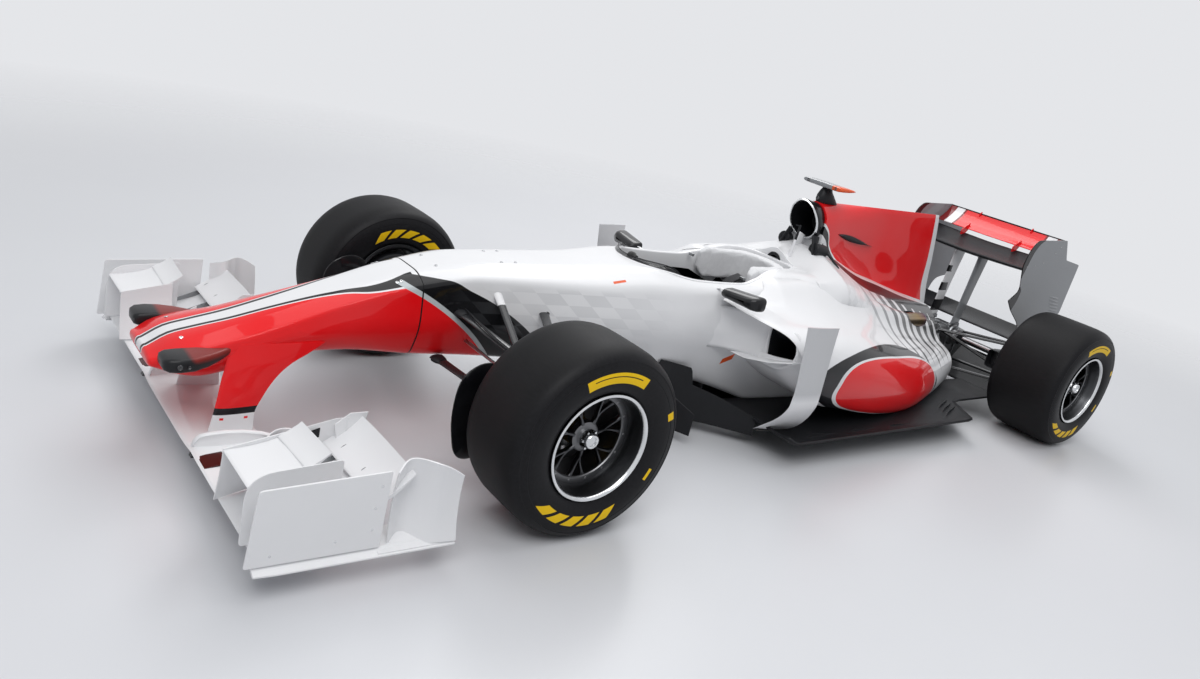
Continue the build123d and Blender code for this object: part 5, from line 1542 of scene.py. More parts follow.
class CAR_OT_rims(bpy.types.Operator):
    """Makes the forged wheels: bright flange, deep barrel, forked spokes, drive ring and nut"""
    bl_idname = "car.rims"
    bl_label = "Wheel rims"

    def execute(self, context):
        for end, (station, inner, dish) in WHEELS.items():
            for name, side in SIDES.items():
                self.wheel(end, name, side, station, inner, dish)
        return {"FINISHED"}

    def wheel(self, end, name, side, station, inner, dish):
        centre, axis = at(0, station, AXLE_Z), (side, 0, 0)
        outer = HALF_WIDTH
        rim = Shape()
        face = outer - dish
        barrel = [(outer - 0.0085, 0.1845), (outer - 0.007, 0.1825), (outer - 0.0075, 0.1765),
            (outer - 0.01, 0.1738), (outer - 0.016, 0.17), (outer - 0.034, 0.169),
            (outer - 0.05, 0.1625), (face + 0.004, 0.1605), (face - 0.012, 0.158),
            (inner + 0.03, 0.158), (inner + 0.018, 0.163), (inner + 0.01, 0.172),
            (inner + 0.009, 0.1825), (inner + 0.0125, 0.1845), (inner + 0.0165, 0.18),
            (inner + 0.022, 0.1755), (inner + 0.045, 0.17), (inner + 0.07, 0.1655),
            (outer - 0.07, 0.1655), (outer - 0.045, 0.17), (outer - 0.022, 0.1755),
            (outer - 0.0165, 0.18), (outer - 0.0125, 0.1845)]
        rim.turn(barrel, centre, axis, 120, slot=lambda i: 1 if i in (0, 1, 2, 3, 22) else 0)
        ring = [(face + 0.002, 0.1605), (face + 0.003, 0.15), (face + 0.0015, 0.141),
            (face - 0.002, 0.1385), (face - 0.009, 0.1385), (face - 0.011, 0.1605)]
        rim.turn(ring, centre, axis, 120, slot=2)
        hub = [(face - 0.004, 0.028), (face - 0.004, 0.046), (face - 0.0065, 0.0505),
            (face - 0.022, 0.0535), (face - 0.034, 0.048), (face - 0.034, 0.028)]
        rim.turn(hub, centre, axis, 64, slot=2)
        count = sizes().spokes
        for k in range(count):
            base = tau * (k + 0.25) / count
            for fork in (-1, 1):
                self.arm(rim, side, station, face, base, fork, count)
        for k in range(count * 2):
            angle = tau * (k + 0.5) / (count * 2) + tau * 0.25 / count
            rim.bolt((side * (face + 0.0022), station + FRONT_AXLE + 0.1495 * cos(angle),
                AXLE_Z + 0.1495 * sin(angle)), axis, 0.0038, slot=3, proud=0.0014)
        rim.done(f"wheel_rim_{end}_{name}", [metal("dark"), metal("bright"), metal("alloy_dark"),
            metal("steel")], f"wheel_{end}_{name}", [f"rim_{end}_{name}"], "rim_metal", angle=32)
        nut = Shape()
        profile = [(face - 0.004, 0.0), (face - 0.004, 0.0315), (face + 0.004, 0.0325),
            (face + 0.008, 0.03), (face + 0.016, 0.0285), (face + 0.03, 0.0262), (face + 0.034, 0.0225),
            (face + 0.034, 0.0165), (face + 0.029, 0.015), (face + 0.029, 0.0)]
        nut.turn(profile, centre, axis, 48)
        for k in range(6):
            angle = tau * k / 6
            out = Vector((0, cos(angle), sin(angle)))
            tip = Vector(centre) + out * 0.0295
            nut.tube([tip + Vector((side * (face + 0.004), 0, 0)),
                tip + Vector((side * (face + 0.022), 0, 0))], 0.0042, 8)
        nut.done(f"wheel_nut_{end}_{name}", [metal("bright")], f"wheel_{end}_{name}", angle=35)
        disc = Shape()
        x = inner + 0.1 if end == "front" else inner + 0.12
        disc.turn([(x - 0.014, 0.072), (x - 0.014, 0.138), (x - 0.0125, 0.139), (x + 0.0125, 0.139),
            (x + 0.014, 0.138), (x + 0.014, 0.072)], centre, axis, 96)
        bell = [(x - 0.004, 0.074), (x + 0.004, 0.074), (x + 0.02, 0.055), (x + 0.045, 0.05),
            (face - 0.03, 0.046), (face - 0.03, 0.036), (x + 0.03, 0.04), (x + 0.006, 0.052)]
        disc.turn(bell, centre, axis, 64, slot=1)
        disc.done(f"brake_disc_{end}_{name}", [metal("disc"), metal("gold")], f"wheel_{end}_{name}")

    @staticmethod
    def arm(rim, side, station, face, base, fork, count):
        """One leg of a forked spoke, from the hub ring out to the drive ring."""
        spread = tau / count * 0.235
        rings = []
        for t in (0.0, 0.12, 0.28, 0.45, 0.62, 0.8, 0.92, 1.0):
            radius = 0.047 + (0.1425 - 0.047) * t
            angle = base + fork * spread * max(0.0, t - 0.28) ** 0.9 * 1.25
            half = 0.0062 - 0.0022 * sin(pi * min(t, 1) * 0.9) + 0.0022 * max(0, t - 0.8) * 5
            drop = 0.006 * sin(pi * t) ** 2
            out = Vector((0, cos(angle), sin(angle)))
            across = Vector((0, -sin(angle), cos(angle)))
            middle = Vector((0, station + FRONT_AXLE, AXLE_Z)) + out * radius
            rings.append([middle + across * u * half + Vector((side * (face - 0.003 - drop - depth), 0,
                0)) for u, depth in ((-0.55, 0.0), (0.55, 0.0), (1, 0.003), (1, 0.014), (0.4, 0.02),
                (-0.4, 0.02), (-1, 0.014), (-1, 0.003))])
        rim.loft(rings)


# ---------------- sidepods and cover
# station, root z, valley x, valley z, shoulder x, shoulder z, waist x, waist z, base x, base z
POD_ROWS = [(1.19, 0.6, 0.4, 0.588, 0.59, 0.566, 0.63, 0.475, 0.56, 0.385),
    (1.26, 0.64, 0.4, 0.59, 0.606, 0.562, 0.652, 0.458, 0.588, 0.335),
    (1.35, 0.69, 0.41, 0.594, 0.618, 0.548, 0.668, 0.436, 0.606, 0.28),
    (1.5, 0.696, 0.42, 0.592, 0.62, 0.524, 0.672, 0.405, 0.606, 0.215),
    (1.65, 0.69, 0.41, 0.578, 0.612, 0.5, 0.668, 0.375, 0.6, 0.184),
    (1.95, 0.65, 0.385, 0.528, 0.575, 0.446, 0.64, 0.315, 0.58, 0.125),
    (2.23, 0.575, 0.345, 0.462, 0.522, 0.394, 0.592, 0.25, 0.548, 0.106),
    (2.6, 0.5, 0.255, 0.398, 0.4, 0.345, 0.47, 0.22, 0.43, 0.104),
    (3.01, 0.42, 0.17, 0.33, 0.25, 0.3, 0.3, 0.23, 0.28, 0.104)]
POD_ROOT = 0.12


def pod_ring(s, row, inward=0.0):
    root_z, valley, valley_z, shoulder, shoulder_z, waist, waist_z, base, base_z = row
    lean = min(0.28, valley - 0.05)
    corners = [(POD_ROOT, base_z + inward), (POD_ROOT, root_z - inward), (lean, root_z - inward),
        (valley, valley_z - inward), (shoulder - inward, shoulder_z - inward),
        (waist - inward, waist_z), (base - inward, base_z + inward)]
    outline = rounded(corners, [0.01, 0.01, 0.04, 0.12, 0.085, 0.11, 0.075], steps=7, straight=3,
        bulge=-0.003)
    return [at(x, s, z) for x, z in outline]


def pod_rings(start, end):
    return rings_along(pod_ring, POD_ROWS, start, end, 0.03)


class CAR_OT_sidepods(bpy.types.Operator):
    """Makes the sidepods with their ducts, radiators and undercut noses"""
    bl_idname = "car.sidepods"
    bl_label = "Sidepods"

    def execute(self, context):
        for name, side in SIDES.items():
            outer = pod_rings(1.19, 3.008)
            lip = []
            for k in range(1, 7):
                angle = radians(15 * k)
                inward = 0.009 * (1 - cos(angle))
                lead = 0.009 * sin(angle)
                lip.append([(x, y - lead, z) for x, y, z in pod_ring(1.19, smooth_rows(POD_ROWS,
                    [1.19])[0], inward)])
            mouth = [self.opening(s, share, drop) for s, share, drop in ((1.196, 1.0, 0),
                (1.204, 0.985, 0), (1.25, 0.9, 0.035), (1.36, 0.82, 0.06), (1.48, 0.78, 0.06),
                (1.6, 0.74, 0.08))]
            shape = Shape().loft(outer[::-1] + lip, ends=(False, False))
            shape.loft([lip[-1]] + mouth[:2], ends=(False, False))
            shape.loft(mouth[1:], slot=1, ends=(False, True))
            shape.verts = [(side * x, y, z) for x, y, z in shape.verts]
            tub = Shape().loft(body_rings(0.9, 1.81, 0.04, -0.0015))
            tail = Shape().loft(cover_rings(TUB_REAR, 3.05, 0.05, -0.0015, deep=True))
            shape.done(f"sidepod_shell_{name}", [pod_paint(), carbon()], replaces=[f"sidepod_{name}"],
                slot="white_paint", cutters=[tub, tail], angle=34)
            self.radiator(name, side)
        self.shelf()
        return {"FINISHED"}

    @staticmethod
    def radiator(name, side):
        block = Shape()
        tilt = 0.1
        corners = [(0.315, 1.52, 0.27), (0.59, 1.58, 0.27), (0.53, 1.58 + tilt, 0.45),
            (0.315, 1.52 + tilt, 0.53)]
        rings = [[at(side * x, s + depth, z) for x, s, z in corners] for depth in (0, 0.05)]
        block.loft(rings)
        block.done(f"radiator_{name}", [core()], bevel=0.003)

    @staticmethod
    def opening(s, share, drop):
        """The duct's mouth, with its corners in the order of the pod's own outline."""
        corners = [(0.452, 0.422), (0.442, 0.48), (0.438, 0.54), (0.505, 0.56), (0.586, 0.568),
            (0.613, 0.515), (0.604, 0.458)]
        corners = [(0.52 + (x - 0.52) * share, 0.48 + (z - 0.48) * share - drop) for x, z in corners]
        outline = rounded(corners, [0.008, 0.02, 0.01, 0.03, 0.026, 0.04, 0.022], steps=7, straight=3)
        return [at(x, s, z) for x, z in outline]

    @staticmethod
    def shelf():
        """The thin blade below each intake, and the cheek that runs from the tub out to it."""
        Shape().loft([[at(x, s + u, z + v) for u, v in aerofoil(0.12, 0.07, 0.02, 8)]
            for x, s, z in ((0.3, 1.115, 0.386), (0.42, 1.105, 0.396), (0.54, 1.115, 0.426),
            (0.63, 1.145, 0.458))]).mirrored().done("intake_blades", [white()])
        rings = []
        roof = sorted(point for point in pod_rings(1.22, 1.23)[0] if point[2] > 0.5)
        for k in range(33):
            x = 0.235 + 0.395 * k / 32
            lead = float(np.interp(x, (0.2, 0.3, 0.4, 0.5, 0.55, 0.6, 0.63), (1.02, 1.04, 1.085, 1.122,
                1.142, 1.168, 1.195)))
            top = float(np.interp(x, [point[0] for point in roof], [point[2] for point in roof]))
            ring = []
            for t, lift in ((1, 0.001), (0.8, 0.0012), (0.6, 0.001), (0.4, 0), (0.2, -0.001),
                    (0.06, -0.003), (0.0, -0.007), (0.03, -0.01), (0.2, -0.01), (0.6, -0.009),
                    (1, -0.008)):
                ring.append(at(x, lead + (1.235 - lead) * t, top + lift - 0.004 * (1 - t) ** 2))
            rings.append(ring)
        Shape().loft(rings).mirrored().done("intake_brows", [white()], angle=50)
        rings = []
        for k in range(13):
            z = 0.392 + 0.188 * k / 12
            ring = []
            for t in even(0, 1, 16):
                s = 0.9 + 0.302 * t
                flank = float(np.interp(z, (0.3, 0.4, 0.476, 0.6, 0.67), (0.245, 0.292, 0.3095, 0.288,
                    0.268))) + 0.06 * (s - 1.0)
                ring.append(at(flank - 0.022 + (0.463 - flank) * t ** 3, s, z))
            rings.append(ring)
        Shape().skin(rings).mirrored().done("intake_cheeks", [white()], thick=0.004, angle=60)


# station, crown half, crown z, crease half, crease z, waist half, waist z, keel half, keel z
COVER_ROWS = [(1.8, 0.085, 0.79, 0.29, 0.708, 0.35, 0.64, 0.352, 0.52),
    (2.0, 0.08, 0.742, 0.262, 0.655, 0.336, 0.58, 0.338, 0.475),
    (2.2, 0.072, 0.68, 0.232, 0.596, 0.316, 0.52, 0.32, 0.43),
    (2.64, 0.05, 0.575, 0.158, 0.515, 0.222, 0.44, 0.224, 0.34),
    (3.01, 0.03, 0.492, 0.098, 0.44, 0.124, 0.38, 0.126, 0.302)]
FIN_TOP = 1.004
EXHAUST_X, EXHAUST_Z = 0.196, 0.47


def cover_ring(s, row, inward=0.0, deep=False):
    crown, crown_z, crease, crease_z, waist, waist_z, keel, keel_z = row
    keel_z = keel_z - 0.3 if deep else keel_z
    half = [(crown - inward, crown_z - inward), (crease - inward, crease_z - inward),
        (waist - inward, waist_z), (keel - inward, keel_z)]
    corners = [(-x, z) for x, z in half[::-1]] + half
    outline = rounded(corners, [0.01, 0.06, 0.06, 0.05, 0.05, 0.06, 0.06, 0.01], steps=6, straight=3,
        bulge=-0.003)
    return [at(x, s, z) for x, z in outline]


def cover_rings(start, end, step=0.03, inward=0.0, deep=False):
    return rings_along(lambda s, row: cover_ring(s, row, inward, deep), COVER_ROWS, start, end, step)


class CAR_OT_cover(bpy.types.Operator):
    """Makes the engine cover and the tall fin that grows from it to the rear wing"""
    bl_idname = "car.cover"
    bl_label = "Engine cover"

    def execute(self, context):
        cover = Shape().loft(cover_rings(TUB_REAR, 3.008), ends=(False, False))
        pipes = Shape()
        for side in (1, -1):
            pipes.rod(-0.5, 0.5, 0.047, at(side * EXHAUST_X, 2.9, EXHAUST_Z), (0, 1, 0), 40)
        cover.done("engine_cover_shell", [cover_paint(), carbon()], replaces=["engine_cover"],
            slot="white_paint", thick=0.006, cutters=[pipes], angle=34)
        self.fin()
        self.details()
        return {"FINISHED"}

    @staticmethod
    def fin():
        """Swells at its foot and round the duct, and thins to a blade at its top and tail."""
        rear = [(0.45, 3.004), (0.497, 3.0), (0.62, 2.958), (0.758, 2.932), (0.9, 2.893),
            (FIN_TOP, 2.858)]
        levels = [0.0, 0.03, 0.08, 0.15, 0.25, 0.37, 0.5, 0.63, 0.75, 0.85, 0.93, 0.975, 1.0]
        rings = []
        shares = even(0, 1, 34)
        foot_rows = smooth_rows(COVER_ROWS, [TUB_REAR + 1.2 * share for share in shares])
        for share, foot in zip(shares, foot_rows):
            ring, other = [], []
            for level in levels:
                low = foot[1] - 0.02
                z = low + (FIN_TOP - low) * level
                tail = np.interp(z, [p[0] for p in rear], [p[1] for p in rear])
                s = TUB_REAR + (tail - TUB_REAR) * share
                front = 0.088 if 0.82 < z < 0.95 else 0.085
                nose = front * (1 - 0.72 * max(0, (z - 0.93) / 0.075) ** 2)
                body = nose * max(0.0, 1 - ((s - TUB_REAR) / 0.62)) ** 1.5
                blade = 0.0065 + 0.03 * (1 - level) ** 5 * (1 - share) + 0.012 * (1 - level) ** 8
                half = max(body, 0) + blade * min(1, share * 6 + 0.4)
                half *= 1 - 0.55 * max(0, share - 0.93) / 0.07
                if level > 0.95:
                    half *= 0.7 if level < 1 else 0.12
                ring.append((half, s, z))
                other.append((-half, s, z))
            rings.append([at(*p) for p in ring + other[::-1]])
        shape = Shape().loft(rings)
        duct = Shape().turn([(-0.05, 0.0), (-0.05, 0.082), (-0.02, 0.0765), (0.06, 0.0585),
            (0.062, 0.0)], at(0, 1.82, 0.915), (0, 1, 0), 40)
        shape.done("cover_fin", [cover_paint(), carbon()], cutters=[duct], angle=40)

    @staticmethod
    def details():
        slots = Shape()
        for side in (1, -1):
            start, end = Vector((1.955, 0.866, 0)), Vector((2.315, 0.806, 0))
            rings = []
            for t in even(0, 1, 14):
                middle = start.lerp(end, t)
                half = 0.017 * sin(pi * min(1, t * 1.15)) ** 0.8 * (1 - 0.35 * t) + 0.0006
                outer = 0.062 - 0.047 * t
                rings.append([at(side * (outer + depth), middle.x, middle.y + v * half)
                    for depth, v in ((-0.006, -1), (0.006, -0.9), (0.01, 0), (0.006, 0.9),
                    (-0.006, 1))])
            slots.loft(rings)
        slots.done("fin_slots", [black_satin()], angle=50)


class CAR_OT_airbox(bpy.types.Operator):
    """Makes the roll hoop's intake: a black nacelle with a silver lip on open legs"""
    bl_idname = "car.airbox"
    bl_label = "Roll hoop and intake"

    def execute(self, context):
        rings = []
        count = 40
        rows = ((1.8, 0.082, 0.088, 0.916), (1.785, 0.086, 0.094, 0.916), (1.76, 0.09, 0.098, 0.917),
            (1.745, 0.089, 0.0975, 0.917), (1.738, 0.085, 0.093, 0.917), (1.74, 0.08, 0.088, 0.917),
            (1.755, 0.077, 0.084, 0.917), (1.8, 0.07, 0.076, 0.917), (1.876, 0.054, 0.057, 0.915))
        for s, half_x, half_z, z in rows:
            ring = []
            for k in range(count):
                angle = tau * k / count
                up = sin(angle)
                lean = -0.13 * up * half_z if s < 1.79 else 0
                ring.append(at(half_x * cos(angle) * (1 - 0.12 * up), s + lean * 2.6,
                    z + half_z * up * (0.94 if up > 0 else 1)))
            rings.append(ring)
        Shape().loft(rings, slot=lambda r, i: 1 if r in (3, 4) else 0, ends=(False, True)).done(
            "intake_nacelle", [black(), metal("bright")], replaces=["roll_hoop"], slot="carbon",
            angle=45)
        # painted shade: the legs and the side ducts are dark satin because they sit in shadow under the
        # intake
        legs = Shape()
        for x0, x1 in ((0.075, 0.12), (-0.075, -0.12)):
            legs.tube(bend([at(x0, 1.775, 0.85), at((x0 + x1) / 2, 1.765, 0.79), at(x1, 1.775, 0.72)],
                10), [0.026, 0.024, 0.022, 0.02, 0.02, 0.02, 0.022, 0.025, 0.03, 0.035], 16, flat=0.42)
        legs.done("hoop_legs", [black_satin()], angle=50)
        Shape().tube([at(0, 1.72, 0.7), at(0, 1.752, 0.79), at(0, 1.772, 0.84)], 0.03, 14,
            flat=0.25).done("hoop_blade", [white()], angle=50)
        side_duct = Shape()
        for side in (1, -1):
            side_duct.turn([(-0.02, 0.012), (-0.02, 0.028), (-0.016, 0.0315), (0.05, 0.03),
                (0.07, 0.02), (0.06, 0.012)], at(side * 0.098, 1.775, 0.792), (side * 0.1, 1, -0.1), 28)
        side_duct.done("hoop_side_ducts", [black_satin()], angle=40)
        gutter = Shape()
        path = bend([at(0.075, 1.81, 0.86), at(0.095, 1.83, 0.8), at(0.14, 1.86, 0.762),
            at(0.185, 1.87, 0.73)], 12)
        gutter.tube(path, 0.006, 10).mirrored()
        gutter.done("cover_front_seals", [black_satin()])
        return {"FINISHED"}


# ---------------- floor
FLOOR_TOP = 0.104
MIDDLE_TOP = 0.054
MIDDLE_HALF = 0.25
TAIL_HALF = 0.49
FLOOR_CORNER = 1.235


class CAR_OT_vanes(bpy.types.Operator):
    """Makes the tall turning vanes that sweep in to the floor ahead of the sidepods"""
    bl_idname = "car.vanes"
    bl_label = "Sidepod vanes"

    def execute(self, context):
        rows = [  # height, leading x and station, trailing x and station
            (0.104, 0.505, 1.190, 0.545, 1.352), (0.140, 0.545, 1.186, 0.590, 1.350),
            (0.200, 0.612, 1.172, 0.642, 1.335), (0.250, 0.655, 1.158, 0.672, 1.322),
            (0.300, 0.680, 1.148, 0.692, 1.310), (0.400, 0.690, 1.134, 0.701, 1.293),
            (0.500, 0.690, 1.120, 0.703, 1.284), (0.640, 0.688, 1.097, 0.703, 1.277),
        ]
        heights = even(0.104, 0.536, 44)
        rings = []
        for z, (lead_x, lead_s, trail_x, trail_s) in read(rows, heights):
            start = Vector((lead_x, lead_s, 0))
            way = Vector((trail_x, trail_s, 0)) - start
            out = Vector((way.y, -way.x, 0)).normalized()
            chord = way.length
            rings.append([at(*(start + way * (u / chord) + out * v).to_2d(), z)
                for u, v in aerofoil(chord, 0.052, 0.025, 12)])
        Shape().loft(rings).mirrored().done("sidepod_turning_vanes", [vane_paint()],
            replaces=["sidepod_vanes"], slot="white_paint", bevel=0.0012, angle=50)
        feet = Shape()
        foot = rounded([(0.5, 1.196), (0.53, 1.186), (0.562, 1.34), (0.545, 1.36), (0.525, 1.35)],
            [0.008] * 5, steps=3, straight=0)
        feet.prism(foot, at, 0.1035, 0.109)
        for x, s in ((0.518, 1.205), (0.549, 1.343)):
            feet.bolt(at(x, s, 0.109), (0, 0, 1), 0.0042)
        feet.mirrored().done("vane_feet", [carbon()], bevel=0.001)
        return {"FINISHED"}


class CAR_OT_floor(bpy.types.Operator):
    """Makes the stepped floor with rolled edges, its splitter, keel and fasteners"""
    bl_idname = "car.floor"
    bl_label = "Floor"

    def execute(self, context):
        shape = Shape()
        tail = WHEELBASE
        middle = rounded([(-0.15, 0.35), (0.15, 0.35), (MIDDLE_HALF, 1.24), (MIDDLE_HALF, tail),
            (-MIDDLE_HALF, tail), (-MIDDLE_HALF, 1.24)], [0.05, 0.05, 0.04, 0.005, 0.005, 0.04],
            steps=6, straight=1)
        levels = ((0.04, 0.985), (0.0425, 1.0), (0.0515, 1.0), (MIDDLE_TOP, 0.985))
        shape.loft([[at(x * share, tail + (s - tail) * (1 - (1 - share) * 0.1), z) for x, s in middle]
            for z, share in levels])
        shape.done("floor_middle", [carbon()], replaces=["floor"], slot="carbon")
        self.sides()
        self.keel()
        return {"FINISHED"}

    @staticmethod
    def sides():
        """Each stepped side: its front edge rolls up and its outer edge turns up slightly."""
        stations = [FLOOR_CORNER - 0.02 + 0.01 * k for k in range(8)]
        stations += even(1.33, WHEELBASE - 1.33, 60)
        rings = []
        for s in stations:
            outer = np.interp(s, [1.2, 2.6, 2.66, 2.78, 2.84, 4], [0.7, 0.7, 0.685, 0.505, TAIL_HALF,
                TAIL_HALF])
            corner = max(0.0, (1.275 - s) / 0.06)
            outer -= 0.02 * corner ** 2
            roll = 0.026 * corner ** 2
            ring = []
            for t in even(0, 1, 24):
                x = 0.236 + (outer - 0.236) * t
                lift = 0.01 * max(0.0, (t - 0.93) / 0.07) ** 2
                ring.append(at(x, s, FLOOR_TOP + roll * (1 - 0.5 * (1 - t) ** 3) + lift))
            rings.append(ring)
        Shape().skin(rings).mirrored().done("floor_sides", [black_satin()], thick=0.01, angle=50)
        step = Shape()
        step.box(at(0.234, 1.26, 0.042), at(0.2495, WHEELBASE, FLOOR_TOP - 0.004))
        for k in range(18):
            s = 1.32 + k * 0.082
            step.bolt(at(0.672 if s < 2.6 else 0.47, s, FLOOR_TOP + 0.0012), (0, 0, 1), 0.0046)
        for k in range(9):
            step.bolt(at(0.285, 1.35 + k * 0.21, FLOOR_TOP), (0, 0, 1), 0.0046)
        step.mirrored().done("floor_steps", [carbon()])
        skirt = Shape()
        for s0, s1, high in ((1.36, 1.6, 0.022), (1.66, 1.9, 0.02), (1.96, 2.2, 0.018)):
            outline = rounded([(s0, 0.104), (s1, 0.104), (s1 - 0.01, 0.104 + high * 0.5),
                (s0 + 0.05, 0.104 + high)], [0.002, 0.002, 0.006, 0.02], steps=4, straight=0)
            skirt.slab(outline, 0.64, 0.6425)
        skirt.mirrored().done("floor_fences", [carbon()], bevel=0.0008)
        brush = Shape()
        s0, s1 = 2.62, 2.78
        for k in range(3):
            x0 = 0.62 - 0.03 * k
            outline = [(s0 - 0.12 + 0.03 * k, 0.104), (s1 - 0.08 + 0.02 * k, 0.104),
                (s1 - 0.1 + 0.02 * k, 0.128), (s0 - 0.08 + 0.03 * k, 0.132)]
            brush.prism(outline, lambda u, v, depth, x0=x0: at(x0 - (u - 2.5) * 0.35 + depth, u, v),
                0.0, 0.0025)
        brush.mirrored().done("rear_floor_fences", [carbon()], bevel=0.0008)

    @staticmethod
    def keel():
        """The keel from the tub down to the splitter, and the splitter's stay."""
        rings = []
        stations = [0.44, 0.447, 0.465, 0.5, 0.6, 0.8, 1.0, 1.2, 1.24]
        rows = smooth_rows(BODY_ROWS, stations)
        for s, row, half in zip(stations, rows, (0.002, 0.012, 0.02, 0.026, 0.03, 0.034, 0.05, 0.1,
                0.12)):
            top = row[7] + 0.012
            rings.append([at(x, s, z) for x, z in ((-half * 1.5, MIDDLE_TOP - 0.004),
                (-half, MIDDLE_TOP + 0.02), (-half, top - 0.02), (-half * 1.3, top), (half * 1.3, top),
                (half, top - 0.02), (half, MIDDLE_TOP + 0.02), (half * 1.5, MIDDLE_TOP - 0.004))])
        Shape().loft(rings).done("splitter_keel", [carbon()], angle=50)
        stay = Shape().tube([at(0, 0.4, 0.05), at(0, 0.392, 0.2), at(0, 0.385, 0.283)], 0.012, 14,
            flat=0.4)
        stay.disc(at(0, 0.4, 0.0525), (0, 0, 1), 0.016, 0.006)
        stay.done("splitter_stay", [metal("steel")])


class CAR_OT_plank(bpy.types.Operator):
    """Makes the wooden skid plank with its metal skids"""
    bl_idname = "car.plank"
    bl_label = "Skid plank"

    def execute(self, context):
        low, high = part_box("plank")
        front, rear = low.y - FRONT_AXLE, high.y - FRONT_AXLE
        outline = rounded([(low.x, front), (high.x, front), (high.x, rear), (low.x, rear)],
            [0.06, 0.06, 0.02, 0.02], steps=6, straight=6)
        Shape().prism(outline, at, low.z + 0.0004, high.z).done("skid_plank", [wood()],
            replaces=["plank"], slot="carbon", bevel=0.0025)
        skids = Shape()
        for x, s in ((0, front + 0.12), (-0.075, 1.25), (0.075, 1.25), (0, 1.9), (0, rear - 0.25)):
            skids.disc(at(x, s, low.z + 0.003), (0, 0, -1), 0.026, 0.0028, 36, dish=0.0004)
            for k in range(3):
                angle = tau * k / 3
                skids.bolt(at(x + 0.04 * cos(angle), s + 0.04 * sin(angle), low.z + 0.0012), (0, 0, -1),
                    0.005, proud=0.001)
        skids.done("plank_skids", [metal("titanium")])
        return {"FINISHED"}


class CAR_OT_diffuser(bpy.types.Operator):
    """Makes the diffuser's curved roof and its upright fences"""
    bl_idname = "car.diffuser"
    bl_label = "Diffuser"

    def execute(self, context):
        length = 0.338
        rings = []
        for t in even(0, 1, 20):
            z = 0.094 + 0.116 * (t * 0.75 + 0.25 * t * t)
            rings.append([behind(-TAIL_HALF + 2 * TAIL_HALF * i / 24, length * t, z)
                for i in range(25)])
        rings.append([(x, y + 0.001, z + 0.012) for x, y, z in rings[-1]])
        Shape().skin(rings).done("diffuser_roof", [carbon()], replaces=["diffuser"], slot="carbon",
            thick=0.005, angle=60)
        fences = Shape()
        for x in (0.487, 0.33, 0.243, 0.09):
            foot = 0.012 if x < 0.4 else 0.0
            outline = rounded([(0.0, 0.062), (0.31, 0.09 + foot), (length, 0.115 + foot),
                (length, 0.205), (0.17, 0.152), (0, 0.094)], [0.004, 0.03, 0.02, 0.004, 0.004, 0.004],
                steps=4, straight=2)
            fences.slab(outline, x - 0.0028, x + 0.0028, behind)
        fences.mirrored().done("diffuser_fences", [carbon()], bevel=0.0014)
        return {"FINISHED"}


class CAR_OT_bargeboards(bpy.types.Operator):
    """Makes the curved boards that stand on the splitter under the tub"""
    bl_idname = "car.bargeboards"
    bl_label = "Bargeboards"

    def execute(self, context):
        boards = (  # front x, front station, rear station, heights along the top edge
            (0.206, 0.705, 0.900, ((0, 0.12), (0.1, 0.19), (0.6, 0.205), (1, 0.15))),
            (0.262, 0.805, 1.228, ((0, 0.26), (0.05, 0.318), (0.36, 0.290), (0.40, 0.215), (0.7, 0.18),
                                   (1, 0.135))),
        )
        shape = Shape()
        for front_x, front_s, rear_s, tops in boards:
            path = bend([(front_x - 0.043, front_s, 0), (front_x + 0.027, (front_s + rear_s) / 2, 0),
                (front_x + 0.217, rear_s, 0)], 61)
            rings = []
            for k, point in enumerate(path):
                along = heading(path, k)
                out = Vector((along.y, -along.x, 0))
                t = k / 60
                top = np.interp(t, *zip(*tops))
                half = 0.0028 * min(1, 0.3 + 4 * t, 0.3 + 4 * (1 - t))
                rings.append([at(*(point + out * half * u).to_2d(), 0.052 + (top - 0.052) * v)
                    for u, v in ((-1, 0), (-1, 0.5), (-0.9, 0.985), (0, 1), (0.9, 0.985), (1, 0.5),
                    (1, 0))])
            shape.loft(rings)
        shape.mirrored().done("bargeboard_plates", [black_satin()], replaces=["bargeboards"],
            slot="carbon", bevel=0.0006, angle=50)
        return {"FINISHED"}


# ---------------- suspension and steering
KINGPIN_X = 0.695
KINGPIN_LEAN = radians(5)
JOINT_REACH = 0.086
FENCE_X = 0.545


def kingpin(side, x, y, z):
    """A point from the kingpin's middle: outwards, rearwards and up the leaning pin."""
    return Vector((side * (KINGPIN_X + x * cos(KINGPIN_LEAN) - z * sin(KINGPIN_LEAN)), FRONT_AXLE + y,
        AXLE_Z + x * sin(KINGPIN_LEAN) + z * cos(KINGPIN_LEAN)))


def wing_leg(shape, start, end, chord, thick, cap=0.0):
    """A suspension leg: a blunt-nosed blade that narrows a little towards its outer end."""
    path = bend([start, Vector(start).lerp(Vector(end), 0.5), end], 24)
    radii = [chord / 2 * (1 + 0.18 * max(0, 1 - k / 5) ** 2 - 0.12 * max(0, (k - 20) / 3))
        for k in range(24)]
    base = len(shape.slots)
    shape.tube(path, radii, 20, flat=thick / chord)
    if cap:
        for i in range(base, base + 20 * int(24 * cap)):
            shape.slots[i] = 1
    return shape


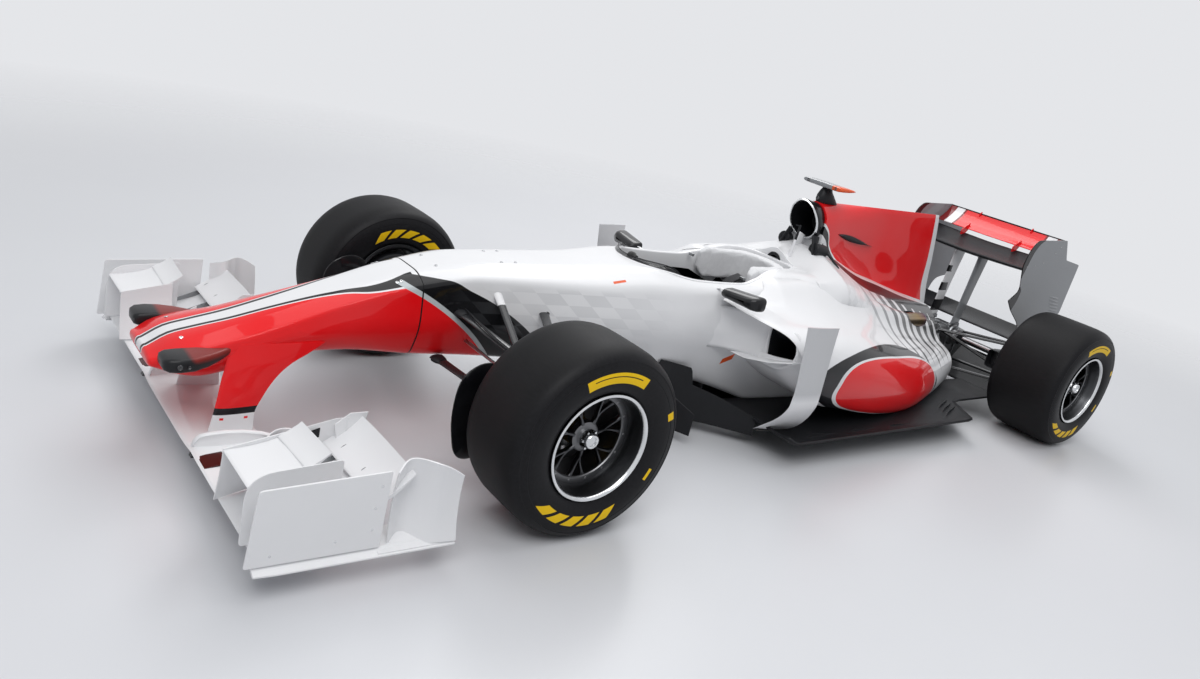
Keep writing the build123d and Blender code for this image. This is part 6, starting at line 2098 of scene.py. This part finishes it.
class CAR_OT_front_suspension(bpy.types.Operator):
    """Makes the front wishbones and pushrods with their joints and brake lines"""
    bl_idname = "car.front_suspension"
    bl_label = "Front suspension"

    def execute(self, context):
        upper, lower = kingpin(1, 0, 0, JOINT_REACH), kingpin(1, 0, 0, -JOINT_REACH)
        legs = Shape()
        starts = ((0.15, -0.135, 0.506, upper, 0.042), (0.16, 0.215, 0.52, upper, 0.038),
            (0.116, -0.175, 0.318, lower, 0.042), (0.13, 0.215, 0.31, lower, 0.038))
        for x, s, z, end, chord in starts:
            wing_leg(legs, at(x, s, z), end, chord, 0.013)
        foot = lower + Vector((-0.085, 0, 0.008))
        wing_leg(legs, at(0.15, 0.0, 0.59), foot, 0.032, 0.017, cap=0.16)
        legs.mirrored().done("front_wishbones", [carbon("gloss"), white()],
            replaces=["front_suspension"], slot="carbon", angle=60)
        joints = Shape()
        pin = kingpin(1, 0, 0, 1) - kingpin(1, 0, 0, 0)
        for end, way in ((upper, 1), (lower, -1)):
            joints.turn([(-0.009, 0.0), (-0.009, 0.0145), (-0.0075, 0.016), (0.0075, 0.016),
                (0.009, 0.0145), (0.009, 0.0)], end, pin, 32)
            joints.disc(end + pin * way * 0.009, pin * way, 0.0095, 0.005, 6)
        joints.rod(-0.014, 0.014, 0.009, foot, (0, 1, 0), 24)
        for x, s, z, end, chord in starts:
            out = (Vector(end) - Vector(at(x, s, z))).normalized()
            joints.tube([Vector(end) - out * 0.052, Vector(end) - out * 0.012], [0.0088, 0.0105], 16)
        joints.mirrored().done("front_joints", [metal("steel")], bevel=0.0006)
        boots = Shape()
        for x, s, z, end, chord in starts:
            out = (Vector(end) - Vector(at(x, s, z))).normalized()
            root = Vector(at(x, s, z)) + out * 0.012
            boots.tube([root, root + out * 0.018, root + out * 0.03], [0.03, 0.028, 0.0225], 20,
                flat=0.45)
        boots.mirrored().done("front_leg_boots", [black_satin()], angle=60)
        hoses = Shape()
        for lift, gap in ((0.008, -0.014), (0.007, -0.02)):
            hoses.tube(bend([at(0.16, -0.12, 0.512 + lift), at(0.36, -0.085 + gap, 0.476 + lift),
                at(0.55, -0.04 + gap, 0.444 + lift), at(0.62, -0.03, 0.43)], 24), 0.0028, 10)
        hoses.mirrored().done("front_brake_lines", [black_satin()])
        return {"FINISHED"}


class CAR_OT_uprights(bpy.types.Operator):
    """Makes the front uprights with steering arm, brake duct, fence and brake drum"""
    bl_idname = "car.uprights"
    bl_label = "Front uprights"

    def execute(self, context):
        for name, side in SIDES.items():
            body = f"upright_front_{name}"
            pin = kingpin(side, 0, 0, 1) - kingpin(side, 0, 0, 0)
            shape = Shape().turn([(-0.074, 0.011), (-0.074, 0.02), (-0.07, 0.022), (-0.035, 0.0225),
                (0, 0.026), (0.035, 0.0225), (0.07, 0.022), (0.074, 0.02), (0.074, 0.011)],
                kingpin(side, 0, 0, 0), pin, 40)
            shape.turn([(0.673, 0.03), (0.673, 0.04), (0.676, 0.0445), (0.733, 0.0445), (0.739, 0.041),
                (0.739, 0.03)], at(0, 0, AXLE_Z), (side, 0, 0), 48)
            arm = [(-0.016, 0.0), (-0.014, -0.085), (-0.008, -0.098), (0.008, -0.098), (0.014, -0.085),
                (0.018, 0.0)]
            shape.loft([[kingpin(side, u, v, depth) for u, v in arm] for depth in (0.0435, 0.0548)])
            for k in range(6):
                angle = tau * k / 6
                shape.bolt((side * 0.739, FRONT_AXLE + 0.036 * cos(angle), AXLE_Z + 0.036 * sin(angle)),
                    (side, 0, 0), 0.0045)
            shape.done(f"upright_casting_{name}", [metal("alloy_dark")], body,
                [f"front_upright_{name}"], "carbon", bevel=0.0015)
            self.duct(name, side, body)
            self.fence(name, side, body)
        return {"FINISHED"}

    @staticmethod
    def duct(name, side, body):
        """A scoop that bends outwards from its mouth behind the fence to the drum."""
        rows = [  # station, inner x, outer x, low, high
            (-0.240, 0.5465, 0.574, 0.284, 0.352), (-0.200, 0.5465, 0.576, 0.285, 0.351),
            (-0.150, 0.549, 0.590, 0.286, 0.350), (-0.110, 0.562, 0.628, 0.286, 0.350),
            (-0.075, 0.585, 0.672, 0.287, 0.349), (-0.045, 0.622, 0.685, 0.288, 0.348),
        ]
        rings = []
        for s, inner, outer, low, high in rows:
            outline = oblong(inner, outer, low, high, 0.009, steps=4, straight=2)
            rings.append([at(side * x, s, z) for x, z in outline])
        lip = [(share, -0.0035 * sin(share * 52)) for share in (0.01, 0.03, 0.06)]
        inside = [(0.09, depth) for depth in (0.004, 0.03, 0.07)]
        Shape().loft(rings[::-1] + drawn_in(rings[0], lip + inside)).done(f"brake_duct_{name}",
            [carbon()], body, angle=50)
        Shape().turn([(0.604, 0.046), (0.6015, 0.052), (0.6015, 0.13), (0.605, 0.1375), (0.612, 0.14),
            (0.65, 0.1405), (0.65, 0.1375), (0.615, 0.136), (0.609, 0.128), (0.609, 0.046)],
            at(0, 0, AXLE_Z), (side, 0, 0), 72).done(f"brake_drum_{name}", [carbon()], body)

    @staticmethod
    def fence(name, side, body):
        """The curved board inboard of the tyre, standing on the duct's mouth."""
        outline = rounded([(-0.15, 0.21), (-0.15, 0.44), (-0.23, 0.49), (-0.33, 0.44), (-0.345, 0.3),
            (-0.3, 0.15), (-0.23, 0.13)], [0.02, 0.05, 0.06, 0.06, 0.07, 0.06, 0.04], steps=6,
            straight=3)
        middle_s = sum(s for s, _ in outline) / len(outline)
        middle_z = sum(z for _, z in outline) / len(outline)

        def curved(s, z, depth):
            bow = 0.012 * ((z - middle_z) / 0.17) ** 2
            return at(side * (FENCE_X + depth - bow + 0.003), s, z)
        rings = [[curved(middle_s + (s - middle_s) * share, middle_z + (z - middle_z) * share, depth)
            for s, z in outline] for share, depth in ((0.02, 0.0), (0.35, 0.0), (0.7, 0.0),
            (0.985, 0.0), (1.0, 0.0022), (1.0, 0.0038), (0.985, 0.006), (0.7, 0.006), (0.35, 0.006),
            (0.02, 0.006))]
        board = Shape().loft(rings)
        for s, z in ((-0.225, 0.365), (-0.225, 0.27)):
            board.bolt(curved(s, z, 0.0), (-side, 0, 0), 0.005)
        board.done(f"brake_fence_{name}", [black()], body, angle=45)


class CAR_OT_tie_rods(bpy.types.Operator):
    """Makes the steering tie rods with their eyes"""
    bl_idname = "car.tie_rods"
    bl_label = "Tie rods"

    def execute(self, context):
        for name, side in SIDES.items():
            eye = kingpin(side, 0, -0.085, 0.0625)
            pin = kingpin(side, 0, 0, 1) - kingpin(side, 0, 0, 0)
            shape = Shape().turn([(-0.0065, 0.0052), (-0.0065, 0.012), (-0.0045, 0.0138),
                (0.0045, 0.0138), (0.0065, 0.012), (0.0065, 0.0052)], eye, pin, 36)
            inner = Vector((side * 0.122, eye.y, eye.z))
            shape.tube(bend([eye + Vector((-side * 0.011, 0, 0)), eye + Vector((-side * 0.045, 0, 0)),
                inner], 20), [0.0055, 0.0058] + [0.006] * 18, 18)
            shape.rod(-0.012, 0.012, 0.0078, eye + Vector((-side * 0.03, 0, 0)), (1, 0, 0), 6)
            shape.done(f"tie_rod_arm_{name}", [metal("steel")], f"tie_rod_{name}", [f"tie_rod_{name}"],
                "steel", bevel=0.0006)
        return {"FINISHED"}


class CAR_OT_rear_suspension(bpy.types.Operator):
    """Makes the rear wishbones, pullrods, uprights, ducts and driveshafts"""
    bl_idname = "car.rear_suspension"
    bl_label = "Rear suspension"

    def execute(self, context):
        legs, boots = Shape(), Shape()
        for start, end, chord, thick in (((0.09, -0.225, 0.374), (0.602, -0.03, 0.439), 0.046, 0.0145),
                ((0.08, 0.05, 0.354), (0.602, 0.03, 0.439), 0.038, 0.0145), ((0.095, -0.225, 0.182),
                (0.602, -0.03, 0.222), 0.046, 0.0145), ((0.075, 0.06, 0.182), (0.602, 0.03, 0.222),
                0.038, 0.0145), ((0.08, -0.15, 0.369), (0.602, -0.036, 0.242), 0.028, 0.0165)):
            first, last = Vector(behind(*start)), Vector(behind(*end))
            wing_leg(legs, first, last, chord, thick)
            way = (last - first).normalized()
            boots.tube([last - way * 0.05, last - way * 0.03, last], [chord * 0.42, 0.015, 0.013], 18,
                flat=0.6)
        legs.mirrored().done("rear_wishbones", [carbon("gloss")], replaces=["rear_suspension"],
            slot="carbon", angle=60)
        boots.mirrored().done("rear_joints", [metal("steel")], angle=60)
        self.uprights()
        self.driveshafts()
        return {"FINISHED"}

    @staticmethod
    def uprights():
        outline = rounded([(-0.05, -0.126), (0.05, -0.126), (0.055, 0), (0.05, 0.126), (-0.05, 0.126),
            (-0.055, 0)], [0.03, 0.03, 0.04, 0.03, 0.03, 0.04], steps=4, straight=1)
        casting = Shape()
        for low, high, share in ((0.602, 0.612, 1.0), (0.612, 0.658, 0.86)):
            casting.prism([(u * share, v * share) for u, v in outline],
                lambda u, v, depth: behind(depth, u, AXLE_Z + v), low, high)
        casting.turn([(0.6, 0.027), (0.596, 0.036), (0.6, 0.046), (0.662, 0.046), (0.662, 0.027)],
            behind(0, 0, AXLE_Z), (1, 0, 0), 48)
        casting.mirrored().done("rear_upright_castings", [metal("alloy_dark")],
            replaces=["rear_uprights"], slot="steel", bevel=0.002)
        drum = Shape().turn([(0.565, 0.05), (0.56, 0.058), (0.56, 0.128), (0.565, 0.1385),
            (0.575, 0.1405), (0.64, 0.1405), (0.64, 0.138), (0.578, 0.136), (0.57, 0.126),
            (0.57, 0.05)], behind(0, 0, AXLE_Z), (1, 0, 0), 72)
        rings = []
        for s, x0, x1, low, high in ((-0.235, 0.45, 0.515, 0.3, 0.4), (-0.2, 0.452, 0.518, 0.3, 0.402),
                (-0.15, 0.48, 0.545, 0.295, 0.405), (-0.1, 0.52, 0.565, 0.28, 0.41)):
            ring = oblong(x0, x1, low, high, 0.018, steps=4, straight=1)
            rings.append([behind(x, s, z) for x, z in ring])
        drum.loft(rings[::-1] + drawn_in(rings[0], ((0.02, -0.003), (0.06, -0.003), (0.09, 0.002),
            (0.12, 0.05))))
        drum.mirrored().done("rear_brake_ducts", [carbon()], angle=45)

    @staticmethod
    def driveshafts():
        for name, side in SIDES.items():
            profile = [(0.09, 0.0), (0.09, 0.0195), (0.104, 0.0195), (0.106, 0.046), (0.118, 0.047),
                (0.124, 0.043), (0.13, 0.045), (0.137, 0.038), (0.143, 0.04), (0.15, 0.031),
                (0.157, 0.033), (0.166, 0.0195), (0.175, 0.0185), (0.5, 0.0185), (0.512, 0.0195),
                (0.52, 0.03), (0.527, 0.028), (0.534, 0.036), (0.541, 0.034), (0.548, 0.041),
                (0.558, 0.042), (0.592, 0.036), (0.602, 0.0195), (0.602, 0.0)]
            slots = [1 if 8 <= i <= 10 or 15 <= i <= 18 else 0 for i in range(len(profile))]
            Shape().turn(profile, behind(0, 0, AXLE_Z), (side, 0, 0), 40,
                slot=lambda i, slots=slots: slots[i]).done(f"halfshaft_{name}",
                [metal("steel"), black_satin()], f"wheel_rear_{name}", [f"driveshaft_{name}"], "steel",
                angle=35)


# ---------------- power unit
class CAR_OT_power_unit(bpy.types.Operator):
    """Makes the ribbed gearbox, the crash structure with its rain light, and the exhausts"""
    bl_idname = "car.power_unit"
    bl_label = "Gearbox and exhausts"

    def execute(self, context):
        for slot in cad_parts["engine"].material_slots:
            slot.material = metal("cast")
        rows = [  # station behind the rear axle, half width, bottom, top
            (-0.868, 0.148, 0.112, 0.438), (-0.60, 0.128, 0.116, 0.42), (-0.30, 0.100, 0.120, 0.400),
            (-0.05, 0.088, 0.136, 0.378), (0.06, 0.084, 0.142, 0.368), (0.15, 0.066, 0.178, 0.352),
            (0.238, 0.046, 0.222, 0.330),
        ]
        stations = even(-0.868, 1.106, 40)
        rings = []
        for s, (half, low, high) in read(rows, stations):
            outline = oblong(-half, half, low, high, 0.03, steps=5, straight=4)
            rings.append([behind(x, s, z) for x, z in outline])
        socket = Shape().rod(-0.06, 0.01, 0.0142, behind(0, 0.24, 0.262), (0, 1, 0), 32)
        Shape().loft(rings, slot=lambda r, i: 1 if r > 33 else 0).done("gearbox_case",
            [metal("cast"), carbon()], replaces=["gearbox"], slot="metal", cutters=[socket],
            bevel=0.002)
        ribs = Shape()
        for s in (-0.8, -0.62, -0.45, -0.3, -0.16, -0.05, 0.06):
            half, low, high = smooth_rows(rows, [s])[0]
            grow = 0.006
            outline = oblong(-half - grow, half + grow, low - grow, high + grow, 0.034, steps=5,
                straight=2)
            ribs.prism(outline, lambda u, v, depth: behind(u, depth, v), s - 0.004, s + 0.004)
            for side in (1, -1):
                for z in (low + 0.05, (low + high) / 2, high - 0.05):
                    ribs.bolt(behind(side * (half + grow), s, z), (side, 0, 0), 0.005)
        for side in (1, -1):
            ribs.turn([(0.082, 0.0), (0.082, 0.058), (0.09, 0.062), (0.099, 0.058), (0.104, 0.048),
                (0.104, 0.022), (0.098, 0.0)], behind(0, 0, AXLE_Z), (side, 0, 0), 48)
        for side in (1, -1):
            ribs.tube(bend([behind(side * 0.05, -0.55, 0.44), behind(side * 0.06, -0.35, 0.425),
                behind(side * 0.045, -0.12, 0.395)], 14), 0.011, 14)
        ribs.done("gearbox_ribs", [metal("alloy")], bevel=0.001)
        light = Shape()
        ring = oblong(-0.036, 0.036, 0.288, 0.322, 0.006, steps=4, straight=1)
        light.prism(ring, lambda u, v, depth: behind(u, depth, v), 0.232, 0.246)
        light.done("rain_light", [lens("red")], bevel=0.002)
        pipes = Shape()
        for side in (1, -1):
            profile = [(-0.829, 0.0345), (-0.829, 0.0378), (-0.7, 0.0378), (-0.6, 0.0374),
                (-0.578, 0.0378), (-0.5715, 0.0372), (-0.5705, 0.036), (-0.574, 0.0348), (-0.7, 0.0345)]
            pipes.turn(profile, behind(side * EXHAUST_X, 0, EXHAUST_Z), (0, 1, 0), 56)
        pipes.done("exhaust_pipes", [metal("titanium")], replaces=["exhausts"], slot="exhaust_metal",
            angle=35)
        return {"FINISHED"}


# ---------------- rear wing and overhead camera
PLATE_X = 0.375
PLATE_THICK = 0.0062
PYLON_X = 0.076
PLATE = [  # outline of the end plate: station behind the rear axle, height, how softly it turns
    (-0.067, 0.844, 0.02), (-0.052, 0.935, 0.05), (0.0, 1.0, 0.04), (0.322, 1.014, 0.006),
    (0.398, 0.901, 0.010), (0.575, 0.877, 0.012), (0.562, 0.563, 0.03), (0.400, 0.528, 0.05),
    (0.352, 0.40, 0.05), (0.338, 0.180, 0.02), (0.155, 0.168, 0.02), (0.145, 0.36, 0.05),
    (0.130, 0.500, 0.05), (-0.02, 0.590, 0.03), (-0.087, 0.648, 0.008), (-0.006, 0.707, 0.03),
]


class CAR_OT_rear_wing(bpy.types.Operator):
    """Makes the rear wing's planes, its slot brackets and its trailing edge strips"""
    bl_idname = "car.rear_wing"
    bl_label = "Rear wing"

    def execute(self, context):
        Shape().loft(span([(-0.374, -0.05, 0.832, 0.262, 13, 0.1, -0.085), (-0.2, -0.052, 0.826, 0.265,
            13, 0.11, -0.09), (0.0, -0.052, 0.822, 0.265, 13, 0.115, -0.095), (0.2, -0.052, 0.826,
            0.265, 13, 0.11, -0.09), (0.374, -0.05, 0.832, 0.262, 13, 0.1, -0.085)], 0.02,
            place=behind)).done("rear_main_plane", [black_satin()], replaces=["rear_wing_main_plane"],
            slot="carbon")
        Shape().loft(span([(-0.374, 0.203, 0.912, 0.143, 41, 0.085, -0.085), (0.0, 0.203, 0.91, 0.145,
            41, 0.09, -0.09), (0.374, 0.203, 0.912, 0.143, 41, 0.085, -0.085)], 0.02,
            place=behind)).done("rear_flap", [flap_paint()], replaces=["rear_wing_flap"],
            slot="red_paint")
        Shape().slab(((0.3125, 0.998), (0.3155, 0.998), (0.3125, 1.0125), (0.3095, 1.0125)), -0.372,
            0.372, behind).done("flap_strip", [carbon()], bevel=0.0004)
        brackets = Shape()
        for x in (-0.17, 0.17):
            outline = rounded([(0.16, 0.872), (0.214, 0.886), (0.238, 0.925), (0.226, 0.948),
                (0.196, 0.927), (0.158, 0.905)], [0.006, 0.02, 0.02, 0.006, 0.01, 0.006], steps=4,
                straight=1)
            brackets.slab(outline, x - 0.0025, x + 0.0025, behind)
            tip = rounded([(0.296, 0.985), (0.322, 1.0), (0.318, 1.022), (0.304, 1.016)], [0.004] * 4,
                steps=3, straight=0)
            brackets.slab(tip, x - 0.0025, x + 0.0025, behind)
        brackets.done("flap_brackets", [red()], bevel=0.001)
        Shape().loft(span([(-0.374, 0.07, 0.42, 0.206, 14, 0.09, -0.07), (0.374, 0.07, 0.42, 0.206, 14,
            0.09, -0.07)], 0.03, place=behind)).done("beam_wing_plane", [carbon()],
            replaces=["beam_wing"], slot="carbon")
        return {"FINISHED"}


class CAR_OT_end_plates(bpy.types.Operator):
    """Makes the rear wing's end plates with black leading edges, louvres and fasteners"""
    bl_idname = "car.end_plates"
    bl_label = "Rear end plates"

    def execute(self, context):
        outline = rounded([row[:2] for row in PLATE], [row[2] for row in PLATE], steps=5, straight=2)
        for name, side in SIDES.items():
            Shape().slab(outline, side * PLATE_X, side * (PLATE_X + PLATE_THICK), behind).done(
                f"end_plate_{name}", [plate_paint()], replaces=["rear_wing_endplates"] if side == 1
                else (), slot="grey_paint", bevel=0.0016, segments=3)
        fittings = Shape()
        for s, z in ((-0.02, 0.846), (0.06, 0.858), (0.14, 0.876), (0.235, 0.935), (0.275, 0.972),
                (0.11, 0.432), (0.2, 0.456), (0.24, 0.24), (0.28, 0.215), (0.18, 0.2)):
            fittings.bolt(behind(PLATE_X + PLATE_THICK, s, z), (1, 0, 0), 0.0048, proud=0.0014)
        fittings.mirrored().done("end_plate_bolts", [metal("steel")])
        gills = Shape()
        for k in range(5):
            rings = []
            for t in (0.0, 0.25, 0.5, 0.75, 1.0):
                swell = 0.0045 * sin(pi * t) ** 0.5 + 0.0004
                s, z = 0.41 + 0.12 * t - 0.012 * k, 0.6 + 0.02 * k - 0.012 * t
                rings.append([behind(PLATE_X + 0.006 + u, s, z + v) for u, v in ((0, -0.004),
                    (swell, -0.003), (swell * 0.8, 0.0), (0, 0.004))])
            gills.loft(rings)
        gills.mirrored().done("end_plate_gills", [grey()], angle=50)
        lower = Shape()
        foot = rounded([(0.152, 0.17), (0.336, 0.182), (0.346, 0.3), (0.158, 0.3)],
            [0.01, 0.01, 0.02, 0.02], steps=4, straight=1)
        lower.slab(foot, PLATE_X - 0.004, PLATE_X, behind)
        lower.mirrored().done("end_plate_feet", [carbon()], bevel=0.001)
        return {"FINISHED"}


class CAR_OT_wing_pylons(bpy.types.Operator):
    """Makes the two swept blades that carry the rear wing on the gearbox"""
    bl_idname = "car.wing_pylons"
    bl_label = "Rear wing pylons"

    def execute(self, context):
        for name, side in SIDES.items():
            rings = []
            for t in even(0, 1, 14):
                z = 0.345 + (0.828 - 0.345) * t
                front, rear = -0.05 + 0.057 * t, 0.04 + 0.088 * t
                shrink = 0.006 * sin(pi * t)
                start, chord = front + shrink, rear - front - 2 * shrink
                rings.append([behind(side * PYLON_X + v, start + u, z) for u, v in aerofoil(chord, 0.1,
                    0, 10)])
            shape = Shape().loft(rings)
            paint = grey() if side == 1 else white()
            shape.done(f"wing_pylon_{name}", [paint], replaces=["rear_wing_pylons"] if side == 1
                else (), slot="white_paint", bevel=0.001)
        feet = Shape()
        for z, s, tall in ((0.372, -0.005, 0.03), (0.799, 0.06, 0.022)):
            feet.slab(rounded([(s - 0.05, z), (s + 0.05, z + 0.006), (s + 0.045, z + tall),
                (s - 0.045, z + tall - 0.008)], [0.008] * 4, steps=3, straight=0), 0.066, 0.0865,
                behind)
            for out in (-0.03, 0.03):
                feet.bolt(behind(0.0865, s + out, z + tall * 0.5), (1, 0, 0), 0.0045)
        feet.mirrored().done("pylon_feet", [metal("alloy_dark")], bevel=0.0015)
        marks = Shape()
        for low, high in ((0.16, 0.3), (0.42, 0.52), (0.66, 0.74)):
            rings = [[behind(-PYLON_X + v * 1.12, -0.0505 + 0.057 * t + u, 0.345 + 0.487 * t)
                for u, v in aerofoil(0.095, 0.1, 0, 8)] for t in (low, (low + high) / 2, high)]
            marks.loft(rings)
        marks.done("pylon_bands", [black()], angle=50)
        return {"FINISHED"}


class CAR_OT_overhead_camera(bpy.types.Operator):
    """Makes the camera bar over the intake, with its coloured cap and dark post"""
    bl_idname = "car.overhead_camera"
    bl_label = "Overhead camera"

    def execute(self, context):
        Shape().loft(self.rings(((-0.114, 0.35), (-0.11, 0.75), (-0.098, 0.95), (-0.07, 1.0),
            (0.0, 1.06), (0.062, 1.0)))).done("camera_bar", [grey()], replaces=["onboard_camera"],
            slot="grey_paint", angle=45)
        Shape().loft(self.rings(((0.0625, 1.0), (0.098, 0.96), (0.11, 0.78), (0.114, 0.4)))).done(
            "camera_bar_cap", [orange()], angle=45)
        rings = []
        for z, front, rear, half in ((1.0, 1.8, 1.95, 0.028), (1.015, 1.798, 1.93, 0.034),
                (1.035, 1.803, 1.905, 0.034), (1.055, 1.812, 1.885, 0.026), (1.072, 1.822, 1.88, 0.018),
                (1.084, 1.826, 1.884, 0.016)):
            chord = rear - front
            rings.append([at(half * cos(a), front + chord * (0.5 - 0.5 * sin(a)), z)
                for a in (tau * k / 28 for k in range(28))])
        Shape().loft(rings).done("camera_post", [black_satin()], angle=60)
        eyes = Shape()
        for x in (-0.085, 0.085):
            eyes.disc(at(x, 1.8025, 1.087), (0, -1, 0), 0.0075, 0.003, 24, dish=0.0008)
        eyes.disc(at(0, 1.8005, 1.02), (0, -1, 0), 0.01, 0.004, 24, dish=0.001)
        eyes.done("overhead_lenses", [lens("dark")])
        return {"FINISHED"}

    @staticmethod
    def rings(rows):
        """Flat rounded sections, blunt in front and thinner behind, from offsets and sizes."""
        upper = [(0.0, 0.0), (0.012, 0.7), (0.05, 0.97), (0.25, 1.0), (0.6, 0.85), (0.9, 0.45),
            (1.0, 0.12)]
        outline = upper + [(u, -v) for u, v in reversed(upper[1:])]
        return [[at(x, 1.8 + 0.135 * (0.55 + 0.45 * size) * u, 1.0865 + 0.0115 * size * v)
            for u, v in outline] for x, size in rows]


# ---------------- stage and camera
class CAR_OT_stage(bpy.types.Operator):
    """Makes the pale floor, the soft lamps, the sky and the camera"""
    bl_idname = "car.stage"
    bl_label = "Floor, lamps and camera"

    def execute(self, context):
        scene = bpy.context.scene
        rings = [[(out * cos(turn), out * sin(turn), 0) for turn in even(0, tau, 96)[:-1]]
            for out in (3, 6, 9)]
        floor = Shape().loft(rings, ends=(True, False))
        ground = bpy.data.objects.new("floor", floor.mesh("floor"))
        scene.collection.objects.link(ground)
        ground.data.materials.append(self.ground())
        scene.world = self.sky()
        self.lamp("key", (4.2, -4.2, 6.5), (1.0, -1.4, 0), (5.5, 4), 290)
        self.lamp("overhead", (-0.5, 0.6, 6.4), (-0.5, 0.6, 0), (7, 6), 215)
        self.lamp("rim", (-4.5, 3.5, 6.0), (-2.5, 2.0, 0), (3, 5), 170)
        self.camera()
        scene.view_settings.view_transform = "Standard"
        return {"FINISHED"}

    @staticmethod
    def sky():
        """A plain level of light, which shows and reflects as a pale backdrop."""
        world = bpy.data.worlds.new("sky")
        world.use_nodes = True
        tree = world.node_tree
        light = tree.nodes["Background"]
        light.inputs["Color"].default_value = (0.93, 0.95, 1.0, 1)
        light.inputs["Strength"].default_value = 0.36
        backdrop, path, either, both, mix = (tree.nodes.new(kind) for kind in ("ShaderNodeBackground",
            "ShaderNodeLightPath", "ShaderNodeMath", "ShaderNodeMath", "ShaderNodeMixShader"))
        backdrop.inputs["Color"].default_value = (0.78, 0.79, 0.815, 1)
        either.operation = both.operation = "MAXIMUM"
        for start, end in ((path.outputs["Is Camera Ray"], either.inputs[0]),
                (path.outputs["Is Glossy Ray"], either.inputs[1]), (path.outputs["Is Transmission Ray"],
                both.inputs[0]), (either.outputs[0], both.inputs[1]), (both.outputs[0], mix.inputs[0]),
                (light.outputs[0], mix.inputs[1]), (backdrop.outputs[0], mix.inputs[2]),
                (mix.outputs[0], tree.nodes["World Output"].inputs[0])):
            tree.links.new(start, end)
        return world

    @staticmethod
    def ground():
        """Pale and faintly glossy near the car, fading into the backdrop further out."""
        shader = Shader("studio_floor")
        haze = shader.noise(0.7, detail=4)
        tone = shader.mix(haze, (0.62, 0.63, 0.655), (0.67, 0.68, 0.7))
        away = (shader.x * shader.x + shader.y * shader.y) ** 0.5
        near = shader.along(away, [(3.0, 1.0), (4.0, 0.9), (6.0, 0.35), (8.0, 0.0)])
        return shader.surface(tone, haze * 0.12 + 0.26, Specular_IOR_Level=0.35, Alpha=near)

    @staticmethod
    def lamp(name, place, target, size, power):
        data = bpy.data.lights.new(name, "AREA")
        data.shape, data.size, data.size_y, data.energy = "RECTANGLE", *size, power
        lamp = bpy.data.objects.new(name, data)
        lamp.location = place
        way = Vector(target) - Vector(place)
        lamp.rotation_euler = way.to_track_quat("-Z", "Y").to_euler()
        bpy.context.scene.collection.objects.link(lamp)

    @staticmethod
    def camera():
        """Low in front of the car's left, tilted over to its left."""
        yaw, pitch, roll = -0.8489, -0.3118, 0.2383
        forward = Vector((sin(yaw) * cos(pitch), cos(yaw) * cos(pitch), sin(pitch)))
        right = forward.cross(Vector((0, 0, 1))).normalized()
        up = right.cross(forward)
        turned_right = cos(roll) * right + sin(roll) * up
        turned_up = cos(roll) * up - sin(roll) * right
        data = bpy.data.cameras.new("camera")
        data.lens, data.sensor_width, data.sensor_fit = 28.15, 36, "HORIZONTAL"
        camera = bpy.data.objects.new("camera", data)
        place = Matrix((turned_right, turned_up, -forward)).transposed().to_4x4()
        place.translation = at(2.831, -1.8198, 1.5321)
        camera.matrix_world = place
        bpy.context.scene.collection.objects.link(camera)
        bpy.context.scene.camera = camera


# ---------------- the add-on
class CAR_PT_panel(bpy.types.Panel):
    """Lists the car's settings and pieces"""
    bl_idname = "CAR_PT_panel"
    bl_label = "Racing car"
    bl_space_type = "VIEW_3D"
    bl_region_type = "UI"
    bl_category = "Racing car"

    def draw(self, context):
        for group in (context.scene.car_colours, context.scene.car_sizes):
            column = self.layout.column(align=True)
            for setting in group.__annotations__:
                column.prop(group, setting)
        for piece in PIECES:
            self.layout.operator(piece.bl_idname)


PIECES = [maker for maker in bpy.types.Operator.__subclasses__() if maker.__module__ == __name__]
CLASSES = [CarColours, CarSizes, *PIECES, CAR_PT_panel]


def register():
    for item in CLASSES:
        bpy.utils.register_class(item)
    bpy.types.Scene.car_colours = bpy.props.PointerProperty(type=CarColours)
    bpy.types.Scene.car_sizes = bpy.props.PointerProperty(type=CarSizes)


def unregister():
    del bpy.types.Scene.car_colours, bpy.types.Scene.car_sizes
    for item in reversed(CLASSES):
        bpy.utils.unregister_class(item)


def main():
    register()
    for piece in PIECES:
        maker = getattr(bpy.ops.car, piece.bl_idname.split(".")[1])
        maker()
    bpy.context.view_layer.update()


if __name__ == "__main__":
    main()
